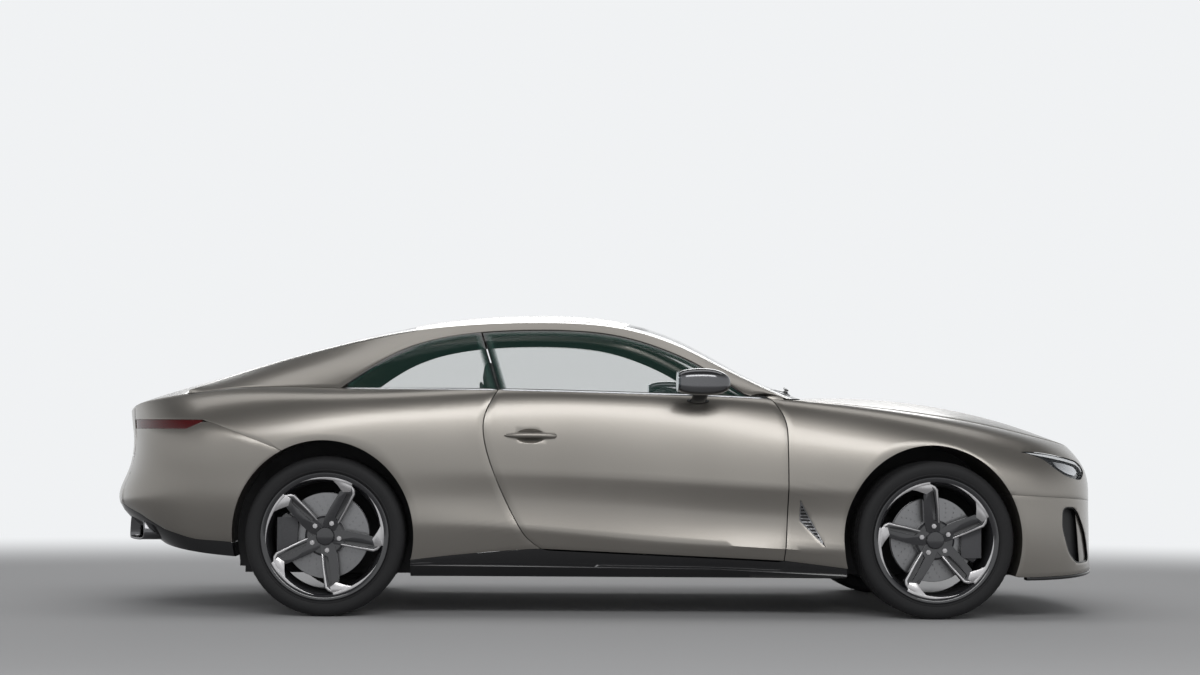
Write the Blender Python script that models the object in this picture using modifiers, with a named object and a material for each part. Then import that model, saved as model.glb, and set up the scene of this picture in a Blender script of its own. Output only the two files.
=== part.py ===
"""Two-door grand touring coupe at full size, as separate panels, glass, wheels and inner structure.

Metres. +X is forward, +Y is the car's left, +Z is up. The origin is on the ground under the middle of the car.
The lower body is a loft through seven named level lines that run from the tail round the side to the nose.
The upper body is a height field over the same plan. Every panel is a patch of those two surfaces with a thickness.
"""

import math

import bmesh
import bpy
import numpy as np
from mathutils import Matrix, Vector

# Driving dimensions
HALF_LENGTH = 2.412
WHEELBASE = 2.851
FRONT_AXLE_X = 1.520
REAR_AXLE_X = FRONT_AXLE_X - WHEELBASE
TYRE_RADIUS = 0.370
TYRE_FACE_Y = 0.966  # outer sidewall
FRONT_TYRE_WIDTH = 0.275
REAR_TYRE_WIDTH = 0.315
RIM_RADIUS = 0.2945  # outer edge of the rim's lip
RIM_SEAT_RADIUS = 0.272
SPOKES = 5
PANEL_GAP = 0.0009  # between panels that don't move
DOOR_GAP = 0.005  # round doors and lids
SEAT = 0.0003  # face to face contact
SKIN = 0.006  # outer panels
LID_DEPTH = 0.016
GLASS = 0.005
PILLAR = 0.034
FLOOR_Z = 0.180
FLOOR_DEPTH = 0.030
ARCH_X_OFFSET = -0.012  # the arch stands a little behind the axle
ARCH_HALF_WIDTH = 0.420
ARCH_HEIGHT = 0.444

NOSE_CORNER_X = 1.95  # the plan starts to turn across the car here
TAIL_CORNER_X = -1.85
CORNER_POWER = 2.6
CORNER_RUN = 1.1  # how much of the lengthwise parameter a corner takes

# Level lines, top to bottom. Each station gives half width and height at waist, shoulder, flank, fold, tuck, crease, hem.
LEVELS = ("waist", "shoulder", "flank", "fold", "tuck", "crease", "hem")
FOLD, CREASE, HEM = 3, 5, 6
STATIONS = (
    # x, (waist y, z), (shoulder y, z), (flank y, z), (fold y, z), (tuck y, z), (crease y, z), (hem y, z)
    (-2.300, (0.770, 0.950), (0.860, 0.885), (0.910, 0.790), (0.905, 0.660), (0.895, 0.530), (0.870, 0.420), (0.820, 0.350)),
    (TAIL_CORNER_X, (0.768, 1.050), (0.862, 0.985), (0.945, 0.840), (0.952, 0.660), (0.945, 0.530), (0.920, 0.400), (0.880, 0.280)),
    (REAR_AXLE_X, (0.800, 1.062), (0.922, 1.000), (0.980, 0.830), (0.983, 0.660), (0.978, 0.530), (0.965, 0.400), (0.930, 0.260)),
    (-0.750, (0.855, 1.060), (0.912, 1.000), (0.946, 0.840), (0.950, 0.665), (0.938, 0.540), (0.945, 0.425), (0.905, 0.262)),
    (0.100, (0.868, 1.048), (0.904, 0.990), (0.935, 0.820), (0.945, 0.640), (0.924, 0.510), (0.944, 0.362), (0.900, 0.252)),
    (0.850, (0.828, 1.024), (0.887, 0.965), (0.938, 0.790), (0.955, 0.600), (0.925, 0.470), (0.950, 0.325), (0.910, 0.235)),
    (FRONT_AXLE_X, (0.735, 0.962), (0.872, 0.915), (0.958, 0.750), (0.971, 0.575), (0.968, 0.450), (0.965, 0.310), (0.950, 0.210)),
    (NOSE_CORNER_X, (0.670, 0.886), (0.828, 0.835), (0.932, 0.690), (0.953, 0.540), (0.955, 0.430), (0.950, 0.300), (0.940, 0.200)),
    (2.300, (0.640, 0.795), (0.770, 0.745), (0.880, 0.650), (0.910, 0.530), (0.925, 0.430), (0.930, 0.310), (0.930, 0.215)),
)
NOSE_X = (2.345, 2.393, HALF_LENGTH, 2.410, 2.408, 2.408, HALF_LENGTH)
TAIL_X = (-2.368, -2.352, -2.340, -2.366, -HALF_LENGTH, -2.335, -2.190)
# How crisp the fold and the crease are along the car: full on the doors, nothing over the rear wheel.
CRISP = ((-1.6, 0.0), (-0.95, 0.25), (-0.5, 1.0), (1.05, 1.0), (1.5, 0.0), (2.4, 0.0))

# Centre line of the bonnet, windscreen, roof, rear window and boot
CENTRE = (
    (-2.40, 0.905), (-2.28, 0.992), (-2.146, 1.048), (-1.82, 1.150), (-1.34, 1.296), (-0.80, 1.416),
    (-0.35, 1.452), (0.08, 1.424), (0.41, 1.318), (0.74, 1.140), (1.00, 1.036),
)
BONNET_CENTRE = ((0.80, 1.030), (1.10, 1.046), (1.40, 1.040), (1.80, 0.985), (2.10, 0.902), (2.30, 0.812), (2.42, 0.740))
# Edge between the roof and the side of the cabin: x, half width, height
RAIL = (
    (-2.02, 0.758, 1.036), (-1.90, 0.660, 1.086), (-1.70, 0.585, 1.158), (-1.34, 0.560, 1.262), (-0.95, 0.600, 1.345),
    (-0.60, 0.628, 1.380), (-0.25, 0.640, 1.388), (0.06, 0.652, 1.362), (0.30, 0.682, 1.290), (0.55, 0.735, 1.165), (0.84, 0.829, 1.025),
)
# Upper edge of the side glass
GLASS_TOP = (
    (-1.28, 1.062), (-1.16, 1.152), (-1.02, 1.238), (-0.80, 1.311), (-0.58, 1.342), (-0.37, 1.352),
    (-0.15, 1.349), (0.06, 1.322), (0.27, 1.256), (0.41, 1.192), (0.53, 1.118), (0.655, 1.032),
)
CABIN_REAR_X, CABIN_FRONT_X = RAIL[0][0], RAIL[-1][0]
TUMBLE_BULGE = 0.020
BELT_INSET = 0.003  # the glass stands inside the waist line
BELT_GAP = 0.009  # from the waist line up to the cabin's frame
DOOR_REAR = (  # height, x of the door's rear edge
    (0.300, -0.300), (0.345, -0.372), (0.416, -0.432), (0.573, -0.513), (0.698, -0.565), (0.822, -0.600), (0.906, -0.605), (0.978, -0.584), (1.070, -0.530),
)
DOOR_FRONT = ((0.240, 0.806), (0.392, 0.819), (0.642, 0.826), (0.831, 0.825), (0.919, 0.817), (0.989, 0.783), (1.060, 0.722))
DOOR_SILL = ((-0.40, 0.318), (0.50, 0.280), (0.90, 0.262))
B_POST = ((1.04, -0.530), (1.36, -0.628))  # height, x of the gap between the side windows


def spline(knots, values):
    """Natural cubic spline through the knots, straight beyond its ends. Returns a function of an array."""
    x = np.asarray(knots, float)
    y = np.asarray(values, float)
    y = y.reshape(len(x), -1)
    h = np.diff(x)
    n = len(x)
    matrix = np.eye(n)
    right = np.zeros_like(y)
    for i in range(1, n - 1):
        matrix[i, i - 1 : i + 2] = h[i - 1], 2 * (h[i - 1] + h[i]), h[i]
        right[i] = 6 * ((y[i + 1] - y[i]) / h[i] - (y[i] - y[i - 1]) / h[i - 1])
    bend = np.linalg.solve(matrix, right)

    def value(at):
        at = np.asarray(at, float)
        flat = at.ravel()
        inside = np.clip(flat, x[0], x[-1])
        i = np.clip(np.searchsorted(x, inside) - 1, 0, n - 2)
        a = ((x[i + 1] - inside) / h[i])[:, None]
        b = 1 - a
        hh = (h[i] ** 2)[:, None] / 6
        out = a * y[i] + b * y[i + 1] + ((a**3 - a) * bend[i] + (b**3 - b) * bend[i + 1]) * hh
        first = (y[1] - y[0]) / h[0] - h[0] * bend[1] / 6
        last = (y[-1] - y[-2]) / h[-1] + h[-1] * bend[-2] / 6
        beyond = flat - inside
        out = out + np.where(beyond < 0, beyond, 0)[:, None] * first + np.where(beyond > 0, beyond, 0)[:, None] * last
        return out.reshape(at.shape + (y.shape[1],))

    return value


def curve_of(table, column=1):
    """A spline of one column of a table whose first column is where."""
    made = spline([row[0] for row in table], [row[column] for row in table])
    return lambda at: made(at)[..., 0]


station_x = [row[0] for row in STATIONS]
half_widths = spline(station_x, [[point[0] for point in row[1:]] for row in STATIONS])
heights = spline(station_x, [[point[1] for point in row[1:]] for row in STATIONS])
crispness = lambda x: np.interp(x, [c[0] for c in CRISP], [c[1] for c in CRISP])
centre_z = curve_of(CENTRE)
bonnet_z = curve_of(BONNET_CENTRE)
rail_y = curve_of(RAIL, 1)
rail_z = curve_of(RAIL, 2)
glass_top_z = curve_of(GLASS_TOP)
door_rear_x = curve_of(DOOR_REAR)
door_front_x = curve_of(DOOR_FRONT)
door_sill_z = curve_of(DOOR_SILL)

smooth_basis = spline(range(7), np.eye(7))
upper_basis = spline(range(FOLD + 1), np.eye(FOLD + 1))
lower_basis = spline(range(FOLD, CREASE + 1), np.eye(CREASE - FOLD + 1))


def crisp_basis(level):
    """Weights of the level lines where the fold and the crease are sharp: a spline above, one between, and a straight hem."""
    weights = np.zeros(level.shape + (7,))
    weights[..., : FOLD + 1] = np.where((level <= FOLD)[..., None], upper_basis(np.minimum(level, FOLD)), 0)
    middle = (level > FOLD) & (level <= CREASE)
    weights[..., FOLD : CREASE + 1] += np.where(middle[..., None], lower_basis(np.clip(level, FOLD, CREASE)), 0)
    low = level > CREASE
    weights[..., CREASE] += np.where(low, HEM - level, 0)
    weights[..., HEM] += np.where(low, level - CREASE, 0)
    return weights


def top_z(x, y):
    """Height of the bonnet and boot: from the waist line's height at the edge up to the centre line, as a flat arch."""
    x = np.asarray(x, float)
    front = x > 0
    edge_y = half_widths(x)[..., 0]
    edge_z = heights(x)[..., 0]
    middle = np.where(front, bonnet_z(x), centre_z(x))
    share = np.clip(np.abs(y) / edge_y, 0, 1)
    return edge_z + (middle - edge_z) * (1 - share**2.4)


def corner(along, ends, start):
    """Plan of a corner as a quarter of a superellipse. Returns x at each level and the share of the half width left."""
    angle = np.clip(np.abs(along - start) / CORNER_RUN, 0, 1) * math.pi / 2
    forward = np.sin(angle) ** (2 / CORNER_POWER)
    across = np.cos(angle) ** (2 / CORNER_POWER)
    return start + (np.asarray(ends) - start) * forward[..., None], across


def body(along, level):
    """The lower body's surface. along is x on the side and runs on round the corners, level is 0 at the waist and 6 at the hem."""
    along, level = np.broadcast_arrays(np.asarray(along, float), np.asarray(level, float))
    x = np.repeat(along[..., None], 7, axis=-1)
    share = np.ones_like(along)
    nose_x, nose_share = corner(along, NOSE_X, NOSE_CORNER_X)
    tail_x, tail_share = corner(along, TAIL_X, TAIL_CORNER_X)
    front = along > NOSE_CORNER_X
    rear = along < TAIL_CORNER_X
    x = np.where(front[..., None], nose_x, np.where(rear[..., None], tail_x, x))
    share = np.where(front, nose_share, np.where(rear, tail_share, share))
    index = np.arange(7)
    y = np.stack([half_widths(x[..., k])[..., k] for k in index], -1) * share[..., None]
    z = np.stack([heights(x[..., k])[..., k] for k in index], -1)
    z[..., 0] = top_z(x[..., 0], y[..., 0])
    weights = smooth_basis(level)
    crisp = crispness(along)[..., None]
    weights = weights + crisp * (crisp_basis(level) - weights)
    return np.stack([(weights * c).sum(-1) for c in (x, y, z)], -1)


def tail_along(x):
    """The lengthwise parameter at which the waist line has this x, behind the tail's corner too."""
    x = np.asarray(x, float)
    share = np.clip((TAIL_CORNER_X - x) / (TAIL_CORNER_X - TAIL_X[0]), 0, 1)
    turn = np.arcsin(share ** (CORNER_POWER / 2)) / (math.pi / 2)
    return np.where(x < TAIL_CORNER_X, TAIL_CORNER_X - CORNER_RUN * turn, x)


def level_at(along, z):
    """The level at which the body's surface has this height, by halving."""
    along, z = np.broadcast_arrays(np.asarray(along, float), np.asarray(z, float))
    low = np.zeros_like(along)
    high = np.full_like(along, HEM)
    for _ in range(30):
        middle = (low + high) / 2
        above = body(along, middle)[..., 2] > z
        low = np.where(above, middle, low)
        high = np.where(above, high, middle)
    return (low + high) / 2


def even(points, count, corners=()):
    """Points spaced evenly along a line of points. corners are kept, each at its own share of the count."""
    points = np.asarray(points, float)
    length = np.concatenate([[0], np.cumsum(np.linalg.norm(np.diff(points, axis=0), axis=1))])
    share = np.linspace(0, length[-1], count)
    for at in corners:
        where = length[at]
        share[np.argmin(np.abs(share[1:-1] - where)) + 1] = where
    return np.stack([np.interp(share, length, points[:, k]) for k in range(points.shape[1])], 1)


def coons(first, last, start, end, fade=1):
    """Fills four border lines with a grid. first and last run the same way, start joins their starts, end their ends.

    fade is how quickly the shapes of start and end die away into the grid.
    """
    u = np.linspace(0, 1, len(first))[:, None, None]
    v = np.linspace(0, 1, len(start))[None, :, None]
    ruled = (1 - v) * first[:, None] + v * last[:, None]
    start_bow = start[None] - (1 - v) * start[0] - v * start[-1]
    end_bow = end[None] - (1 - v) * end[0] - v * end[-1]
    return ruled + (1 - u) ** fade * start_bow + u**fade * end_bow


# Blender helpers


def clear_scene():
    for obj in list(bpy.data.objects):
        bpy.data.objects.remove(obj)


def collection(name):
    made = bpy.data.collections.new(name)
    bpy.context.scene.collection.children.link(made)
    return made


clear_scene()
CAR = collection("coupe_car")
CUTTERS = collection("cutters")
MATERIALS = {}


def material(name, colour, roughness, metallic, alpha=1.0):
    made = bpy.data.materials.new(name)
    made.use_nodes = True
    shader = made.node_tree.nodes["Principled BSDF"]
    shader.inputs["Base Color"].default_value = (*colour, 1)
    shader.inputs["Roughness"].default_value = roughness
    shader.inputs["Metallic"].default_value = metallic
    shader.inputs["Alpha"].default_value = alpha
    MATERIALS[name] = made


for row in (
    # name, colour, roughness, metallic
    ("satin_paint", (0.36, 0.34, 0.31), 0.35, 0.8),
    ("gloss_black", (0.012, 0.012, 0.014), 0.15, 0.2),
    ("underbody", (0.02, 0.02, 0.022), 0.8, 0.0),
    ("tinted_glass", (0.10, 0.14, 0.13), 0.05, 0.0),
    ("lamp_glass", (0.30, 0.31, 0.33), 0.1, 0.2),
    ("red_lamp", (0.25, 0.02, 0.02), 0.2, 0.0),
    ("dark_alloy", (0.06, 0.055, 0.065), 0.25, 0.9),
    ("rubber", (0.02, 0.02, 0.022), 0.75, 0.0),
    ("cast_iron", (0.20, 0.20, 0.22), 0.45, 0.9),
    ("hide", (0.10, 0.12, 0.11), 0.6, 0.0),
    ("engine_metal", (0.25, 0.25, 0.26), 0.5, 0.7),
):
    material(*row)


def add(name, mesh, finish, where=CAR):
    obj = bpy.data.objects.new(name, mesh)
    where.objects.link(obj)
    mesh.materials.append(MATERIALS[finish])
    return obj


def faces_of_grid(rows, columns, offset=0):
    i, j = np.meshgrid(np.arange(rows - 1), np.arange(columns - 1), indexing="ij")
    a = (i * columns + j).ravel() + offset
    return np.stack([a, a + columns, a + columns + 1, a + 1], 1)


def close(mesh, weld=1e-6):
    """Welds the mesh's doubles and turns its faces outwards."""
    work = bmesh.new()
    work.from_mesh(mesh)
    bmesh.ops.remove_doubles(work, verts=work.verts, dist=weld)
    bmesh.ops.recalc_face_normals(work, faces=work.faces)
    work.to_mesh(mesh)
    work.free()
    mesh.set_sharp_from_angle(angle=math.radians(35))


def shell(name, grids, offsets, finish, mirror=False, side=1):
    """One closed skin from grids of points that share their borders.

    offsets holds, for each point, the way from the outer face to the inner face.
    mirror adds the other half of a piece that crosses the car, side -1 makes the right-hand piece.
    """
    points = np.concatenate([np.asarray(grid).reshape(-1, 3) for grid in grids])
    moves = np.concatenate([np.asarray(offset).reshape(-1, 3) for offset in offsets])
    faces, start = [], 0
    for grid in grids:
        faces.append(faces_of_grid(*grid.shape[:2], start))
        start += grid.shape[0] * grid.shape[1]
    faces = np.concatenate(faces)
    if mirror:
        moves[np.abs(points[:, 1]) < 1e-6, 1] = 0
        faces = np.concatenate([faces, faces[:, ::-1] + len(points)])
        flip = np.array([1, -1, 1])
        points, moves = np.concatenate([points, points * flip]), np.concatenate([moves, moves * flip])
    flip = np.array([1, side, 1])
    points, moves = points * flip, moves * flip
    keys, first, place = np.unique(np.round(points, 5), axis=0, return_index=True, return_inverse=True)
    points, moves = points[first], moves[first]
    faces = [list(dict.fromkeys(place.ravel()[face])) for face in faces]
    work = bmesh.new()
    verts = [work.verts.new(point) for point in points]
    low = {vert: work.verts.new(point + move) for vert, point, move in zip(verts, points, moves)}
    for face in faces:
        if len(face) > 2:
            work.faces.new([verts[k] for k in face])
    bmesh.ops.recalc_face_normals(work, faces=work.faces)
    for face in list(work.faces):
        for loop in face.loops:
            if len(loop.edge.link_faces) == 1:
                a, b = loop.vert, loop.link_loop_next.vert
                work.faces.new([b, a, low[a], low[b]])
        work.faces.new([low[v] for v in reversed(face.verts)])
    mesh = bpy.data.meshes.new(name)
    work.to_mesh(mesh)
    work.free()
    close(mesh)
    return add(name, mesh, finish)


def block(name, low, high, finish="underbody", where=CUTTERS, bevel=0.0):
    """A box from its low corner to its high corner."""
    mesh = bpy.data.meshes.new(name)
    work = bmesh.new()
    bmesh.ops.create_cube(work, size=1)
    size = Vector(high) - Vector(low)
    bmesh.ops.scale(work, vec=size, verts=work.verts)
    bmesh.ops.translate(work, vec=(Vector(high) + Vector(low)) / 2, verts=work.verts)
    if bevel:
        bmesh.ops.bevel(work, geom=work.edges, offset=bevel, segments=1, affect="EDGES")
    work.to_mesh(mesh)
    work.free()
    return add(name, mesh, finish, where)


def rod(name, start, end, radius, sides=8, finish="underbody", where=CUTTERS, end_radius=None):
    """A round bar between two points."""
    start, end = Vector(start), Vector(end)
    mesh = bpy.data.meshes.new(name)
    work = bmesh.new()
    bmesh.ops.create_cone(
        work, cap_ends=True, segments=sides, radius1=radius, radius2=radius if end_radius is None else end_radius,
        depth=(end - start).length,
    )
    turn = (end - start).to_track_quat("Z", "Y").to_matrix().to_4x4()
    bmesh.ops.transform(work, matrix=Matrix.Translation((start + end) / 2) @ turn, verts=work.verts)
    work.to_mesh(mesh)
    work.free()
    return add(name, mesh, finish, where)


def turned(name, profile, centre, steps, finish, where=CUTTERS):
    """A solid turned round the car's Y direction. profile is a closed loop of (y, radius)."""
    mesh = bpy.data.meshes.new(name)
    count = len(profile)
    mesh.from_pydata([(r, y, 0) for y, r in profile], [(i, (i + 1) % count) for i in range(count)], [])
    obj = add(name, mesh, finish, where)
    screw = obj.modifiers.new("turn", "SCREW")
    screw.axis = "Y"
    screw.steps = steps
    screw.render_steps = steps
    screw.use_merge_vertices = True
    screw.merge_threshold = 0.00001
    apply_modifiers(obj)
    close(obj.data)
    obj.data.transform(Matrix.Translation(centre))
    return obj


def apply_modifiers(obj):
    graph = bpy.context.evaluated_depsgraph_get()
    made = bpy.data.meshes.new_from_object(obj.evaluated_get(graph))
    obj.modifiers.clear()
    old = obj.data
    obj.data = made
    bpy.data.meshes.remove(old)


def prism(name, outline, low, high, where=CUTTERS, finish="underbody", across="Y"):
    """An outline of (x, z) points pulled along Y from low to high, or of (y, z) points along X."""
    mesh = bpy.data.meshes.new(name)
    work = bmesh.new()
    if across == "Y":
        ring = [work.verts.new((x, low, z)) for x, z in outline]
        move = Vector((0, high - low, 0))
    else:
        ring = [work.verts.new((low, y, z)) for y, z in outline]
        move = Vector((high - low, 0, 0))
    face = work.faces.new(ring)
    made = bmesh.ops.extrude_face_region(work, geom=[face])
    moved = [v for v in made["geom"] if isinstance(v, bmesh.types.BMVert)]
    bmesh.ops.translate(work, vec=move, verts=moved)
    bmesh.ops.recalc_face_normals(work, faces=work.faces)
    work.to_mesh(mesh)
    work.free()
    return add(name, mesh, finish, where)


def boolean(obj, others, operation="DIFFERENCE"):
    """Cuts the others from obj, or joins them to it, and leaves a plain mesh."""
    for other in others:
        modifier = obj.modifiers.new(operation.lower(), "BOOLEAN")
        modifier.operation = operation
        modifier.solver = "EXACT"
        modifier.object = other
    bpy.context.view_layer.update()
    apply_modifiers(obj)
    close(obj.data)
    for other in others:
        bpy.data.objects.remove(other)
    return obj


def joined(name, pieces, finish):
    """One solid from several that overlap."""
    first = boolean(pieces[0], pieces[1:], "UNION")
    first.name = name
    CUTTERS.objects.unlink(first)
    CAR.objects.link(first)
    first.data.materials.clear()
    first.data.materials.append(MATERIALS[finish])
    for polygon in first.data.polygons:
        polygon.material_index = 0
    return first


def grown(outline, by):
    """An outline moved outwards by a distance, with its corners mitred."""
    points = np.asarray(outline, float)
    before = points - np.roll(points, 1, axis=0)
    after = np.roll(points, -1, axis=0) - points
    turn = np.sign(np.sum(points[:, 0] * np.roll(points[:, 1], -1) - points[:, 1] * np.roll(points[:, 0], -1)))
    normals = []
    for way in (before, after):
        way = way / np.linalg.norm(way, axis=1, keepdims=True)
        normals.append(np.stack([way[:, 1], -way[:, 0]], 1) * turn)
    mitre = normals[0] + normals[1]
    return points + by * 2 * mitre / np.sum(mitre**2, axis=1, keepdims=True)


def fitted(name, outline, low, high, grids, moves, finish, side, sign, across="Y"):
    """A piece of thick skin inside an outline, which fits the hole of the same outline."""
    solid = shell(name, grids, moves, finish, side=sign)
    low, high = sorted((sign * low, sign * high)) if across == "Y" else (low, high)
    boolean(solid, [prism("outline", outline, low, high, across=across)], "INTERSECT")
    solid.data.materials.clear()
    solid.data.materials.append(MATERIALS[finish])
    return solid


SIDES = (("right", -1), ("left", 1))


def arch_line(axle_x, first, last, count, grow=0.0):
    """The wheel arch's edge as (along, level) points. Angles in degrees from straight ahead, over the top."""
    angle = np.radians(np.linspace(first, last, count))
    x = axle_x + ARCH_X_OFFSET + (ARCH_HALF_WIDTH + grow) * np.cos(angle)
    z = TYRE_RADIUS + (ARCH_HEIGHT + grow) * np.sin(angle)
    return np.stack([x, level_at(x, z)], 1)


FRONT_JOINT_ANGLE = 29  # the bumper meets the wing here on the arch
SILL_ANGLE = 198
REAR_JOINT_ANGLE = 117
REAR_SILL_ANGLE = -17
GRILLE_ALONG = NOSE_CORNER_X + 0.70 * CORNER_RUN
LAMP_TIP = (-1.895, 0.900)
LAMP_LOW_Z, LAMP_HIGH_Z = 0.862, 0.905
BOOT_ALONG = TAIL_CORNER_X - 0.62 * CORNER_RUN  # where the boot lid meets the lamps
BOOT_LOW_Z = 0.735
NOSE_ALONG = NOSE_CORNER_X + CORNER_RUN
TAIL_ALONG = TAIL_CORNER_X - CORNER_RUN




def on_body(pairs):
    return body(pairs[..., 0], pairs[..., 1])


def outward(surface, a, b, step=1e-3):
    """Unit normals of a surface at parameter points, pointing out of the car's left side."""
    cross = np.cross(surface(a + step, b) - surface(a - step, b), surface(a, b + step) - surface(a, b - step))
    cross /= np.maximum(np.linalg.norm(cross, axis=-1, keepdims=True), 1e-12)
    points = surface(a, b)
    core = points * np.array([1, 0, 0])
    core[..., 0] = np.clip(core[..., 0], TAIL_CORNER_X, NOSE_CORNER_X)
    core[..., 2] = 0.6
    sign = np.sign((cross * (points - core)).sum(-1, keepdims=True))
    return cross * np.where(sign == 0, 1, sign)


def skin(pairs, depth):
    """Points on the body and the way in to the panel's inner face."""
    return on_body(pairs), -depth * outward(body, pairs[..., 0], pairs[..., 1])


def rectangle(along, levels):
    """(along, level) pairs between a first and a last level at each along."""
    share = np.linspace(0, 1, levels[2])
    grid = levels[0][:, None] + (levels[1] - levels[0])[:, None] * share[None]
    return np.stack([np.broadcast_to(along[:, None], grid.shape), grid], -1)


# The cabin's surfaces


SWEEP = ((-2.02, 0.10), (-1.90, 0.085), (-1.34, 0.03), (-0.95, 0.0), (-0.35, 0.0), (0.06, 0.07), (0.30, 0.11), (0.84, 0.16))
sweep_x = curve_of(SWEEP)


def canopy(s, v):
    """Roof and both screens. s is the rail's x, v is 0 on the centre line and 1 on the rail."""
    s, v = np.broadcast_arrays(np.asarray(s, float), np.asarray(v, float))
    middle = s + sweep_x(s)
    x = s + sweep_x(s) * (1 - v**2)
    z = rail_z(s) + (centre_z(middle) - rail_z(s)) * (1 - np.abs(v) ** 2.2)
    return np.stack([x, rail_y(s) * v, z], -1)


def cabin(x, t):
    """Side of the cabin. t is 0 on the rail and 1 on the waist line."""
    x, t = np.broadcast_arrays(np.asarray(x, float), np.asarray(t, float))
    belt = body(tail_along(x), 0.0)
    belt_y = belt[..., 1] - BELT_INSET
    belt_z = belt[..., 2]
    y = rail_y(x) + (belt_y - rail_y(x)) * t
    z = rail_z(x) + (belt_z - rail_z(x)) * t
    swell = TUMBLE_BULGE * np.sin(math.pi * np.clip(t, 0, 1)) * np.clip((rail_z(x) - belt_z) / 0.2, 0, 1)
    return np.stack([x, y + swell * 0.8, z + swell * 0.45], -1)


def cabin_t(x, z):
    """t at which the side of the cabin has this height, by halving."""
    x, z = np.broadcast_arrays(np.asarray(x, float), np.asarray(z, float))
    low, high = np.zeros_like(x), np.ones_like(x)
    for _ in range(30):
        middle = (low + high) / 2
        above = cabin(x, middle)[..., 2] > z
        low, high = np.where(above, middle, low), np.where(above, high, middle)
    return (low + high) / 2


SCREEN_EDGE = 0.915
ROOF_FRONT_S, ROOF_REAR_S = 0.06, -0.95
SCREEN_BASE_S, BACKLIGHT_BASE_S = 0.832, -1.90


SCREEN_S = np.linspace(SCREEN_BASE_S, ROOF_FRONT_S, 7)
ROOF_S = np.linspace(ROOF_FRONT_S, ROOF_REAR_S, 8)
BACKLIGHT_S = np.linspace(ROOF_REAR_S, BACKLIGHT_BASE_S, 8)


def make_canopy():
    edge = SCREEN_EDGE - PANEL_GAP / 0.62
    across = np.linspace(0, edge, 7)
    gap = PANEL_GAP / 2
    for name, samples, front_gap, rear_gap, depth, finish in (
        ("windscreen", SCREEN_S, 0, gap, GLASS, "tinted_glass"),
        ("roof_panel", ROOF_S, gap, gap, SKIN, "satin_paint"),
        ("rear_window", BACKLIGHT_S, gap, 0, GLASS, "tinted_glass"),
    ):
        samples = samples.copy()
        samples[0] -= front_gap
        samples[-1] += rear_gap
        s, v = np.meshgrid(samples, across, indexing="ij")
        shell(name, [canopy(s, v)], [-depth * outward(canopy, s, v)], finish, mirror=True)


GLASS_FRONT_X, GLASS_REAR_X = GLASS_TOP[-1][0], GLASS_TOP[0][0]
FRAME_REAR_X = -2.0
QUARTER_TOP_LEVEL = 0.05
DOOR_TOP_LEVEL = 0.03
GLASS_SEAT = 0.0006  # from the quarter glass to its frame


RAIL_S = np.concatenate([SCREEN_S, ROOF_S[1:], BACKLIGHT_S[1:], [FRAME_REAR_X]])
# Each point of the rail has its partner on the glass's edge, then on the waist line
FRAME_EDGE_X = np.interp(
    RAIL_S,
    (FRAME_REAR_X, BACKLIGHT_S[4], ROOF_REAR_S, -0.35, 0.10, 0.40, SCREEN_BASE_S),
    (FRAME_REAR_X, GLASS_REAR_X, ROOF_REAR_S, -0.35, 0.10, 0.36, GLASS_FRONT_X),
)
WAIST_X = np.concatenate([np.linspace(-0.62, GLASS_REAR_X, 5)[:-1], FRAME_EDGE_X[FRAME_EDGE_X <= GLASS_REAR_X]])


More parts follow.
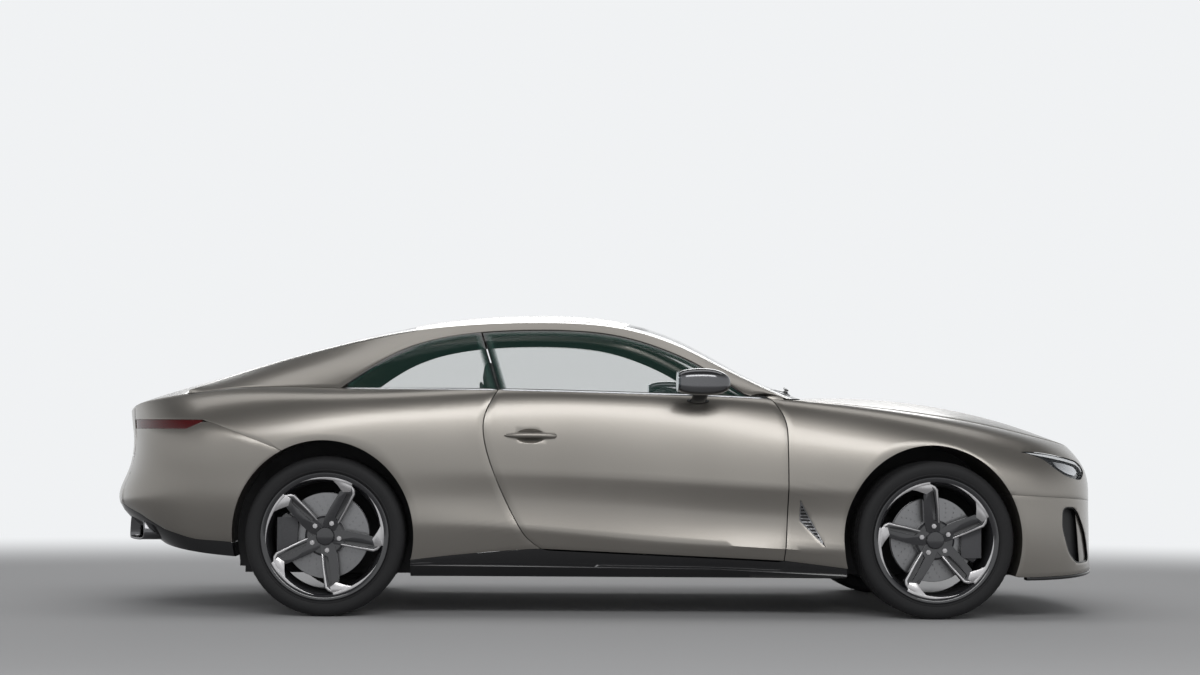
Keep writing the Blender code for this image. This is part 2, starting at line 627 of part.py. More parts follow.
def make_cabin_sides():
    rail, partner = RAIL_S, FRAME_EDGE_X
    front = partner > 0
    seat_z = np.where(front, heights(partner)[..., 0] + BELT_GAP, body(tail_along(partner), QUARTER_TOP_LEVEL)[..., 2] + PANEL_GAP)
    edge_z = np.where(partner > GLASS_REAR_X, np.maximum(glass_top_z(partner), seat_z), seat_z)
    partner_t = cabin_t(partner, edge_z)
    share = np.linspace(0, 1, 5)
    x = rail[:, None] + (partner - rail)[:, None] * share
    t = partner_t[:, None] * share
    side_grid = cabin(x, t)
    depth = PILLAR * np.interp(rail, (FRAME_REAR_X, -1.60), (0.25, 1.0))[:, None, None]
    side_move = -depth * outward(cabin, x, t)
    s, v = np.meshgrid(rail, (SCREEN_EDGE, 0.96, 1.0), indexing="ij")
    top_grid = canopy(s, v)
    top_move = -depth * outward(canopy, s, v)
    ridge = top_move[:, -1] + side_move[:, 0]
    ridge *= depth[:, 0] / np.linalg.norm(ridge, axis=-1, keepdims=True)
    top_move[:, -1] = side_move[:, 0] = ridge
    bottom = side_grid[:, -1, 2] < seat_z + 1e-4
    side_move[bottom, -1, 2] = np.maximum(side_move[bottom, -1, 2], 0)
    for k in range(1, 4):
        room = seat_z - side_grid[:, k, 2]
        side_move[:, k, 2] = np.maximum(side_move[:, k, 2], room + 0.0003 * (4 - k))
    for side, sign in SIDES:
        shell(f"frame_{side}", [top_grid, side_grid], [top_move, side_move], "satin_paint", side=sign)
        edge = side_grid[::-1, -1]
        for name, first, last, count, clear, level in (
            ("door_glass", None, GLASS_FRONT_X - 0.02, 11, DOOR_GAP, DOOR_TOP_LEVEL),
            ("quarter_glass", GLASS_REAR_X + 0.03, None, 7, GLASS_SEAT, QUARTER_TOP_LEVEL),
        ):
            share_x, share_z = np.meshgrid(np.linspace(0, 1, count), np.linspace(0, 1, 6), indexing="ij")
            at = np.zeros_like(share_x)
            for _ in range(8):
                low = body(at, level)[..., 2] + 0.0009
                line = glass_top_z(at) if first is None else np.interp(at, edge[:, 0], edge[:, 2])
                top = np.maximum(line - clear, low + 0.004)
                z = top + (low - top) * share_z
                post = np.interp(z, [p[0] for p in B_POST], [p[1] for p in B_POST])
                a = post + 0.004 if first is None else first
                b = post - 0.004 if last is None else last
                at = a + (b - a) * share_x
            grid = np.stack([at, cabin_t(at, z)], -1)
            move = -GLASS * outward(cabin, grid[..., 0], grid[..., 1])
            points = cabin(grid[..., 0], grid[..., 1])
            room = points[:, -1:, 2] - points[..., 2] + 0.0002 * np.arange(5, -1, -1)
            move[..., 2] = np.maximum(move[..., 2], np.minimum(room, 0))
            shell(f"{name}_{side}", [points], [move], "tinted_glass", side=sign)


DOOR_ROWS = 13


def door_grid():
    """The door's outline as (along, level) points, from its rear edge to its front edge and from belt to sill."""
    count_x, count_z = 10, DOOR_ROWS
    grid = np.zeros((count_x, count_z, 2))
    for i, share in enumerate(np.linspace(0, 1, count_x)):
        x = np.full(count_z, (1 - share) * -0.5 + share * 0.80)
        for _ in range(10):
            low = level_at(x[-1], door_sill_z(x[-1]) + DOOR_GAP / 2)
            levels = np.linspace(DOOR_TOP_LEVEL, float(low), count_z)
            z = body(x, levels)[..., 2]
            x = (1 - share) * (door_rear_x(z) + DOOR_GAP / 2) + share * (door_front_x(z) - DOOR_GAP / 2)
        grid[i, :, 0] = x
        grid[i, :, 1] = levels
    return grid


DOOR_GRID = door_grid()
DOOR_DEPTH = 0.055
DOOR_CARD_Y = 0.812
DOOR_HEEL = 0.014  # the door's inner lower edge is higher by this
HANDLE_X, HANDLE_Z, HANDLE_HALF = (-0.507, -0.262), 0.843, 0.013
POCKET_SIZE = (0.075, 0.026, 0.036)
HINGE_X, HINGE_Y = 0.751, 0.918
HINGE_Z = (0.345, 0.74)
KNUCKLE_RADIUS = 0.009
KNUCKLE_HEIGHT = 0.026
POCKET_REAR, POCKET_FRONT, POCKET_HALF = 0.028, 0.12, 0.032
POCKET_DEPTH_Y = 0.75


def make_doors():
    grid = on_body(DOOR_GRID)
    move = np.zeros_like(grid)
    move[..., 1] = np.minimum(grid[..., 1] - DOOR_DEPTH, DOOR_CARD_Y) - grid[..., 1]
    move[:, -1, 2] = DOOR_HEEL
    for side, sign in SIDES:
        door = shell(f"door_{side}", [grid], [move], "satin_paint", side=sign)
        pockets, leaves = [], []
        for k, z in enumerate(HINGE_Z):
            outer = HINGE_Y + KNUCKLE_RADIUS + 0.004
            ys = sorted((sign * POCKET_DEPTH_Y, sign * outer))
            low = (HINGE_X - POCKET_REAR, ys[0], z - POCKET_HALF)
            high = (HINGE_X + POCKET_FRONT, ys[1], z + POCKET_HALF)
            pockets.append(block(f"pocket_{side}_{k}", low, high))
            start = (HINGE_X, sign * HINGE_Y, z + SEAT / 2)
            end = (HINGE_X, sign * HINGE_Y, z + POCKET_HALF + 0.005)
            leaves.append(rod("leaf", start, end, KNUCKLE_RADIUS))
        boolean(door, pockets)
        boolean(door, leaves, "UNION")
        make_handle(door, side, sign)


def make_handle(door, side, sign):
    """A bar over a round pocket in the door's skin, standing on its two ends."""
    share = np.linspace(0, 1, 9)
    along = HANDLE_X[0] + (HANDLE_X[1] - HANDLE_X[0]) * share
    height = HANDLE_HALF * np.interp(share, (0, 0.25, 0.9, 1), (0.25, 1, 1, 0.6))
    z = HANDLE_Z + height[:, None] * np.array([1.0, 0.0, -1.0])
    pairs = np.stack([np.broadcast_to(along[:, None], z.shape), level_at(np.broadcast_to(along[:, None], z.shape), z)], -1)
    points, normal = skin(pairs, -1.0)
    rise = 0.006 + 0.020 * np.sin(math.pi * share)[:, None, None] ** 0.6
    lift = np.array([0.75, 1.0, 0.75])[None, :, None] * rise
    foot = SEAT + 0.008 * np.sin(math.pi * share)[:, None, None] ** 0.6
    shell(f"handle_{side}", [points + normal * (foot + lift)], [-normal * lift], "satin_paint", side=sign)
    middle = points[4, 1] * np.array([1, sign, 1])
    mesh = bpy.data.meshes.new("pocket")
    work = bmesh.new()
    bmesh.ops.create_uvsphere(work, u_segments=12, v_segments=6, radius=1)
    bmesh.ops.scale(work, vec=POCKET_SIZE, verts=work.verts)
    bmesh.ops.translate(work, vec=middle + np.array([0, sign * 0.008, 0]), verts=work.verts)
    work.to_mesh(mesh)
    work.free()
    boolean(door, [add("pocket", mesh, "satin_paint", CUTTERS)])


def fan(arch, border, count):
    """Pairs between a wheel arch and a border with as many points."""
    share = np.linspace(0, 1, count)[None, :, None]
    return arch[:, None] * (1 - share) + border[:, None] * share


def arched(pairs, arch, axle_x, inner_y, depth, extra=()):
    """A panel round a wheel arch with the wheelhouse's roof, whose edge is the panel's own."""
    grid, move = skin(pairs, depth)
    edge, edge_move = skin(arch, depth)
    radial = np.stack([edge[:, 0] - axle_x - ARCH_X_OFFSET, np.zeros(len(edge)), edge[:, 2] - TYRE_RADIUS], 1)
    radial *= depth / np.linalg.norm(radial, axis=1, keepdims=True)
    rim_move = edge_move + radial
    inside = edge.copy()
    inside[:, 1] = inner_y
    liner = np.stack([edge, inside], 1)
    liner_move = np.stack([rim_move, radial], 1)
    return [liner, grid], [liner_move, move]


def line_levels(points):
    return np.stack([points[:, 0], level_at(points[:, 0], points[:, 1])], 1)


HEADLAMP = (  # seen from the side: x, z
    (1.934, 0.787), (1.985, 0.789), (2.075, 0.780), (2.180, 0.762), (2.262, 0.745), (2.300, 0.722), (2.312, 0.690),
    (2.262, 0.650), (2.165, 0.672), (2.105, 0.708), (2.050, 0.752), (1.985, 0.775),
)
VENT = ((0.881, 0.557), (0.879, 0.455), (1.005, 0.328))
INTAKE = (  # x, z
    (2.132, 0.510), (2.150, 0.528), (2.200, 0.528), (2.235, 0.495), (2.285, 0.395), (2.318, 0.282),
    (2.306, 0.262), (2.215, 0.258), (2.165, 0.310), (2.128, 0.430),
)
LOWER_GRILLE = ((0.440, 0.260), (0.400, 0.500), (-0.400, 0.500), (-0.440, 0.260))  # y, z
LOWER_PITCH = 0.080
GRILLE_BARS, GRILLE_PITCH, GRILLE_SLOT_TOP = 8, 0.110, 0.742
LAMP_Y, LAMP_DEPTH = 0.35, 0.040
VENT_DEPTH, VENT_PITCH = 0.040, 0.030
SPLITTER_REAR_X, SPLITTER_DEPTH = 1.965, 0.016
FRONT_WELL_Y, REAR_WELL_Y = 0.500, 0.605
WING_TOP_LEVEL = 0.08
SEAM_NOSE_Z = 0.548
WING_SKIN = 0.004
GRILLE_TOP_LEVEL, GRILLE_DEPTH = 0.35, 0.015
WAIST_POINTS = 11


def make_front():
    gap = PANEL_GAP
    arch = arch_line(FRONT_AXLE_X, SILL_ANGLE, FRONT_JOINT_ANGLE, DOOR_ROWS + WAIST_POINTS)
    up = DOOR_GRID[-1][::-1] + np.array([DOOR_GAP, 0])
    top = np.stack([np.linspace(0.85, 1.93, WAIST_POINTS), np.full(WAIST_POINTS, WING_TOP_LEVEL)], 1)
    wing = fan(arch, np.concatenate([up, top]), 5)
    # From the arch's joint forward under the lamp to the grille
    joint_z = float(body(arch[-1, 0], arch[-1, 1])[2])
    seam = line_levels(np.stack([np.linspace(arch[-1, 0], GRILLE_ALONG, 11), np.linspace(joint_z, SEAM_NOSE_Z, 11)], 1))
    top = np.stack([np.linspace(1.93, GRILLE_ALONG, 11), np.full(11, WING_TOP_LEVEL)], 1)
    nose = fan(seam, top, 5)
    grids, moves = arched(wing, arch, FRONT_AXLE_X, FRONT_WELL_Y, WING_SKIN)
    grid, move = skin(nose, WING_SKIN)
    move[0, :] = skin(wing[-1:], WING_SKIN)[1][0]
    move[0, 0] = moves[0][-1, 0]
    for side, sign in SIDES:
        wing_panel = shell(f"wing_{side}", grids + [grid], moves + [move], "satin_paint", side=sign)
        ends = sorted((sign * LAMP_Y, sign * 1.1))
        boolean(wing_panel, [prism("lamp_hole", HEADLAMP, ends[0], ends[1]), prism("vent_hole", VENT, ends[0], ends[1])])
        points, normal = skin(nose, -1.0)
        inner = grown(HEADLAMP, -2 * SEAT)
        fitted(f"headlamp_{side}", inner, LAMP_Y, 1.1, [points - normal * 0.001], [-normal * LAMP_DEPTH], "lamp_glass", side, sign)
        make_vent(side, sign)
    # Bumper: below the seam, from the arch round to the centre
    lower_arch = arch_line(FRONT_AXLE_X, FRONT_JOINT_ANGLE - 0.3, -22, 7)
    along = np.concatenate([seam[:, 0], np.linspace(GRILLE_ALONG, NOSE_ALONG, 6)[1:]])
    top_z_line = np.concatenate([on_body(seam)[:, 2] - gap, np.full(5, SEAM_NOSE_Z - gap)])
    top_line = np.stack([along, level_at(along, top_z_line)], 1)
    top_line[0] = lower_arch[0]
    low_along = np.concatenate([np.linspace(lower_arch[-1, 0], along[3], 4), along[4:]])
    low_line = np.stack([low_along, np.full(len(low_along), float(HEM))], 1)
    low_line[0] = lower_arch[-1]
    end = np.stack([np.full(7, NOSE_ALONG), np.linspace(top_line[-1, 1], HEM, 7)], 1)
    bumper = coons(top_line, low_line, lower_arch, end)
    grids, moves = arched(bumper, lower_arch, FRONT_AXLE_X, FRONT_WELL_Y + 0.2, WING_SKIN)
    panel = shell("front_bumper", grids, moves, "satin_paint", mirror=True)
    holes = [prism("lower_hole", LOWER_GRILLE, 2.30, 2.45, across="X")]
    for side, sign in SIDES:
        ends = sorted((sign * LAMP_Y, sign * 1.1))
        holes.append(prism("intake_hole", INTAKE, ends[0], ends[1]))
    boolean(panel, holes)
    # One plate behind the bumper's three openings
    points, normal = skin(bumper[4:], -1.0)
    plate = shell("lower_grille", [points - normal * (WING_SKIN + 3 * SEAT)], [-normal * 0.016], "gloss_black", mirror=True)
    low, high = LOWER_GRILLE[0][1] - 0.008, INTAKE[1][1] + 0.008
    boolean(plate, [block("band", (INTAKE[0][0] - 0.012, -1.0, low), (2.50, 1.0, high))], "INTERSECT")
    slots = []
    half = LOWER_GRILLE[1][0] - 0.01
    for z in np.arange(LOWER_GRILLE[0][1] + 0.020, LOWER_GRILLE[1][1] - 0.02, LOWER_PITCH):
        slots.append(block("slot", (2.2, -half, z), (2.50, half, z + LOWER_PITCH - 0.022)))
    boolean(plate, slots)
    plate.data.materials.clear()
    plate.data.materials.append(MATERIALS["gloss_black"])
    make_splitter()
    # Grille between the wings, above the bumper
    along = np.linspace(GRILLE_ALONG, NOSE_ALONG, 6)
    along[0] += 0.006
    low = level_at(along, SEAM_NOSE_Z - gap + 2 * SEAT)
    grid, move = skin(rectangle(along, (np.full(6, GRILLE_TOP_LEVEL), low, 6)), GRILLE_DEPTH)
    grille = shell("grille", [grid], [move], "gloss_black", mirror=True)
    slots = []
    for y in (np.arange(GRILLE_BARS) - (GRILLE_BARS - 1) / 2) * GRILLE_PITCH:
        slots.append(block("slot", (2.2, y - 0.045, SEAM_NOSE_Z + 0.02), (2.5, y + 0.045, GRILLE_SLOT_TOP)))
    boolean(grille, slots)


def make_vent(side, sign):
    """The three-cornered outlet behind the front wheel: an insert with level slats."""
    x = np.linspace(VENT[0][0] - 0.01, VENT[2][0] + 0.01, 4)
    z = np.linspace(VENT[0][1] + 0.01, VENT[2][1] - 0.01, 6)
    x, z = np.meshgrid(x, z, indexing="ij")
    points, normal = skin(np.stack([x, level_at(x, z)], -1), -1.0)
    insert = fitted(
        f"vent_{side}", grown(VENT, -2 * SEAT), LAMP_Y, 1.1, [points - normal * 0.001], [-normal * VENT_DEPTH], "gloss_black", side, sign
    )
    slots = []
    face = float(points[..., 1].min()) - 0.006
    for z in np.arange(VENT[2][1] + 0.03, VENT[0][1] - 0.02, VENT_PITCH):
        low, high = corners((VENT[0][0] - 0.1, sign * face, z), (VENT[2][0] + 0.1, sign * 1.1, z + VENT_PITCH * 0.6))
        slots.append(block("slot", low, high))
    boolean(insert, slots)


def make_splitter():
    """A blade under the bumper's lower edge, round the nose."""
    along = np.concatenate([np.linspace(SPLITTER_REAR_X, NOSE_CORNER_X, 3)[:-1], np.linspace(NOSE_CORNER_X, NOSE_ALONG, 9)])
    edge = body(along, float(HEM))
    edge[:, 2] -= 2 * SEAT
    inner = edge.copy()
    share = (edge[:, 0] - SPLITTER_REAR_X) / (HALF_LENGTH - SPLITTER_REAR_X)
    inner[:, 1] *= 0.93
    inner[:, 0] -= 0.05 * share
    grid = np.stack([edge, inner], 1)
    move = np.zeros_like(grid)
    move[..., 2] = -SPLITTER_DEPTH
    shell("splitter", [grid], [move], "gloss_black", mirror=True)


def plan_normal(points):
    return np.broadcast_to(np.array([0.0, 0.0, 1.0]), points.shape)


def on_top(plan):
    """Points of the bonnet and boot over a plan of (x, y)."""
    return np.concatenate([plan, top_z(plan[..., 0], plan[..., 1])[..., None]], -1)


BONNET_SIDE_GAP = 0.007
BONNET_REAR_GAP = 0.026
BONNET_CORNER = NOSE_CORNER_X + 0.50 * CORNER_RUN
BONNET_HINGE = (0.920, 1.010)
BONNET_KNUCKLE = 0.006
BONNET_HINGE_Y = 0.600
BOOT_FRONT_GAP = 0.012
BOOT_HINGE = (-1.850, 1.1275)
BOOT_HINGE_Y = 0.120
BOOT_KNUCKLE = 0.005
LUG = 0.020


def inward(along):
    """The gap round a lid, square to the waist line in plan."""
    along = np.asarray(along, float)
    normal = outward(body, along, np.full(along.shape, 0.02))[..., :2]
    return -BONNET_SIDE_GAP * normal / np.linalg.norm(normal, axis=-1, keepdims=True)


def make_bonnet():
    # Borders in plan: screen base, side edge, nose edge, centre line
    v = np.linspace(0, 1, 7)
    base = canopy(np.full(7, SCREEN_BASE_S), v)[:, :2] + np.array([BONNET_REAR_GAP, 0])
    base[:, 0] = np.maximum(base[:, 0], 0.862)
    side_along = np.linspace(0.862, BONNET_CORNER, 11)
    inset = np.array([0, BONNET_SIDE_GAP])
    side = body(side_along, 0.0)[:, :2] - inset
    nose = body(np.linspace(NOSE_ALONG, BONNET_CORNER, 7), 0.0)[:, :2] - inset * v[:, None]
    nose[:, 0] -= BONNET_SIDE_GAP * (1 - v)
    base[:, 1] *= side[0, 1] / base[-1, 1]
    base[-1] = side[0]
    middle = np.stack([np.linspace(base[0, 0], nose[0, 0], 11), np.zeros(11)], 1)
    plan = coons(middle, side, base, nose)
    grid = on_top(plan)
    bonnet = shell("bonnet", [grid], [-LID_DEPTH * plan_normal(grid)], "satin_paint", mirror=True)
    lugs = []
    for sign in (-1, 1):
        ys = sorted((sign * BONNET_HINGE_Y, sign * (BONNET_HINGE_Y + LUG)))
        x, z = BONNET_HINGE
        top = float(top_z(x + 0.035, BONNET_HINGE_Y)) - LID_DEPTH + 0.003
        lugs.append(block("lug", (x, ys[0], z - BONNET_KNUCKLE), (x + 0.035, ys[1], top)))
        lugs.append(rod("knuckle", (x, ys[0], z), (x, ys[1], z), BONNET_KNUCKLE))
    boolean(bonnet, lugs, "UNION")


def make_boot():
    n = 8
    v = np.linspace(0, 1, n)
    window = canopy(np.full(n - 3, BACKLIGHT_BASE_S), np.linspace(0, SCREEN_EDGE, n - 3))[:, :2] - np.array([BOOT_FRONT_GAP, 0])
    end = canopy(np.full(2, FRAME_REAR_X), np.array([SCREEN_EDGE, 1.0]))[:, :2] - np.array([0.009, 0.004])
    start_along = float(tail_along(FRAME_REAR_X)) - 0.012
    corner_along = BOOT_ALONG - 0.009
    side_along = np.linspace(start_along, corner_along, 8)
    rear_along = np.linspace(TAIL_ALONG, corner_along, n)
    side = body(side_along, 0.0)[:, :2] + inward(side_along)
    rear = body(rear_along, 0.0)[:, :2] + inward(rear_along) * v[:, None] ** 4
    rear[-1] = side[-1]
    front = np.concatenate([window, end, side[:1]])
    middle = np.stack([np.linspace(front[0, 0], rear[0, 0], 8), np.zeros(8)], 1)
    deck = on_top(coons(middle, side, front, rear))
    deck_move = np.zeros_like(deck)
    deck_move[..., 2] = -LID_DEPTH
    low = level_at(rear_along, BOOT_LOW_Z)
    pairs = rectangle(rear_along, (np.zeros(n), low, 6))
    face, face_move = skin(pairs, LID_DEPTH)
    face[:, 0] = deck[-1]
    face_move[:, 0] = deck_move[-1] + face_move[:, 1]
    deck_move[-1] = face_move[:, 0]
    lid = shell("boot_lid", [deck, face], [deck_move, face_move], "satin_paint", mirror=True)
    pockets, knuckles = [], []
    x, z = BOOT_HINGE
    for sign in (-1, 1):
        ys = sorted((sign * BOOT_HINGE_Y, sign * (BOOT_HINGE_Y + LUG + 0.006)))
        pockets.append(block("pocket", (x - 0.03, ys[0], z - 0.03), (x + 0.040, ys[1], z + 0.030)))
    boolean(lid, pockets)


def make_rear():
    gap = PANEL_GAP
    arch = arch_line(REAR_AXLE_X, REAR_SILL_ANGLE, REAR_JOINT_ANGLE, DOOR_ROWS + len(WAIST_X))
    up = DOOR_GRID[0][::-1] - np.array([DOOR_GAP, 0])
    waist = np.stack([tail_along(WAIST_X), np.full(len(WAIST_X), QUARTER_TOP_LEVEL)], 1)
    quarter = fan(arch, np.concatenate([up, waist]), 5)
    joint = arch[-1]
    joint_z = float(body(joint[0], joint[1])[2])
    lamp_top = line_levels(np.stack([np.linspace(joint[0], LAMP_TIP[0], 6), np.linspace(joint_z, LAMP_HIGH_Z, 6)], 1))
    lamp_run = line_levels(np.stack([np.linspace(LAMP_TIP[0], BOOT_ALONG, 6)[1:], np.full(5, LAMP_HIGH_Z)], 1))
    seam = np.concatenate([lamp_top, lamp_run])
    seam[0] = joint
    top = np.stack([np.linspace(float(tail_along(FRAME_REAR_X)), BOOT_ALONG, 11), np.full(11, QUARTER_TOP_LEVEL)], 1)
    grids, moves = arched(quarter, arch, REAR_AXLE_X, REAR_WELL_Y, SKIN)
    grid, move = skin(fan(seam, top, 5), SKIN)
    move[0, :] = skin(quarter[-1:], SKIN)[1][0]
    move[0, 0] = moves[0][-1, 0]
    for side, sign in SIDES:
        shell(f"quarter_{side}", grids + [grid], moves + [move], "satin_paint", side=sign)
    # Tail lamp, then the bumper below it
    lamp_along = seam[5:, 0]
    lamp_low_z = np.interp(lamp_along, (BOOT_ALONG, LAMP_TIP[0] - 0.08, LAMP_TIP[0]), (LAMP_LOW_Z, LAMP_LOW_Z, LAMP_HIGH_Z - 0.010))
    lamp_low = level_at(lamp_along, lamp_low_z)
    lamp_high = level_at(lamp_along, np.full(6, LAMP_HIGH_Z) - gap)
    grid, move = skin(rectangle(lamp_along, (lamp_high, lamp_low, 4)), 0.03)
    for side, sign in SIDES:
        shell(f"tail_lamp_{side}", [grid], [move], "red_lamp", side=sign)
    lower_arch = arch_line(REAR_AXLE_X, REAR_JOINT_ANGLE + 0.7, DIFFUSER_ANGLE, 6)
    first = np.stack([seam[:6, 0], level_at(seam[:6, 0], np.minimum(on_body(seam[:6])[:, 2], 0.8945) - gap)], 1)
    first[0] = lower_arch[0]
    second = np.stack([lamp_along, level_at(lamp_along, lamp_low_z - gap)], 1)
    beyond = np.linspace(BOOT_ALONG, TAIL_ALONG, 6)
    boot = np.stack([beyond[1:], level_at(beyond[1:], BOOT_LOW_Z - DOOR_GAP)], 1)
    step_z = np.linspace(LAMP_LOW_Z, BOOT_LOW_Z - DOOR_GAP, 6)[1:]
    step_along = BOOT_ALONG - 0.0004 * np.arange(1, 6)
    step = np.stack([step_along, level_at(step_along, step_z)], 1)
    top_line = np.concatenate([first[:-1], second, step, boot])
    joint_x = top_line[0, 0]
    low_along = np.interp(-top_line[:, 0], (-joint_x, -LAMP_TIP[0], -TAIL_ALONG), (-lower_arch[-1, 0], -LAMP_TIP[0], -TAIL_ALONG))
    low_z = np.interp(low_along, [-row[0] for row in DIFFUSER_LINE], [row[1] for row in DIFFUSER_LINE])
    low_line = np.stack([-low_along, level_at(-low_along, low_z)], 1)
    low_line[0] = lower_arch[-1]
    end = np.stack([np.full(6, TAIL_ALONG), np.linspace(boot[-1, 1], low_line[-1, 1], 6)], 1)
    bumper = coons(top_line, low_line, lower_arch, end, fade=5)
    grids, moves = arched(bumper, lower_arch, REAR_AXLE_X, REAR_WELL_Y + 0.1, SKIN)
    shell("rear_bumper", grids, moves, "satin_paint", mirror=True)
    # Diffuser below it, round the tail pipes
    arch = arch_line(REAR_AXLE_X, DIFFUSER_ANGLE + 0.3, 196, 3)
    first = np.stack([low_line[:, 0], level_at(low_line[:, 0], on_body(low_line)[:, 2] - gap)], 1)
    first[0] = arch[0]
    last = np.stack([low_line[:, 0], np.full(len(low_line), float(HEM))], 1)
    last[0] = arch[-1]
    end = np.stack([np.full(3, TAIL_ALONG), np.linspace(first[-1, 1], HEM, 3)], 1)
    lower = coons(first, last, arch, end, fade=5)
    grids, moves = arched(lower, arch, REAR_AXLE_X, REAR_WELL_Y + 0.1, SKIN)
    diffuser = shell("diffuser", grids, moves, "gloss_black", mirror=True)
    pipes, bores = [], []
    for side, sign in SIDES:
        ring = [(sign * y, z) for y, z in PIPE_OUTLINE]
        pipe = prism("tail_pipe", ring, PIPE_X[0], PIPE_X[1], across="X")
        for vert in pipe.data.vertices:
            if vert.co.x < PIPE_X[0] + 0.01:
                vert.co.x = np.interp(abs(vert.co.y), PIPE_CUT_Y, PIPE_CUT_X)
        pipes.append(pipe)
        bores.append(prism("bore", grown(ring, -PIPE_WALL), -2.50, PIPE_X[1] - 0.02, across="X"))
    boolean(diffuser, pipes, "UNION")
    boolean(diffuser, bores)
    diffuser.data.materials.clear()
    diffuser.data.materials.append(MATERIALS["gloss_black"])


DIFFUSER_ANGLE = 184.5
DIFFUSER_LINE = ((-1.70, 0.335), (-1.95, 0.352), (-2.15, 0.392), (-2.32, 0.462), (-2.50, 0.500), (-2.95, 0.505))  # along, z
PIPE_OUTLINE = ((0.540, 0.345), (0.560, 0.335), (0.700, 0.335), (0.735, 0.362), (0.715, 0.435), (0.690, 0.450), (0.575, 0.450), (0.550, 0.440))
PIPE_X = (-2.36, -2.12)
PIPE_CUT_Y, PIPE_CUT_X = (0.54, 0.735), (-2.300, -2.195)
PIPE_WALL = 0.009
SILL_INNER_Y = 0.800
SILL_GAP = 0.0012


def make_sills():
    """Sills: from the lower edges of quarter, door and wing down to a blade, back to a flat inner wall."""
    share = np.linspace(0, 1, 6)[:, None]
    rear_arch = arch_line(REAR_AXLE_X, REAR_SILL_ANGLE, REAR_SILL_ANGLE, 1)
    front_arch = arch_line(FRONT_AXLE_X, SILL_ANGLE, SILL_ANGLE, 1)
    door_rear, door_front = DOOR_GRID[0, -1] - np.array([DOOR_GAP, 0]), DOOR_GRID[-1, -1] + np.array([DOOR_GAP, 0])
    rear = rear_arch + (door_rear - rear_arch) * share
    front = door_front + (front_arch - door_front) * share
    rear[0, 0] += 0.004
    front[-1, 0] -= 0.004
    lines = np.concatenate([rear[::2], rear[-1:], DOOR_GRID[1:-1:2, -1], front[:1], front[1::2]])
    top = on_body(lines)
    under_door = (lines[:, 0] > rear[-1, 0] + 1e-4) & (lines[:, 0] < front[0, 0] - 1e-4)
    top[:, 2] -= np.where(under_door, DOOR_GAP + 0.003, SILL_GAP)
    x = top[:, 0]
    hem = body(lines[:, 0], float(HEM))
    hem[:, 2] = np.minimum(hem[:, 2], top[:, 2] - 0.006)
    blade = hem + np.array([0, 0.004, 0])
    blade[:, 2] = np.interp(x, (x[0], -0.75, 0.50, x[-1]), (0.236, 0.234, 0.226, 0.196))
    foot = hem - np.array([0, 0.045, 0])
    foot[:, 2] = FLOOR_Z + 0.004
    grid = np.stack([top, hem, blade, foot], 1)
    move = np.zeros_like(grid)
    move[..., 1] = SILL_INNER_Y - grid[..., 1]
    move[:, -1, 2] = -0.002
    for side, sign in SIDES:
        shell(f"sill_{side}", [grid], [move], "gloss_black", side=sign)


# Structure under and inside the panels

FLOOR_REAR_X, FLOOR_FRONT_X = -1.74, 2.10
FLOOR_TOP = FLOOR_Z + FLOOR_DEPTH
FLOOR_HALF = SILL_INNER_Y - SEAT
WELL_CLEAR = 0.475
FIREWALL_X = (1.005, 1.030)
POST_X, POST_Y = 0.838, 0.790
BULKHEAD_X = (-1.075, -1.050)
BULKHEAD_HALF = REAR_WELL_Y - 0.018 - SEAT
SHELF_Z = (0.965, 0.985)
TUNNEL_HALF, TUNNEL_TOP = 0.130, 0.430
SUBFRAME_DEPTH = 0.045


def box_pair(name, low, high):
    """Two mirrored boxes, given on the left side."""
    return [
        block(name, (low[0], low[1], low[2]), (high[0], high[1], high[2])),
        block(name, (low[0], -high[1], low[2]), (high[0], -low[1], high[2])),
    ]


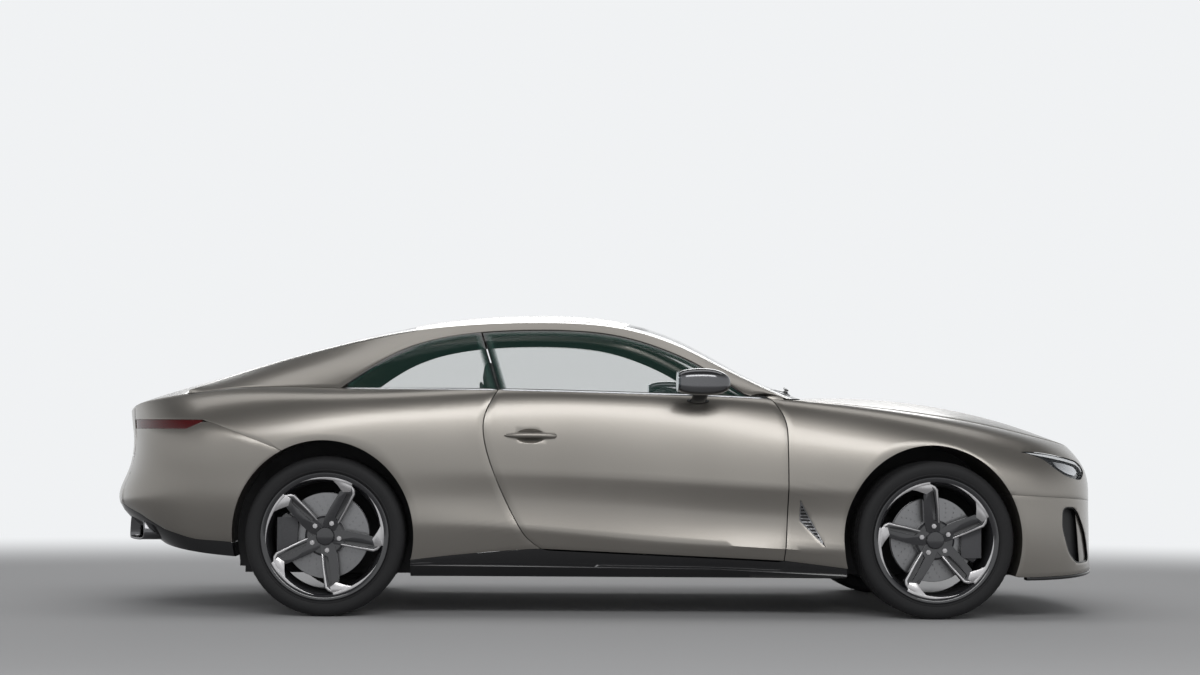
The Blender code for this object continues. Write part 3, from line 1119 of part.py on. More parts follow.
def make_structure():
    floor = block("floor_pan", (FLOOR_REAR_X, -FLOOR_HALF, FLOOR_Z), (FLOOR_FRONT_X, FLOOR_HALF, FLOOR_TOP))
    wells = []
    for axle, inner in ((FRONT_AXLE_X, FRONT_WELL_Y), (REAR_AXLE_X, REAR_WELL_Y)):
        wells += box_pair("well", (axle + ARCH_X_OFFSET - WELL_CLEAR, inner - 0.012, 0.1), (axle + ARCH_X_OFFSET + WELL_CLEAR, 1.0, 0.3))
    wells += box_pair("corner", (FRONT_AXLE_X + 0.4, 0.66, 0.1), (2.3, 1.0, 0.3))
    wells += box_pair("corner", (-2.3, 0.70, 0.1), (REAR_AXLE_X - 0.4, 1.0, 0.3))
    boolean(floor, wells)
    tunnel = block("tunnel", (-0.60, -TUNNEL_HALF, FLOOR_TOP - 0.01), (FIREWALL_X[0] - SEAT, TUNNEL_HALF, TUNNEL_TOP))
    joined("floor_pan", [floor, tunnel], "underbody")
    # Firewall with the posts that carry the doors and the bonnet
    low = FLOOR_TOP + SEAT
    parts = [block("firewall", (FIREWALL_X[0], -0.58, low), (FIREWALL_X[1], 0.58, 0.93))]
    parts += box_pair("side", (POST_X, 0.560, low), (FIREWALL_X[1], 0.600, 0.935))
    parts += box_pair("post", (POST_X, 0.590, low), (POST_X + 0.045, POST_Y, 0.915))
    for sign in (-1, 1):
        x, z = BONNET_HINGE
        y0, y1 = sorted((sign * (BONNET_HINGE_Y - SEAT), sign * (BONNET_HINGE_Y - LUG)))
        parts.append(block("lug", (x - BONNET_KNUCKLE, y0, 0.90), (x + BONNET_KNUCKLE, y1, z)))
        parts.append(rod("knuckle", (x, y0, z), (x, y1, z), BONNET_KNUCKLE))
        for zk in HINGE_Z:
            top, bottom = zk - SEAT / 2, zk - KNUCKLE_HEIGHT
            parts.append(rod("knuckle", (HINGE_X, sign * HINGE_Y, bottom), (HINGE_X, sign * HINGE_Y, top), KNUCKLE_RADIUS))
            ys = sorted((sign * 0.782, sign * HINGE_Y))
            parts.append(block("strap", (HINGE_X - 0.006, ys[0], bottom), (HINGE_X + 0.006, ys[1], top)))
            ys = sorted((sign * 0.775, sign * 0.789))
            parts.append(block("strap", (HINGE_X - 0.006, ys[0], bottom), (POST_X + 0.01, ys[1], top)))
    joined("firewall", parts, "underbody")
    # Rear bulkhead and shelf, with the boot's hinges
    parts = [
        block("bulkhead", (BULKHEAD_X[0], -BULKHEAD_HALF, low), (BULKHEAD_X[1], BULKHEAD_HALF, SHELF_Z[1])),
        block("shelf", (BOOT_HINGE[0] - 0.008, -0.56, SHELF_Z[0]), (BULKHEAD_X[1], 0.56, SHELF_Z[1])),
    ]
    for sign in (-1, 1):
        x, z = BOOT_HINGE
        y0, y1 = sorted((sign * (BOOT_HINGE_Y + SEAT), sign * (BOOT_HINGE_Y + LUG)))
        parts.append(block("lug", (x - 0.005, y0, SHELF_Z[0]), (x + 0.005, y1, z)))
        parts.append(rod("knuckle", (x, y0, z), (x, y1, z), BOOT_KNUCKLE))
    joined("bulkhead", parts, "underbody")
    block("engine", (1.09, -0.33, low + SUBFRAME_DEPTH + SEAT), (1.70, 0.33, 0.80), "engine_metal", CAR, bevel=0.02)


SEAT_PROFILE = (
    (0.12, 0.2105), (-0.34, 0.2105), (-0.40, 0.40), (-0.60, 0.98), (-0.640, 1.10), (-0.640, 1.200), (-0.600, 1.222),
    (-0.530, 1.205), (-0.515, 1.10), (-0.500, 1.02), (-0.440, 0.96), (-0.260, 0.54), (0.14, 0.565), (0.18, 0.53), (0.17, 0.44),
)
REAR_SEAT_PROFILE = (
    (-0.68, 0.2105), (-1.0497, 0.2105), (-1.0497, 0.960), (-1.00, 0.975), (-0.95, 0.93), (-0.86, 0.56), (-0.66, 0.58), (-0.64, 0.50),
)
DASH_PROFILE = ((1.0047, 0.62), (1.0047, 0.93), (0.92, 0.985), (0.70, 0.965), (0.585, 0.915), (0.575, 0.82), (0.66, 0.70))
SEAT_Y, SEAT_HALF = 0.400, 0.255
DRIVER_Y = -SEAT_Y
WHEEL_CENTRE = (0.42, DRIVER_Y, 0.925)
WHEEL_TILT = 24
HOOP_RADIUS, HOOP_TUBE = 0.178, 0.013


def make_cabin_fittings():
    for side, sign in SIDES:
        prism(f"seat_{side}", SEAT_PROFILE, sign * SEAT_Y - SEAT_HALF, sign * SEAT_Y + SEAT_HALF, CAR, "hide")
    prism("rear_seat", REAR_SEAT_PROFILE, -0.575, 0.575, CAR, "hide")
    dash = prism("dashboard", DASH_PROFILE, -0.555, 0.555, CUTTERS, "hide")
    s, v = np.meshgrid(SCREEN_S[:2], np.linspace(0, SCREEN_EDGE - PANEL_GAP / 0.62, 7)[:5], indexing="ij")
    under = canopy(s, v) - (GLASS + 3 * SEAT) * outward(canopy, s, v)
    drop = np.zeros_like(under)
    drop[..., 2] = 0.90 - under[..., 2]
    wedge = shell("cowl", [under], [drop], "hide", mirror=True)
    CAR.objects.unlink(wedge)
    CUTTERS.objects.link(wedge)
    joined("dashboard", [dash, wedge], "hide")
    tilt = Matrix.Rotation(math.radians(90 + WHEEL_TILT), 4, "Y")
    place = Matrix.Translation(WHEEL_CENTRE) @ tilt
    bpy.ops.mesh.primitive_torus_add(
        major_radius=HOOP_RADIUS, minor_radius=HOOP_TUBE, major_segments=18, minor_segments=6, align="WORLD", location=(0, 0, 0)
    )
    hoop = bpy.context.object
    for home in list(hoop.users_collection):
        home.objects.unlink(hoop)
    CUTTERS.objects.link(hoop)
    hoop.data.materials.append(MATERIALS["hide"])
    pieces = [hoop]
    for angle in (7, 127, 247):
        a = math.radians(angle + 180)
        c, s = math.cos(a), math.sin(a)
        pieces.append(rod("spoke", (0.02 * c, 0.02 * s, 0.006), (HOOP_RADIUS * c, HOOP_RADIUS * s, 0.001), 0.0085, 6))
    pieces.append(rod("boss", (0, 0, -0.012), (0, 0, 0.05), 0.045, 10))
    wheel = joined("steering_wheel", pieces, "hide")
    wheel.data.transform(place)
    axis = tilt @ Vector((0, 0, 1))
    start = Vector(WHEEL_CENTRE) + axis * (0.05 + SEAT)
    column = rod("column", start, start + axis * 0.20, 0.028, 10)
    dash = bpy.data.objects["dashboard"]
    boolean(dash, [column], "UNION")


# Wheels and what carries them

DISC_RADIUS = 0.200
RIM_WALL = 0.010
WHEEL_SIDES = 24
HUB_RADIUS = 0.078
FLANGE_T = 0.145  # from the wheel's face to the knuckle
KINGPIN_T = 0.180
ARM_Z = (0.172, 0.200)
UPPER_Z = (0.545, 0.565)
WALL = 0.018  # the wheelhouse's inner wall
WALL_LAP = 0.020


def rim_profile(width):
    """(distance in from the face, radius) round the barrel's section."""
    bore = RIM_SEAT_RADIUS - RIM_WALL
    lip = ((0.004, RIM_RADIUS), (0.012, RIM_RADIUS), (0.016, RIM_SEAT_RADIUS))
    back = tuple((width - t, r) for t, r in lip[::-1])
    return ((0.004, RIM_RADIUS - RIM_WALL), *lip, *back, (width - 0.020, bore), (0.020, bore))


def tyre_profile(width):
    seat = RIM_SEAT_RADIUS + SEAT
    half = (
        (0.0163 + SEAT, seat), (0.0124 + SEAT, RIM_RADIUS + 0.0012),
        (0.0, 0.335), (0.026, TYRE_RADIUS),
    )
    other = tuple((width - t, r) for t, r in half[::-1])
    return half + other


SPOKE_OUTLINE = (  # one spoke seen from the right: x, z from the wheel's centre, out along its lower blade and back
    (0.000, -0.045), (0.067, -0.001), (0.208, 0.063), (0.228, 0.083), (0.243, 0.104), (0.228, 0.135), (0.199, 0.175),
    (0.184, 0.190), (0.188, 0.122), (0.178, 0.122), (0.107, 0.093), (0.074, 0.081), (0.045, 0.055),
)
SPOKE_POCKET = ((0.086, 0.020), (0.100, 0.050), (0.182, 0.105), (0.200, 0.074), (0.140, 0.046))
SPOKE_T = (0.012, 0.050)  # front and back, in from the wheel's face
POCKET_T = 0.030
REAR_WHEEL_TURN = 39  # the rear wheel stands this far round from the front one


def make_wheel(end, side, sign, axle_x, width):
    centre = (axle_x, 0, TYRE_RADIUS)
    face = TYRE_FACE_Y
    to_y = lambda t: sign * (face - t)
    tyre = turned(f"tyre_{end}_{side}", [(to_y(t), r) for t, r in tyre_profile(width)], centre, WHEEL_SIDES, "rubber", CAR)
    barrel = turned("barrel", [(to_y(t), r) for t, r in rim_profile(width)], centre, WHEEL_SIDES, "dark_alloy")
    at = lambda t: (axle_x, to_y(t), TYRE_RADIUS)
    parts = [barrel, rod("hub", at(0.016), at(FLANGE_T), HUB_RADIUS, 12), rod("disc", at(0.100), at(0.132), DISC_RADIUS, 16)]
    for k in range(SPOKES):
        turn = math.radians(360 / SPOKES * k + (REAR_WHEEL_TURN if end == "rear" else 0))
        c, s = math.cos(turn), math.sin(turn)
        placed = lambda points: [(axle_x + x * c - z * s, TYRE_RADIUS + x * s + z * c) for x, z in points]
        low, high = sorted((to_y(SPOKE_T[0]), to_y(SPOKE_T[1])))
        spoke = prism("spoke", placed(SPOKE_OUTLINE), low, high)
        low, high = sorted((to_y(-0.05), to_y(POCKET_T)))
        parts.append(boolean(spoke, [prism("pocket", placed(SPOKE_POCKET), low, high)]))
    joined(f"rim_{end}_{side}", parts, "dark_alloy")
    # Knuckle: flange, upright and the caliper over the disc
    inner = FLANGE_T + SEAT
    way = 1 if end == "front" else -1
    parts = [
        rod("flange", at(inner), at(inner + 0.02), 0.062, 12),
        block("upright", *corners((axle_x - 0.045, to_y(inner + 0.012), ARM_Z[1] + SEAT), (axle_x + 0.045, to_y(inner + 0.058), UPPER_Z[0] - SEAT))),
        block("bracket", *corners((axle_x, to_y(inner + 0.012), TYRE_RADIUS - 0.05), (axle_x + way * 0.19, to_y(inner + 0.04), TYRE_RADIUS + 0.05))),
        block("pad_in", *corners((axle_x + way * 0.115, to_y(0.138), TYRE_RADIUS - 0.085), (axle_x + way * 0.200, to_y(inner + 0.03), TYRE_RADIUS + 0.085))),
        block("pad_out", *corners((axle_x + way * 0.130, to_y(0.066), TYRE_RADIUS - 0.085), (axle_x + way * 0.200, to_y(0.092), TYRE_RADIUS + 0.085))),
        block("bridge", *corners((axle_x + way * 0.2085, to_y(0.066), TYRE_RADIUS - 0.085), (axle_x + way * 0.2250, to_y(inner + 0.03), TYRE_RADIUS + 0.085))),
        block("tie_in", *corners((axle_x + way * 0.195, to_y(0.138), TYRE_RADIUS - 0.085), (axle_x + way * 0.215, to_y(inner + 0.03), TYRE_RADIUS + 0.085))),
        block("tie_out", *corners((axle_x + way * 0.195, to_y(0.066), TYRE_RADIUS - 0.085), (axle_x + way * 0.215, to_y(0.092), TYRE_RADIUS + 0.085))),
    ]
    joined(f"knuckle_{end}_{side}", parts, "cast_iron")


def corners(a, b):
    return tuple(min(p, q) for p, q in zip(a, b)), tuple(max(p, q) for p, q in zip(a, b))


def make_running_gear():
    for end, axle_x, width, well in (
        ("front", FRONT_AXLE_X, FRONT_TYRE_WIDTH, FRONT_WELL_Y), ("rear", REAR_AXLE_X, REAR_TYRE_WIDTH, REAR_WELL_Y)
    ):
        pin_y = TYRE_FACE_Y - KINGPIN_T
        tower_y = well - 0.09
        low = FLOOR_TOP + SEAT
        parts = [block(f"subframe_{end}", (axle_x - 0.10, -tower_y, low), (axle_x + 0.10, tower_y, low + SUBFRAME_DEPTH))]
        angle = np.radians(np.linspace(-17, 197, 15))
        wall_x = axle_x + ARCH_X_OFFSET + (ARCH_HALF_WIDTH + WALL_LAP) * np.cos(angle)
        wall_z = TYRE_RADIUS + (ARCH_HEIGHT + WALL_LAP) * np.sin(angle)
        wall = [(wall_x[0], low), *zip(wall_x, wall_z), (wall_x[-1], low)]
        for side, sign in SIDES:
            make_wheel(end, side, sign, axle_x, width)
            y = sorted((sign * (well - WALL), sign * (well - SEAT)))
            parts.append(prism("wall", wall, y[0], y[1]))
            y = sorted((sign * (tower_y - 0.035), sign * tower_y))
            parts.append(block("tower", (axle_x - 0.04, y[0], low), (axle_x + 0.04, y[1], UPPER_Z[1])))
            y = sorted((sign * (well - 0.006), sign * pin_y))
            parts.append(block("arm", (axle_x - 0.025, y[0], ARM_Z[0]), (axle_x + 0.025, y[1], ARM_Z[1])))
            y = sorted((sign * (tower_y - 0.01), sign * (well + 0.02)))
            parts.append(block("drop", (axle_x - 0.025, y[0], low), (axle_x + 0.025, y[1], low + 0.03)))
            y = sorted((sign * (well + 0.0), sign * (well + 0.02)))
            parts.append(block("drop", (axle_x - 0.025, y[0], ARM_Z[0]), (axle_x + 0.025, y[1], low + 0.03)))
            parts.append(rod("seat", (axle_x, sign * pin_y, ARM_Z[0]), (axle_x, sign * pin_y, ARM_Z[1]), 0.03))
            y = sorted((sign * (tower_y - 0.01), sign * pin_y))
            parts.append(block("arm", (axle_x - 0.02, y[0], UPPER_Z[0]), (axle_x + 0.02, y[1], UPPER_Z[1])))
            parts.append(rod("seat", (axle_x, sign * pin_y, UPPER_Z[0]), (axle_x, sign * pin_y, UPPER_Z[1]), 0.024))
        joined(f"subframe_{end}", parts, "underbody")


def make_mirrors():
    """Mirror: a rounded head on a stem whose foot lies on the door's shoulder."""
    pairs = rectangle(np.linspace(0.355, 0.445, 4), (np.full(4, 0.50), np.full(4, 0.85), 4))
    base, move = skin(pairs, 1.0)
    base = base - move * SEAT * 2
    for side, sign in SIDES:
        foot = shell("foot", [base - move * 0.012], [move * 0.012], "gloss_black", side=sign)
        CAR.objects.unlink(foot)
        CUTTERS.objects.link(foot)
        middle = base.mean((0, 1)) * np.array([1, sign, 1])
        stem = rod("stem", middle + np.array([0, sign * 0.008, 0.004]), (0.405, sign * 1.000, 1.060), 0.016, 12, end_radius=0.020)
        low, high = corners((0.285, sign * 0.955, 1.035), (0.535, sign * 1.120, 1.163))
        head = block("head", low, high, bevel=0.0)
        work = bmesh.new()
        work.from_mesh(head.data)
        bmesh.ops.bevel(work, geom=work.edges, offset=0.045, segments=2, affect="EDGES", profile=0.5)
        for vert in work.verts:
            reach = (vert.co.x - 0.285) / 0.25
            vert.co.z = 1.099 + (vert.co.z - 1.099) * (1 - 0.35 * reach**2)
        work.to_mesh(head.data)
        work.free()
        joined(f"mirror_{side}", [foot, stem, head], "gloss_black")


def hang(names, x, y, z):
    """Puts the origin of each piece on its joint's axis."""
    for name in names:
        obj = bpy.data.objects[name]
        obj.data.transform(Matrix.Translation((-x, -y, -z)))
        obj.location = (x, y, z)


def hang_moving_pieces():
    for side, sign in SIDES:
        door = [f"{name}_{side}" for name in ("door", "door_glass", "mirror", "handle")]
        hang(door, HINGE_X, sign * HINGE_Y, sum(HINGE_Z) / 2)
        hang([f"knuckle_front_{side}"], FRONT_AXLE_X, sign * (TYRE_FACE_Y - KINGPIN_T), TYRE_RADIUS)
        for end, axle_x, width in (("front", FRONT_AXLE_X, FRONT_TYRE_WIDTH), ("rear", REAR_AXLE_X, REAR_TYRE_WIDTH)):
            hang([f"tyre_{end}_{side}", f"rim_{end}_{side}"], axle_x, sign * (TYRE_FACE_Y - width / 2), TYRE_RADIUS)
    hang(["bonnet"], BONNET_HINGE[0], 0, BONNET_HINGE[1])
    hang(["boot_lid"], BOOT_HINGE[0], 0, BOOT_HINGE[1])
    hang(["steering_wheel"], *WHEEL_CENTRE)


make_canopy()
make_cabin_sides()
make_doors()
make_front()
make_bonnet()
make_boot()
make_rear()
make_sills()
make_structure()
make_cabin_fittings()
make_running_gear()
make_mirrors()
hang_moving_pieces()
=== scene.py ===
"""A two-door grand touring coupe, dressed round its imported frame: metres, +X forward, +Y left, +Z up."""

import math

import bmesh
import bpy
import numpy as np
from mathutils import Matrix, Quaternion, Vector


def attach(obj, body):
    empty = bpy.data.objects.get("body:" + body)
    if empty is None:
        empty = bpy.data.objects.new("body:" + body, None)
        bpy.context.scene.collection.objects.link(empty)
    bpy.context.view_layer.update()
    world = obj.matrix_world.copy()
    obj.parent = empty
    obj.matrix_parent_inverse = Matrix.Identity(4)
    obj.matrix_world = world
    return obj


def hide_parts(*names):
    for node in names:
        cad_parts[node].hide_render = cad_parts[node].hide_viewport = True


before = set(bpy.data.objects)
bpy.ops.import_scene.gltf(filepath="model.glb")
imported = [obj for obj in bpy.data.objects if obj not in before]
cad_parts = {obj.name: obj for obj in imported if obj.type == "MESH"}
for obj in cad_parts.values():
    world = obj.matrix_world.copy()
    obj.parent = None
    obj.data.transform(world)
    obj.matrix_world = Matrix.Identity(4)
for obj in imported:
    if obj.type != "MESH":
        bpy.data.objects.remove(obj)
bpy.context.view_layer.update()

# Camera
# The picture was taken from the car's right, 0.83 m above the floor and about 9.4 m from its side,
# with a long lens turned a little forward and tilted up.
SENSOR_WIDTH = 36.0
FOCAL_SHARE = 2011 / 1200  # focal length over the picture's width
VIEW_FROM = (-0.456, -10.335, 0.826)
VIEW_YAW, VIEW_PITCH, VIEW_ROLL = 0.0417, 0.0509, math.radians(0.5)

lens = bpy.data.cameras.new("camera")
lens.sensor_width = SENSOR_WIDTH
lens.lens = SENSOR_WIDTH * FOCAL_SHARE
camera = bpy.data.objects.new("camera", lens)
bpy.context.scene.collection.objects.link(camera)
camera.location = VIEW_FROM
ahead = Vector((math.sin(VIEW_YAW), math.cos(VIEW_YAW), math.tan(VIEW_PITCH)))
camera.rotation_mode = "QUATERNION"
camera.rotation_quaternion = ahead.to_track_quat("-Z", "Y") @ Quaternion((0, 0, 1), VIEW_ROLL)
bpy.context.scene.camera = camera

# Floor and light
# A wide pale floor that fades into the bright surround well away from the car, and soft boxes above the roof and
# beside the car.
FLOOR_HALF_LENGTH, FADE_NEAR, FADE_FAR, FADE_SQUEEZE = 60.0, 3.2, 7.0, (0.62, 1.0, 0.0)
FLOOR_DARK, FLOOR_LIGHT, WHITE = (0.42, 0.42, 0.425, 1), (0.47, 0.47, 0.475, 1), (0.97, 0.985, 1.0, 1)
PALE, OVERHEAD, BRIGHT_BELOW, DIM_ABOVE = 0.9, 0.16, 0.22, 0.7  # strengths, and the heights where the sky turns


def grid_mesh(name, points, closed_u=False, closed_v=False):
    """A mesh from an array of points: rows along u, columns along v, joined round where u or v is closed."""
    rows, columns = points.shape[:2]
    i = np.arange(rows if closed_u else rows - 1)
    j = np.arange(columns if closed_v else columns - 1)
    i, j = (part.ravel() for part in np.meshgrid(i, j, indexing="ij"))
    a, b = i * columns + j, ((i + 1) % rows) * columns + j
    c, d = ((i + 1) % rows) * columns + (j + 1) % columns, i * columns + (j + 1) % columns
    mesh = bpy.data.meshes.new(name)
    mesh.from_pydata(points.reshape(-1, 3).tolist(), [], np.stack([a, b, c, d], 1).tolist())
    return mesh


def new_object(name, mesh, *finishes):
    """Links a mesh into the scene with its materials."""
    made = bpy.data.objects.new(name, mesh)
    bpy.context.scene.collection.objects.link(made)
    for finish in finishes:
        mesh.materials.append(finish)
    return made


def wired(tree):
    """Two functions for a node tree. feed sets a node: values in order go to its inputs by number, and values by name
    to its own settings or else to its inputs. A socket among the values is linked. add makes a node and feeds it."""

    def feed(node, *values, **named):
        for key, value in [*enumerate(values), *named.items()]:
            if isinstance(key, str) and hasattr(node, key):
                setattr(node, key, value)
                continue
            socket = node.inputs[key if isinstance(key, int) else key.replace("_", " ")]
            if isinstance(value, bpy.types.NodeSocket):
                tree.links.new(value, socket)
            else:
                socket.default_value = value
        return node

    return feed, lambda kind, *values, **named: feed(tree.nodes.new(kind), *values, **named)


def new_material(name):
    """A material with its Principled shader, and the two functions for its node tree."""
    made = bpy.data.materials.new(name)
    made.use_nodes = True
    return made, made.node_tree.nodes["Principled BSDF"], *wired(made.node_tree)


def blend(add, low, high, share):
    """The output of a mix of two colours by a share. Each is three numbers or a socket."""
    ends = [end if isinstance(end, bpy.types.NodeSocket) else (*end[:3], 1) for end in (low, high)]
    return add("ShaderNodeMix", data_type="RGBA", A=ends[0], B=ends[1], Factor=share).outputs["Result"]


def sums(add, operation, *values):
    """The output of a sum with numbers."""
    return add("ShaderNodeMath", *values, operation=operation).outputs["Value"]


def spread(add, value, low, high, **named):
    """The output of a value from 0 to 1, or between other named ends, spread over a range."""
    return add("ShaderNodeMapRange", Value=value, To_Min=low, To_Max=high, **named).outputs["Result"]


stage_paint, shader, feed, add = new_material("stage_paint")
speckle = add("ShaderNodeTexNoise", Scale=3.0, Detail=4.0).outputs["Fac"]
feed(shader, Base_Color=blend(add, FLOOR_DARK, FLOOR_LIGHT, speckle), Roughness=0.9, Specular_IOR_Level=0.1)
# Away from the car the floor gives way to the surround's own white, for the eye and for reflections
place = add("ShaderNodeTexCoord").outputs["Object"]
squeeze = add("ShaderNodeVectorMath", place, FADE_SQUEEZE, operation="MULTIPLY").outputs["Vector"]
reach = add("ShaderNodeVectorMath", squeeze, operation="LENGTH").outputs["Value"]
fade = spread(add, reach, 0.0, 1.0, interpolation_type="SMOOTHSTEP", From_Min=FADE_NEAR, From_Max=FADE_FAR)
rays = add("ShaderNodeLightPath").outputs
any_ray = sums(add, "MAXIMUM", rays["Is Camera Ray"], rays["Is Glossy Ray"])
any_ray = sums(add, "MAXIMUM", any_ray, rays["Is Transmission Ray"])
glow = add("ShaderNodeEmission", Color=WHITE, Strength=PALE).outputs["Emission"]
both_floors = add("ShaderNodeMixShader", sums(add, "MULTIPLY", any_ray, fade), shader.outputs["BSDF"], glow)
feed(stage_paint.node_tree.nodes["Material Output"], Surface=both_floors.outputs["Shader"])
edge = np.array([-FLOOR_HALF_LENGTH, FLOOR_HALF_LENGTH])
floor_x, floor_y = np.meshgrid(edge, edge, indexing="ij")
stage = new_object("stage", grid_mesh("stage", np.stack([floor_x, floor_y, 0 * floor_x], -1)), stage_paint)

world = bpy.data.worlds.new("surround")
bpy.context.scene.world = world
world.use_nodes = True
feed, add = wired(world.node_tree)
# The surround that lights the car is bright at the horizon and dimmer overhead
sky = add("ShaderNodeSeparateXYZ", add("ShaderNodeTexCoord").outputs["Generated"]).outputs["Z"]
fall = spread(add, sky, PALE, OVERHEAD, From_Min=BRIGHT_BELOW, From_Max=DIM_ABOVE)
rays = add("ShaderNodeLightPath").outputs
seen = sums(add, "MAXIMUM", rays["Is Camera Ray"], rays["Is Transmission Ray"])
feed(world.node_tree.nodes["Background"], Color=WHITE, Strength=spread(add, seen, fall, PALE))


def soft_box(name, place, towards, width, height, power):
    """A rectangular area lamp at a place, turned towards a point."""
    data = bpy.data.lights.new(name, "AREA")
    data.shape = "RECTANGLE"
    data.size, data.size_y, data.energy = width, height, power
    lamp = bpy.data.objects.new(name, data)
    bpy.context.scene.collection.objects.link(lamp)
    lamp.location = place
    lamp.rotation_euler = (Vector(towards) - Vector(place)).to_track_quat("-Z", "Y").to_euler()


soft_box("overhead", (0.0, 0.0, 5.6), (0.0, 0.0, 0.0), 9.0, 2.4, 90)
soft_box("right_side", (0.4, -7.0, 4.2), (0.0, 0.0, 0.7), 8.0, 1.4, 200)
soft_box("left_side", (0.0, 7.0, 4.2), (0.0, 0.0, 0.7), 8.0, 1.4, 160)
bpy.context.scene.view_settings.view_transform = "Standard"


# Body surface
# The outer panels are pressed aluminium and moulded plastic, all patches of one shape: a loft through seven level
# lines that run from the tail round the side to the nose. They are sprayed together in a satin warm grey metallic.
HALF_LENGTH = 2.412
WHEELBASE = 2.851
FRONT_AXLE_X = 1.52
REAR_AXLE_X = FRONT_AXLE_X - WHEELBASE
TYRE_RADIUS = 0.37
TYRE_FACE_Y = 0.966  # outer sidewall
FRONT_TYRE_WIDTH = 0.275
REAR_TYRE_WIDTH = 0.315
RIM_RADIUS = 0.2945  # outer edge of the rim's lip
RIM_SEAT_RADIUS = 0.272
PANEL_GAP = 0.0009  # between panels that don't move
DOOR_GAP = 0.005  # round doors and lids
SEAT = 0.0003  # face to face contact
SKIN = 0.006  # outer panels
LID_DEPTH = 0.016
ARCH_X_OFFSET = -0.012  # the arch stands a little behind the axle
ARCH_HALF_WIDTH = 0.42
ARCH_HEIGHT = 0.444

NOSE_CORNER_X = 1.95  # the plan starts to turn across the car here
TAIL_CORNER_X = -1.85
CORNER_POWER = 2.6
CORNER_RUN = 1.1  # how much of the lengthwise parameter a corner takes

# Level lines, top to bottom: waist, shoulder, flank, fold, tuck, crease and hem
FOLD, CREASE, HEM = 3, 5, 6
# x of each station, then the half widths and the heights of its seven level lines
STATIONS = (
    (-2.3, (0.77, 0.86, 0.91, 0.905, 0.895, 0.87, 0.82), (0.95, 0.885, 0.79, 0.66, 0.53, 0.42, 0.35)),
    (TAIL_CORNER_X, (0.768, 0.862, 0.945, 0.952, 0.945, 0.92, 0.88), (1.05, 0.985, 0.84, 0.66, 0.53, 0.4, 0.28)),
    (REAR_AXLE_X, (0.8, 0.922, 0.98, 0.983, 0.978, 0.965, 0.93), (1.062, 1.0, 0.83, 0.66, 0.53, 0.4, 0.26)),
    (-0.75, (0.855, 0.912, 0.946, 0.95, 0.938, 0.945, 0.905), (1.06, 1.0, 0.84, 0.665, 0.54, 0.425, 0.262)),
    (0.1, (0.868, 0.904, 0.935, 0.945, 0.924, 0.944, 0.9), (1.048, 0.99, 0.82, 0.64, 0.51, 0.362, 0.252)),
    (0.85, (0.828, 0.887, 0.938, 0.955, 0.925, 0.95, 0.91), (1.024, 0.965, 0.79, 0.6, 0.47, 0.325, 0.235)),
    (FRONT_AXLE_X, (0.735, 0.872, 0.958, 0.971, 0.968, 0.965, 0.95), (0.962, 0.915, 0.75, 0.575, 0.45, 0.31, 0.21)),
    (NOSE_CORNER_X, (0.67, 0.828, 0.932, 0.953, 0.955, 0.95, 0.94), (0.886, 0.835, 0.69, 0.54, 0.43, 0.3, 0.2)),
    (2.3, (0.64, 0.77, 0.88, 0.91, 0.925, 0.93, 0.93), (0.795, 0.745, 0.65, 0.53, 0.43, 0.31, 0.215)),
)
NOSE_X = (2.345, 2.393, HALF_LENGTH, 2.41, 2.408, 2.408, HALF_LENGTH)
TAIL_X = (-2.368, -2.352, -2.34, -2.366, -HALF_LENGTH, -2.335, -2.19)
# How crisp the fold and the crease are along the car: full on the doors, nothing over the rear wheel.
CRISP = ((-1.6, 0.0), (-0.95, 0.25), (-0.5, 1.0), (1.05, 1.0), (1.5, 0.0), (2.4, 0.0))
# Centre line of the bonnet, windscreen, roof, rear window and boot
CENTRE = (
    (-2.4, 0.905), (-2.28, 0.992), (-2.146, 1.048), (-1.82, 1.15), (-1.34, 1.296), (-0.8, 1.416),
    (-0.35, 1.452), (0.08, 1.424), (0.41, 1.318), (0.74, 1.14), (1.0, 1.036),
)
BONNET_CENTRE = ((0.8, 1.03), (1.1, 1.046), (1.4, 1.04), (1.8, 0.985), (2.1, 0.902), (2.3, 0.812), (2.42, 0.74))


def spline(knots, values):
    """Natural cubic spline through the knots, straight beyond its ends. Returns a function of an array."""
    x = np.asarray(knots, float)
    y = np.asarray(values, float)
    y = y.reshape(len(x), -1)
    h = np.diff(x)
    n = len(x)
    matrix = np.eye(n)
    right = np.zeros_like(y)
    for i in range(1, n - 1):
        matrix[i, i - 1 : i + 2] = h[i - 1], 2 * (h[i - 1] + h[i]), h[i]
        right[i] = 6 * ((y[i + 1] - y[i]) / h[i] - (y[i] - y[i - 1]) / h[i - 1])
    bend = np.linalg.solve(matrix, right)

    def value(at):
        at = np.asarray(at, float)
        flat = at.ravel()
        inside = np.clip(flat, x[0], x[-1])
        i = np.clip(np.searchsorted(x, inside) - 1, 0, n - 2)
        a = ((x[i + 1] - inside) / h[i])[:, None]
        b = 1 - a
        hh = (h[i] ** 2)[:, None] / 6
        out = a * y[i] + b * y[i + 1] + ((a**3 - a) * bend[i] + (b**3 - b) * bend[i + 1]) * hh
        first = (y[1] - y[0]) / h[0] - h[0] * bend[1] / 6
        last = (y[-1] - y[-2]) / h[-1] + h[-1] * bend[-2] / 6
        beyond = flat - inside
        out = out + np.where(beyond < 0, beyond, 0)[:, None] * first + np.where(beyond > 0, beyond, 0)[:, None] * last
        return out.reshape(at.shape + (y.shape[1],))

    return value


def curve_of(table, column=1):
    """A spline of one column of a table whose first column is where."""
    made = spline([row[0] for row in table], [row[column] for row in table])
    return lambda at: made(at)[..., 0]


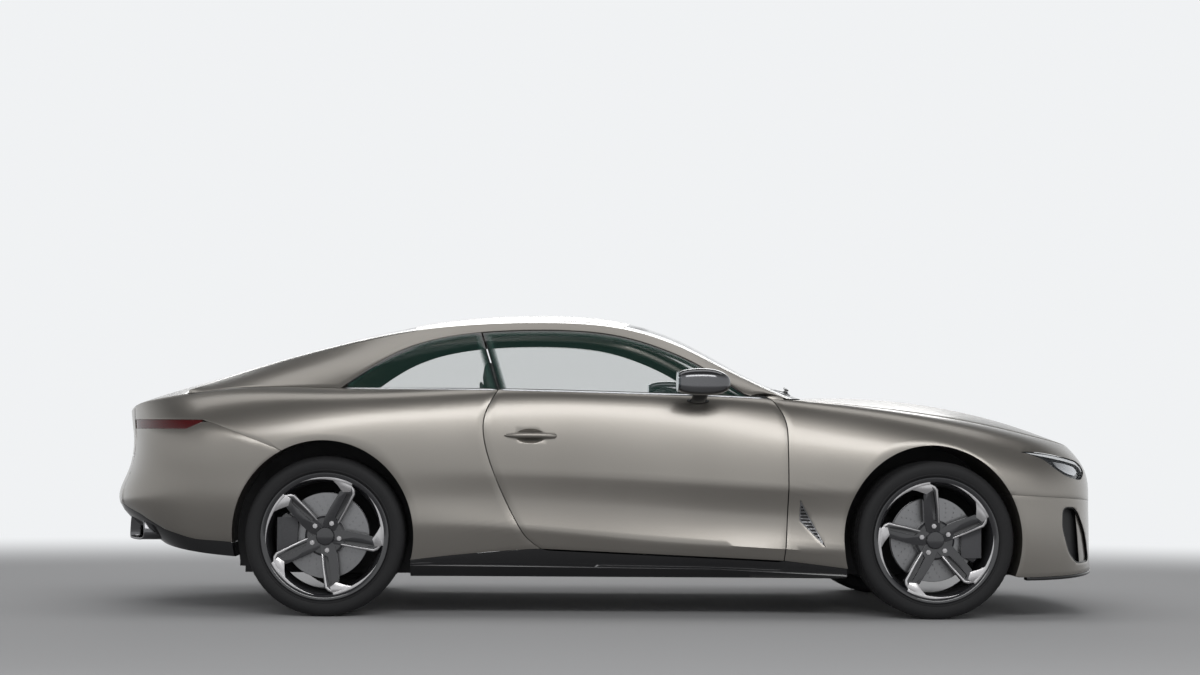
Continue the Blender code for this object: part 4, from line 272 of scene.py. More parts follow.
station_x = [row[0] for row in STATIONS]
half_widths = spline(station_x, [row[1] for row in STATIONS])
heights = spline(station_x, [row[2] for row in STATIONS])
crispness = lambda x: np.interp(x, [c[0] for c in CRISP], [c[1] for c in CRISP])
centre_z = curve_of(CENTRE)
bonnet_z = curve_of(BONNET_CENTRE)

smooth_basis = spline(range(7), np.eye(7))
upper_basis = spline(range(FOLD + 1), np.eye(FOLD + 1))
lower_basis = spline(range(FOLD, CREASE + 1), np.eye(CREASE - FOLD + 1))


def crisp_basis(level):
    """Weights of the level lines where the fold and the crease are sharp: a spline above, one between, a straight hem."""
    weights = np.zeros(level.shape + (7,))
    weights[..., : FOLD + 1] = np.where((level <= FOLD)[..., None], upper_basis(np.minimum(level, FOLD)), 0)
    middle = (level > FOLD) & (level <= CREASE)
    weights[..., FOLD : CREASE + 1] += np.where(middle[..., None], lower_basis(np.clip(level, FOLD, CREASE)), 0)
    low = level > CREASE
    weights[..., CREASE] += np.where(low, HEM - level, 0)
    weights[..., HEM] += np.where(low, level - CREASE, 0)
    return weights


def top_z(x, y):
    """Height of the bonnet and boot: from the waist line's height at the edge up to the centre line, as a flat arch."""
    x = np.asarray(x, float)
    front = x > 0
    edge_y = half_widths(x)[..., 0]
    edge_z = heights(x)[..., 0]
    middle = np.where(front, bonnet_z(x), centre_z(x))
    share = np.clip(np.abs(y) / edge_y, 0, 1)
    return edge_z + (middle - edge_z) * (1 - share**2.4)


def corner(along, ends, start):
    """Plan of a corner as a quarter of a superellipse. Returns x at each level and the share of the half width left."""
    angle = np.clip(np.abs(along - start) / CORNER_RUN, 0, 1) * math.pi / 2
    forward = np.sin(angle) ** (2 / CORNER_POWER)
    across = np.cos(angle) ** (2 / CORNER_POWER)
    return start + (np.asarray(ends) - start) * forward[..., None], across


def level_lines(along):
    """x, y and z of the seven level lines at each along: the side's splines, turned in round the corners."""
    along = np.asarray(along, float)
    nose_x, nose_share = corner(along, NOSE_X, NOSE_CORNER_X)
    tail_x, tail_share = corner(along, TAIL_X, TAIL_CORNER_X)
    front, rear = along > NOSE_CORNER_X, along < TAIL_CORNER_X
    x = np.where(front[..., None], nose_x, np.where(rear[..., None], tail_x, along[..., None]))
    share = np.where(front, nose_share, np.where(rear, tail_share, 1.0))
    y = np.stack([half_widths(x[..., k])[..., k] for k in range(7)], -1) * share[..., None]
    z = np.stack([heights(x[..., k])[..., k] for k in range(7)], -1)
    z[..., 0] = top_z(x[..., 0], y[..., 0])
    return x, y, z


def level_weights(along, level):
    """Weights of the seven lines at a level: a smooth spline, or the crisp one where the fold is sharp."""
    weights = smooth_basis(level)
    crisp = crispness(along)[..., None]
    return weights + crisp * (crisp_basis(level) - weights)


def body(along, level):
    """The lower body's surface. along is x on the side and runs on round the corners, level is 0 at the waist and 6 at
    the hem. Each point is the sum of the seven lines' points times their weights."""
    along, level = np.broadcast_arrays(np.asarray(along, float), np.asarray(level, float))
    weights = level_weights(along, level)
    return np.stack([(weights * line).sum(-1) for line in level_lines(along)], -1)


def tail_along(x):
    """The lengthwise parameter at which the waist line has this x, behind the tail's corner too."""
    x = np.asarray(x, float)
    share = np.clip((TAIL_CORNER_X - x) / (TAIL_CORNER_X - TAIL_X[0]), 0, 1)
    turn = np.arcsin(share ** (CORNER_POWER / 2)) / (math.pi / 2)
    return np.where(x < TAIL_CORNER_X, TAIL_CORNER_X - CORNER_RUN * turn, x)


def level_at(along, z):
    """The level at which the body's surface has this height, by halving."""
    along, z = np.broadcast_arrays(np.asarray(along, float), np.asarray(z, float))
    lines_z = level_lines(along)[2]
    low = np.zeros_like(along)
    high = np.full_like(along, HEM)
    for _ in range(26):
        middle = (low + high) / 2
        above = (level_weights(along, middle) * lines_z).sum(-1) > z
        low = np.where(above, middle, low)
        high = np.where(above, high, middle)
    return (low + high) / 2


def coons(first, last, start, end, fade=1):
    """Fills four border lines with a grid. first and last run the same way, start joins their starts, end their ends.

    fade is how quickly the shapes of start and end die away into the grid.
    """
    u = np.linspace(0, 1, len(first))[:, None, None]
    v = np.linspace(0, 1, len(start))[None, :, None]
    ruled = (1 - v) * first[:, None] + v * last[:, None]
    start_bow = start[None] - (1 - v) * start[0] - v * start[-1]
    end_bow = end[None] - (1 - v) * end[0] - v * end[-1]
    return ruled + (1 - u) ** fade * start_bow + u**fade * end_bow


def at_height(along, z):
    """(along, level) pairs of the body's points at these heights."""
    along, z = np.broadcast_arrays(along, z)
    return np.stack([along, level_at(along, z)], -1)


def straight(first, last, count):
    """Points on a straight line between two points of a plane."""
    return np.stack([np.linspace(a, b, count) for a, b in zip(first, last)], 1)


def arch_line(axle_x, first, last, count):
    """The wheel arch's edge as (along, level) points. Angles in degrees from straight ahead, over the top."""
    angle = np.radians(np.linspace(first, last, count))
    x = axle_x + ARCH_X_OFFSET + ARCH_HALF_WIDTH * np.cos(angle)
    return at_height(x, TYRE_RADIUS + ARCH_HEIGHT * np.sin(angle))


def on_body(pairs):
    return body(pairs[..., 0], pairs[..., 1])


def outward(surface, a, b, step=1e-3):
    """Unit normals of a surface at parameter points, pointing out of the car's left side."""
    cross = np.cross(surface(a + step, b) - surface(a - step, b), surface(a, b + step) - surface(a, b - step))
    cross /= np.maximum(np.linalg.norm(cross, axis=-1, keepdims=True), 1e-12)
    points = surface(a, b)
    core = points * np.array([1, 0, 0])
    core[..., 0] = np.clip(core[..., 0], TAIL_CORNER_X, NOSE_CORNER_X)
    core[..., 2] = 0.6
    sign = np.sign((cross * (points - core)).sum(-1, keepdims=True))
    return cross * np.where(sign == 0, 1, sign)


def skin(pairs, depth):
    """Points on the body and the way in to the panel's inner face."""
    return on_body(pairs), -depth * outward(body, pairs[..., 0], pairs[..., 1])


FINE = 3  # cells of the dressed panels to one cell of the plain ones
PRESSED_EDGE = 0.0012  # radius of a pressed panel's edge
CREASE_ANGLE = math.radians(32)


def fine(count):
    """How many grid lines stand for so many plain ones."""
    return (count - 1) * FINE + 1


def outline_prism(outline, low, high, across):
    """A solid cutter: an outline in the plane across an axis, pulled along the axis. across is 0, 1 or 2."""
    outline = np.asarray(outline, float)
    count = len(outline)
    order = {0: (1, 2, 0), 1: (0, 2, 1), 2: (0, 1, 2)}[across]
    points = np.zeros((2 * count, 3))
    points[:count, order[0]] = points[count:, order[0]] = outline[:, 0]
    points[:count, order[1]] = points[count:, order[1]] = outline[:, 1]
    points[:count, order[2]], points[count:, order[2]] = low, high
    i = np.arange(count)
    j = (i + 1) % count
    faces = [list(range(count))[::-1], list(range(count, 2 * count))]
    faces += np.stack([i, j, j + count, i + count], 1).tolist()
    mesh = bpy.data.meshes.new("cutter")
    mesh.from_pydata(points.tolist(), [], faces)
    work = bmesh.new()
    work.from_mesh(mesh)
    bmesh.ops.recalc_face_normals(work, faces=work.faces)
    work.to_mesh(mesh)
    work.free()
    return mesh


def settled(mesh, cutters=(), operation="DIFFERENCE", bevel=0.0, segments=2, smooth_angle=CREASE_ANGLE):
    """A mesh after its cuts and its rounded edges are applied, shaded smooth between its sharp edges."""
    holder = new_object("work", mesh)
    tools = []
    for cutter in cutters:
        tool = new_object("tool", cutter)
        tools.append(tool)
        cut = holder.modifiers.new("cut", "BOOLEAN")
        cut.operation, cut.solver, cut.object = operation, "EXACT", tool
    if bevel:
        edge = holder.modifiers.new("edge", "BEVEL")
        edge.width, edge.segments, edge.limit_method = bevel, segments, "ANGLE"
        edge.angle_limit = math.radians(50)
        edge.use_clamp_overlap = True
    made = bpy.data.meshes.new_from_object(holder.evaluated_get(bpy.context.evaluated_depsgraph_get()))
    for thing in [holder, *tools]:
        used = thing.data
        bpy.data.objects.remove(thing)
        bpy.data.meshes.remove(used)
    made.shade_smooth()
    made.set_sharp_from_angle(angle=smooth_angle)
    made.materials.clear()
    return made


def shell_mesh(grids, ways_in, mirror=False, side=1):
    """A closed skin. The cells of the grids are its outer face, the same cells moved along the ways in are its inner
    face, and walls stand on the free edges. mirror adds the half across the car, side -1 gives the right-hand piece."""
    points = np.concatenate([grid.reshape(-1, 3) for grid in grids])
    ways = np.concatenate([way.reshape(-1, 3) for way in ways_in])
    cells, start = [], 0
    for grid in grids:
        rows, columns = grid.shape[:2]
        i, j = (k.ravel() for k in np.meshgrid(np.arange(rows - 1), np.arange(columns - 1), indexing="ij"))
        a = start + i * columns + j
        cells.append(np.stack([a, a + 1, a + columns + 1, a + columns], 1))
        start += rows * columns
    cells = np.concatenate(cells)
    if mirror:
        ways[np.abs(points[:, 1]) < 1e-6, 1] = 0
        cells = np.concatenate([cells, cells[:, ::-1] + len(points)])
        flip = np.array([1, -1, 1])
        points, ways = np.concatenate([points, points * flip]), np.concatenate([ways, ways * flip])
    flip = np.array([1, side, 1])
    points, ways = points * flip, ways * flip
    _, first, place = np.unique(np.round(points, 5), axis=0, return_index=True, return_inverse=True)
    points, ways = points[first], ways[first]
    count = len(points)
    # Loose triangles at the poles: a cell whose neighbours fall together keeps three corners
    cells = [list(dict.fromkeys(cell)) for cell in place.ravel()[cells].tolist()]
    cells = [cell for cell in cells if len(cell) > 2]
    edges = np.array([(cell[k - 1], cell[k]) for cell in cells for k in range(len(cell))])
    key = np.sort(edges, axis=1) @ np.array([count, 1])
    keys, uses = np.unique(key, return_counts=True)
    free = edges[np.isin(key, keys[uses == 1])]
    walls = np.stack([free[:, 1], free[:, 0], free[:, 0] + count, free[:, 1] + count], 1)
    faces = cells + [[k + count for k in cell[::-1]] for cell in cells] + walls.tolist()
    mesh = bpy.data.meshes.new("shell")
    mesh.from_pydata(np.concatenate([points, points + ways]).tolist(), [], faces)
    work = bmesh.new()
    work.from_mesh(mesh)
    bmesh.ops.remove_doubles(work, verts=work.verts, dist=1e-6)
    bmesh.ops.recalc_face_normals(work, faces=work.faces)
    if work.calc_volume(signed=True) < 0:
        bmesh.ops.reverse_faces(work, faces=work.faces)
    work.to_mesh(mesh)
    work.free()
    return mesh


def piece(name, mesh, finish, slot, rides="root", *replaced):
    """Puts a finished mesh into the scene as a piece on a body, in place of the plain nodes it stands for."""
    mesh.name = name
    made = new_object(name, mesh, finish)
    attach(made, rides)
    for node_name in replaced:
        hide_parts(node_name)
    return made


def rectangle(along, levels):
    """(along, level) pairs between a first and a last level at each along."""
    share = np.linspace(0, 1, levels[2])
    grid = levels[0][:, None] + (levels[1] - levels[0])[:, None] * share[None]
    return np.stack([np.broadcast_to(along[:, None], grid.shape), grid], -1)


def fan(arch, border, count):
    """Pairs between a wheel arch and a border with as many points, by straight lines."""
    share = np.linspace(0, 1, count)[None, :, None]
    return arch[:, None] * (1 - share) + border[:, None] * share


def arched(pairs, arch, axle_x, inner_y, depth):
    """A panel round a wheel arch with the wheelhouse's roof, whose edge is the panel's own edge pulled inboard."""
    grid, way = skin(pairs, depth)
    edge, edge_way = skin(arch, depth)
    radial = np.stack([edge[:, 0] - axle_x - ARCH_X_OFFSET, np.zeros(len(edge)), edge[:, 2] - TYRE_RADIUS], 1)
    radial *= depth / np.linalg.norm(radial, axis=1, keepdims=True)
    inside = edge.copy()
    inside[:, 1] = inner_y
    return [np.stack([edge, inside], 1), grid], [np.stack([edge_way + radial, radial], 1), way]


def grown(outline, by):
    """An outline moved outwards by a distance, with its corners mitred."""
    points = np.asarray(outline, float)
    before = points - np.roll(points, 1, axis=0)
    after = np.roll(points, -1, axis=0) - points
    turn = np.sign(np.sum(points[:, 0] * np.roll(points[:, 1], -1) - points[:, 1] * np.roll(points[:, 0], -1)))
    normals = []
    for way in (before, after):
        way = way / np.linalg.norm(way, axis=1, keepdims=True)
        normals.append(np.stack([way[:, 1], -way[:, 0]], 1) * turn)
    mitre = normals[0] + normals[1]
    return points + by * 2 * mitre / np.sum(mitre**2, axis=1, keepdims=True)


def rounded(outline, count=6, share=0.22):
    """An outline whose corners are cut back by a share of their sides and bent round on a parabola."""
    points = np.asarray(outline, float)
    before, after = np.roll(points, 1, axis=0), np.roll(points, -1, axis=0)
    start, end = points + (before - points) * share, points + (after - points) * share
    t = np.linspace(0, 1, count)[None, :, None]
    bend = (1 - t) ** 2 * start[:, None] + 2 * t * (1 - t) * points[:, None] + t**2 * end[:, None]
    return bend.reshape(-1, 2)


# The paint's own look: fine metallic flake under a satin lacquer
def noise_group():
    """Flake and film: outputs a fleck mask, a slow cloud mask and a fine bump normal from object coordinates."""
    tree = bpy.data.node_groups.new("flake", "ShaderNodeTree")
    for socket, value in (("Fleck Scale", 2600), ("Cloud Scale", 1.6), ("Depth", 0.02)):
        tree.interface.new_socket(socket, in_out="INPUT", socket_type="NodeSocketFloat").default_value = value
    for socket, kind in (("Fleck", "Float"), ("Cloud", "Float"), ("Normal", "Vector")):
        tree.interface.new_socket(socket, in_out="OUTPUT", socket_type=f"NodeSocket{kind}")
    feed, add = wired(tree)
    given, where = add("NodeGroupInput").outputs, add("ShaderNodeTexCoord").outputs["Object"]
    fleck = add("ShaderNodeTexVoronoi", Vector=where, Scale=given["Fleck Scale"])
    cloud = add("ShaderNodeTexNoise", Vector=where, Scale=given["Cloud Scale"])
    grain = add("ShaderNodeTexNoise", Vector=where, Scale=given["Fleck Scale"], Detail=1.0)
    bump = add("ShaderNodeBump", Strength=given["Depth"], Distance=0.0004, Height=grain.outputs["Fac"])
    add(
        "NodeGroupOutput", Fleck=fleck.outputs["Distance"], Cloud=cloud.outputs["Fac"],
        Normal=bump.outputs["Normal"]
    )
    return tree


FLAKE = noise_group()


def mottled(name, low, high, rough, fleck=2600.0, cloud=1.6, depth=0.02, **fixed):
    """A finish whose colour moves between two shades with the cloud and fleck masks and whose roughness follows the
    cloud. fixed gives the shader's constant inputs."""
    made, shader, feed, add = new_material(name)
    grain = add("ShaderNodeGroup", node_tree=FLAKE, Fleck_Scale=fleck, Cloud_Scale=cloud, Depth=depth).outputs
    colour = blend(add, low, high, sums(add, "MULTIPLY_ADD", grain["Fleck"], 0.5, grain["Cloud"]))
    roughness = spread(add, grain["Cloud"], *rough)
    feed(shader, Base_Color=colour, Roughness=roughness, Normal=grain["Normal"], **fixed)
    return made


satin_paint = mottled(
    "satin_paint", (0.2, 0.186, 0.166), (0.285, 0.267, 0.242), (0.29, 0.36),
    Metallic=0.85, Coat_Weight=0.5, Coat_Roughness=0.14,
)
gloss_black = mottled(
    "gloss_black", (0.006, 0.006, 0.007), (0.012, 0.012, 0.013), (0.1, 0.18), fleck=900.0, depth=0.01
)
matt_black = mottled("matt_black", (0.01, 0.01, 0.011), (0.02, 0.02, 0.021), (0.55, 0.75), fleck=700.0, depth=0.12)


# Cabin shell
# Roof skin, both screens, the painted frames over the doors and the side glass. The frames are one welded arch
# from the windscreen's foot to the tail on each side, and the glass is bonded in with a dark printed border.
GLASS, PILLAR = 0.005, 0.034  # thickness of the glass and depth of the frames
# Edge between the roof and the side of the cabin: x, half width, height
RAIL = (
    (-2.02, 0.758, 1.036), (-1.9, 0.66, 1.086), (-1.7, 0.585, 1.158), (-1.34, 0.56, 1.262), (-0.95, 0.6, 1.345),
    (-0.6, 0.628, 1.38), (-0.25, 0.64, 1.388), (0.06, 0.652, 1.362), (0.3, 0.682, 1.29), (0.55, 0.735, 1.165),
    (0.84, 0.829, 1.025),
)
# Upper edge of the side glass
GLASS_TOP = (
    (-1.28, 1.062), (-1.16, 1.152), (-1.02, 1.238), (-0.8, 1.311), (-0.58, 1.342), (-0.37, 1.352),
    (-0.15, 1.349), (0.06, 1.322), (0.27, 1.256), (0.41, 1.192), (0.53, 1.118), (0.655, 1.032),
)
CABIN_REAR_X, CABIN_FRONT_X = RAIL[0][0], RAIL[-1][0]
TUMBLE_BULGE = 0.02
BELT_INSET = 0.003  # the glass stands inside the waist line
BELT_GAP = 0.009  # from the waist line up to the cabin's frame
B_POST = ((1.04, -0.53), (1.36, -0.628))  # height, x of the gap between the side windows

rail_y = curve_of(RAIL, 1)
rail_z = curve_of(RAIL, 2)
glass_top_z = curve_of(GLASS_TOP)
SWEEP = (
    (-2.02, 0.1), (-1.9, 0.085), (-1.34, 0.03), (-0.95, 0.0), (-0.35, 0.0), (0.06, 0.07), (0.3, 0.11), (0.84, 0.16)
)
sweep_x = curve_of(SWEEP)


def canopy(s, v):
    """Roof and both screens. s is the rail's x, v is 0 on the centre line and 1 on the rail."""
    s, v = np.broadcast_arrays(np.asarray(s, float), np.asarray(v, float))
    middle = s + sweep_x(s)
    x = s + sweep_x(s) * (1 - v**2)
    z = rail_z(s) + (centre_z(middle) - rail_z(s)) * (1 - np.abs(v) ** 2.2)
    return np.stack([x, rail_y(s) * v, z], -1)


def cabin(x, t):
    """Side of the cabin. t is 0 on the rail and 1 on the waist line."""
    x, t = np.broadcast_arrays(np.asarray(x, float), np.asarray(t, float))
    belt = body(tail_along(x), 0.0)
    belt_y = belt[..., 1] - BELT_INSET
    belt_z = belt[..., 2]
    y = rail_y(x) + (belt_y - rail_y(x)) * t
    z = rail_z(x) + (belt_z - rail_z(x)) * t
    swell = TUMBLE_BULGE * np.sin(math.pi * np.clip(t, 0, 1)) * np.clip((rail_z(x) - belt_z) / 0.2, 0, 1)
    return np.stack([x, y + swell * 0.8, z + swell * 0.45], -1)


def cabin_t(x, z):
    """t at which the side of the cabin has this height, by halving."""
    x, z = np.broadcast_arrays(np.asarray(x, float), np.asarray(z, float))
    low, high = np.zeros_like(x), np.ones_like(x)
    for _ in range(30):
        middle = (low + high) / 2
        above = cabin(x, middle)[..., 2] > z
        low, high = np.where(above, middle, low), np.where(above, high, middle)
    return (low + high) / 2


SCREEN_EDGE = 0.915
ROOF_FRONT_S, ROOF_REAR_S = 0.06, -0.95
SCREEN_BASE_S, BACKLIGHT_BASE_S = 0.832, -1.9
# The printed border: how far in it reaches at the screens' roof, foot and sides, at the posts and along the top
PRINT_FADE, PRINT_SIDE, POST_PRINT, TOP_PRINT, POST_HALF = 0.008, 0.84, 0.022, 0.016, 0.004
SCREEN_S = np.linspace(SCREEN_BASE_S, ROOF_FRONT_S, fine(7))
ROOF_S = np.linspace(ROOF_FRONT_S, ROOF_REAR_S, fine(8))
BACKLIGHT_S = np.linspace(ROOF_REAR_S, BACKLIGHT_BASE_S, fine(8))
BORDER_BLACK = (0.006, 0.006, 0.007)


def tinted_glass(name, tint, clear):
    """Tinted glass that lets light through, with a dark printed border where the masked attribute says so."""
    made, shader, feed, add = new_material(name)
    film = add("ShaderNodeGroup", node_tree=FLAKE, Cloud_Scale=1.1).outputs["Cloud"]
    mask = add("ShaderNodeAttribute", attribute_name="border").outputs["Fac"]
    colour = blend(add, blend(add, [c * 0.85 for c in tint], tint, film), BORDER_BLACK, mask)
    feed(shader, Base_Color=colour, Alpha=spread(add, mask, clear, 1.0), Roughness=0.02, IOR=1.5)
    feed(shader, Specular_IOR_Level=0.6, Coat_Weight=0.3)
    return made


screen_glass = tinted_glass("screen_glass", (0.03, 0.045, 0.04), 0.22)
side_glass = tinted_glass("side_glass", (0.04, 0.12, 0.095), 0.115)


def mark_border(mesh, share):
    """Writes how far each point is into the printed border, from 0 to 1."""
    layer = mesh.attributes.new("border", "FLOAT", "POINT")
    layer.data.foreach_set("value", np.asarray(share, np.float32).ravel())


def points_of(mesh):
    """All points of a mesh as rows of x, y, z."""
    flat = np.empty(3 * len(mesh.vertices))
    mesh.vertices.foreach_get("co", flat)
    return flat.reshape(-1, 3)


edge_v = SCREEN_EDGE - PANEL_GAP / 0.62
canopy_v = np.linspace(0, edge_v, fine(7))
for name, samples, front_gap, rear_gap, depth, slot, paint in (
    ("windscreen", SCREEN_S, 0, PANEL_GAP / 2, GLASS, "tinted_glass", screen_glass),
    ("roof_panel", ROOF_S, PANEL_GAP / 2, PANEL_GAP / 2, SKIN, "satin_paint", satin_paint),
    ("rear_window", BACKLIGHT_S, PANEL_GAP / 2, 0, GLASS, "tinted_glass", screen_glass),
):
    samples = samples.copy()
    samples[0] -= front_gap
    samples[-1] += rear_gap
    s, v = np.meshgrid(samples, canopy_v, indexing="ij")
    mesh = settled(shell_mesh([canopy(s, v)], [-depth * outward(canopy, s, v)], mirror=True), bevel=0.001)
    if slot == "tinted_glass":
        place = points_of(mesh)
        rail = rail_y(np.clip(place[:, 0], CABIN_REAR_X, CABIN_FRONT_X))
        side_share = np.abs(place[:, 1]) / np.maximum(rail, 0.1)
        ends = (ROOF_FRONT_S + 0.045, SCREEN_BASE_S - 0.03) if name == "windscreen" else (
            BACKLIGHT_BASE_S + 0.1, ROOF_REAR_S - 0.05
        )
        lengthwise = place[:, 0] - sweep_x(place[:, 0]) * (1 - np.minimum(side_share, 1) ** 2)
        out = np.maximum(side_share - PRINT_SIDE, 0) / 0.012 + np.maximum(ends[0] - lengthwise, 0) / PRINT_FADE
        mark_border(mesh, np.clip(out + np.maximum(lengthwise - ends[1], 0) / PRINT_FADE, 0, 1))
    piece(f"{name}_skin" if slot == "satin_paint" else f"{name}_pane", mesh, paint, slot, "root", name)

GLASS_FRONT_X, GLASS_REAR_X = GLASS_TOP[-1][0], GLASS_TOP[0][0]
FRAME_REAR_X = -2.0
QUARTER_TOP_LEVEL = 0.05
DOOR_TOP_LEVEL = 0.03
GLASS_SEAT = 0.0006
SIDES = (("right", -1), ("left", 1))
rail_s = np.concatenate([SCREEN_S, ROOF_S[1:], BACKLIGHT_S[1:], np.linspace(BACKLIGHT_BASE_S, FRAME_REAR_X, 5)[1:]])
# Each point of the rail has its partner on the glass's edge, then on the waist line
frame_edge_x = np.interp(
    rail_s,
    (FRAME_REAR_X, BACKLIGHT_S[fine(5) - 1], ROOF_REAR_S, -0.35, 0.1, 0.4, SCREEN_BASE_S),
    (FRAME_REAR_X, GLASS_REAR_X, ROOF_REAR_S, -0.35, 0.1, 0.36, GLASS_FRONT_X),
)
seat_z = np.where(
    frame_edge_x > 0,
    heights(frame_edge_x)[..., 0] + BELT_GAP,
    body(tail_along(frame_edge_x), QUARTER_TOP_LEVEL)[..., 2] + PANEL_GAP,
)
edge_z = np.where(frame_edge_x > GLASS_REAR_X, np.maximum(glass_top_z(frame_edge_x), seat_z), seat_z)
share = np.linspace(0, 1, fine(5))
x = rail_s[:, None] + (frame_edge_x - rail_s)[:, None] * share
t = cabin_t(frame_edge_x, edge_z)[:, None] * share
side_grid = cabin(x, t)
depth = PILLAR * np.interp(rail_s, (FRAME_REAR_X, -1.6), (0.25, 1.0))[:, None, None]
side_way = -depth * outward(cabin, x, t)
s, v = np.meshgrid(rail_s, np.linspace(SCREEN_EDGE, 1.0, 7), indexing="ij")
top_grid = canopy(s, v)
top_way = -depth * outward(canopy, s, v)
ridge = top_way[:, -1] + side_way[:, 0]
ridge *= depth[:, 0] / np.linalg.norm(ridge, axis=-1, keepdims=True)
top_way[:, -1] = side_way[:, 0] = ridge
bottom = side_grid[:, -1, 2] < seat_z + 1e-4
side_way[bottom, -1, 2] = np.maximum(side_way[bottom, -1, 2], 0)
room = seat_z[:, None] - side_grid[:, 1:-1, 2]
side_way[:, 1:-1, 2] = np.maximum(side_way[:, 1:-1, 2], room + 0.0001 * np.arange(len(share) - 2, 0, -1))
glass_edge = side_grid[::-1, -1]
for side, sign in SIDES:
    mesh = settled(shell_mesh([top_grid, side_grid], [top_way, side_way], side=sign), bevel=PRESSED_EDGE)
    piece(f"frame_skin_{side}", mesh, satin_paint, "satin_paint", "root", f"frame_{side}")


def side_pane(first, last, count, clear, level):
    """Points of a side window: rows along the car, columns from its upper edge down to the belt."""
    share_x, share_z = np.meshgrid(np.linspace(0, 1, count), np.linspace(0, 1, fine(6)), indexing="ij")
    at = np.zeros_like(share_x)
    for _ in range(8):
        low = body(at, level)[..., 2] + 0.0009
        line = glass_top_z(at) if first is None else np.interp(at, glass_edge[:, 0], glass_edge[:, 2])
        top = np.maximum(line - clear, low + 0.004)
        z = top + (low - top) * share_z
        post = np.interp(z, [p[0] for p in B_POST], [p[1] for p in B_POST])
        a = post + POST_HALF if first is None else first
        b = post - POST_HALF if last is None else last
        at = a + (b - a) * share_x
    return at, cabin_t(at, z), share_x, share_z


for side, sign in SIDES:
    for name, first, last, count, clear, level, rides in (
        ("door_glass", None, GLASS_FRONT_X - 0.02, fine(11), DOOR_GAP, DOOR_TOP_LEVEL, f"door_{side}_body"),
        ("quarter_glass", GLASS_REAR_X + 0.03, None, fine(7), GLASS_SEAT, QUARTER_TOP_LEVEL, "root"),
    ):
        at, t, share_x, share_z = side_pane(first, last, count, clear, level)
        points = cabin(at, t)
        way = -GLASS * outward(cabin, at, t)
        room = points[:, -1:, 2] - points[..., 2] + 0.00005 * np.arange(points.shape[1])[::-1]
        way[..., 2] = np.maximum(way[..., 2], np.minimum(room, 0))
        mesh = settled(shell_mesh([points], [way], side=sign), bevel=0.0008)
        place = points_of(mesh)
        post_x = np.interp(place[:, 2], [p[0] for p in B_POST], [p[1] for p in B_POST])
        below = glass_top_z(place[:, 0]) - place[:, 2]
        printed = np.clip((POST_PRINT - np.abs(place[:, 0] - post_x)) / 0.002, 0, 1)
        printed = np.maximum(printed, np.clip((TOP_PRINT - below) / 0.002, 0, 1))
        mark_border(mesh, printed)
        piece(f"{name}_pane_{side}", mesh, side_glass, "tinted_glass", rides, f"{name}_{side}")


# Doors
# Long frameless doors: an aluminium skin folded round a pressed inner panel, each hung on two hinges at its front edge.
DOOR_REAR = (  # height, x of the door's rear edge
    (0.3, -0.3), (0.345, -0.372), (0.416, -0.432), (0.573, -0.513), (0.698, -0.565), (0.822, -0.6), (0.906, -0.605),
    (0.978, -0.584), (1.07, -0.53),
)
DOOR_FRONT = (
    (0.24, 0.806), (0.392, 0.819), (0.642, 0.826), (0.831, 0.825), (0.919, 0.817), (0.989, 0.783), (1.06, 0.722)
)
DOOR_SILL = ((-0.4, 0.318), (0.5, 0.28), (0.9, 0.262))
door_rear_x = curve_of(DOOR_REAR)
door_front_x = curve_of(DOOR_FRONT)
door_sill_z = curve_of(DOOR_SILL)
DOOR_ROWS = 13


def door_grid(count_x, count_z):
    """The door's outline as (along, level) points, from its rear edge to its front edge and from belt to sill."""
    grid = np.zeros((count_x, count_z, 2))
    for i, share in enumerate(np.linspace(0, 1, count_x)):
        x = np.full(count_z, (1 - share) * -0.5 + share * 0.8)
        for _ in range(10):
            low = level_at(x[-1], door_sill_z(x[-1]) + DOOR_GAP / 2)
            levels = np.linspace(DOOR_TOP_LEVEL, float(low), count_z)
            z = body(x, levels)[..., 2]
            x = (1 - share) * (door_rear_x(z) + DOOR_GAP / 2) + share * (door_front_x(z) - DOOR_GAP / 2)
        grid[i, :, 0] = x
        grid[i, :, 1] = levels
    return grid


door_pairs = door_grid(40, fine(DOOR_ROWS))
DOOR_DEPTH, DOOR_CARD_Y, DOOR_HEEL = 0.055, 0.812, 0.014
HINGE_Y, HINGE_Z, HINGE_X_SPAN, HINGE_HALF = 0.918, (0.345, 0.74), (0.723, 0.871), 0.032
HANDLE_X, HANDLE_Z, HANDLE_HALF = (-0.507, -0.262), 0.843, 0.013
POCKET_SIZE = np.array([0.075, 0.03, 0.037])


def ball(centre, size, rows=16, columns=32):
    """A closed ellipsoid: latitude along u, longitude along v, each axis scaled by its own half size."""
    latitude, longitude = np.meshgrid(
        np.linspace(-np.pi / 2, np.pi / 2, rows), np.linspace(0, 2 * np.pi, columns + 1)[:-1], indexing="ij"
    )
    unit = np.stack(
        [np.cos(latitude) * np.cos(longitude), np.cos(latitude) * np.sin(longitude), np.sin(latitude)], -1
    )
    return welded(grid_mesh("ball", np.asarray(centre) + unit * size, closed_v=True))


def welded(mesh, distance=1e-6):
    """A mesh with its doubled points merged, its open poles closed and its faces turned outwards."""
    work = bmesh.new()
    work.from_mesh(mesh)
    bmesh.ops.remove_doubles(work, verts=work.verts, dist=distance)
    bmesh.ops.dissolve_degenerate(work, edges=work.edges, dist=distance)
    bmesh.ops.recalc_face_normals(work, faces=work.faces)
    work.to_mesh(mesh)
    work.free()
    return mesh


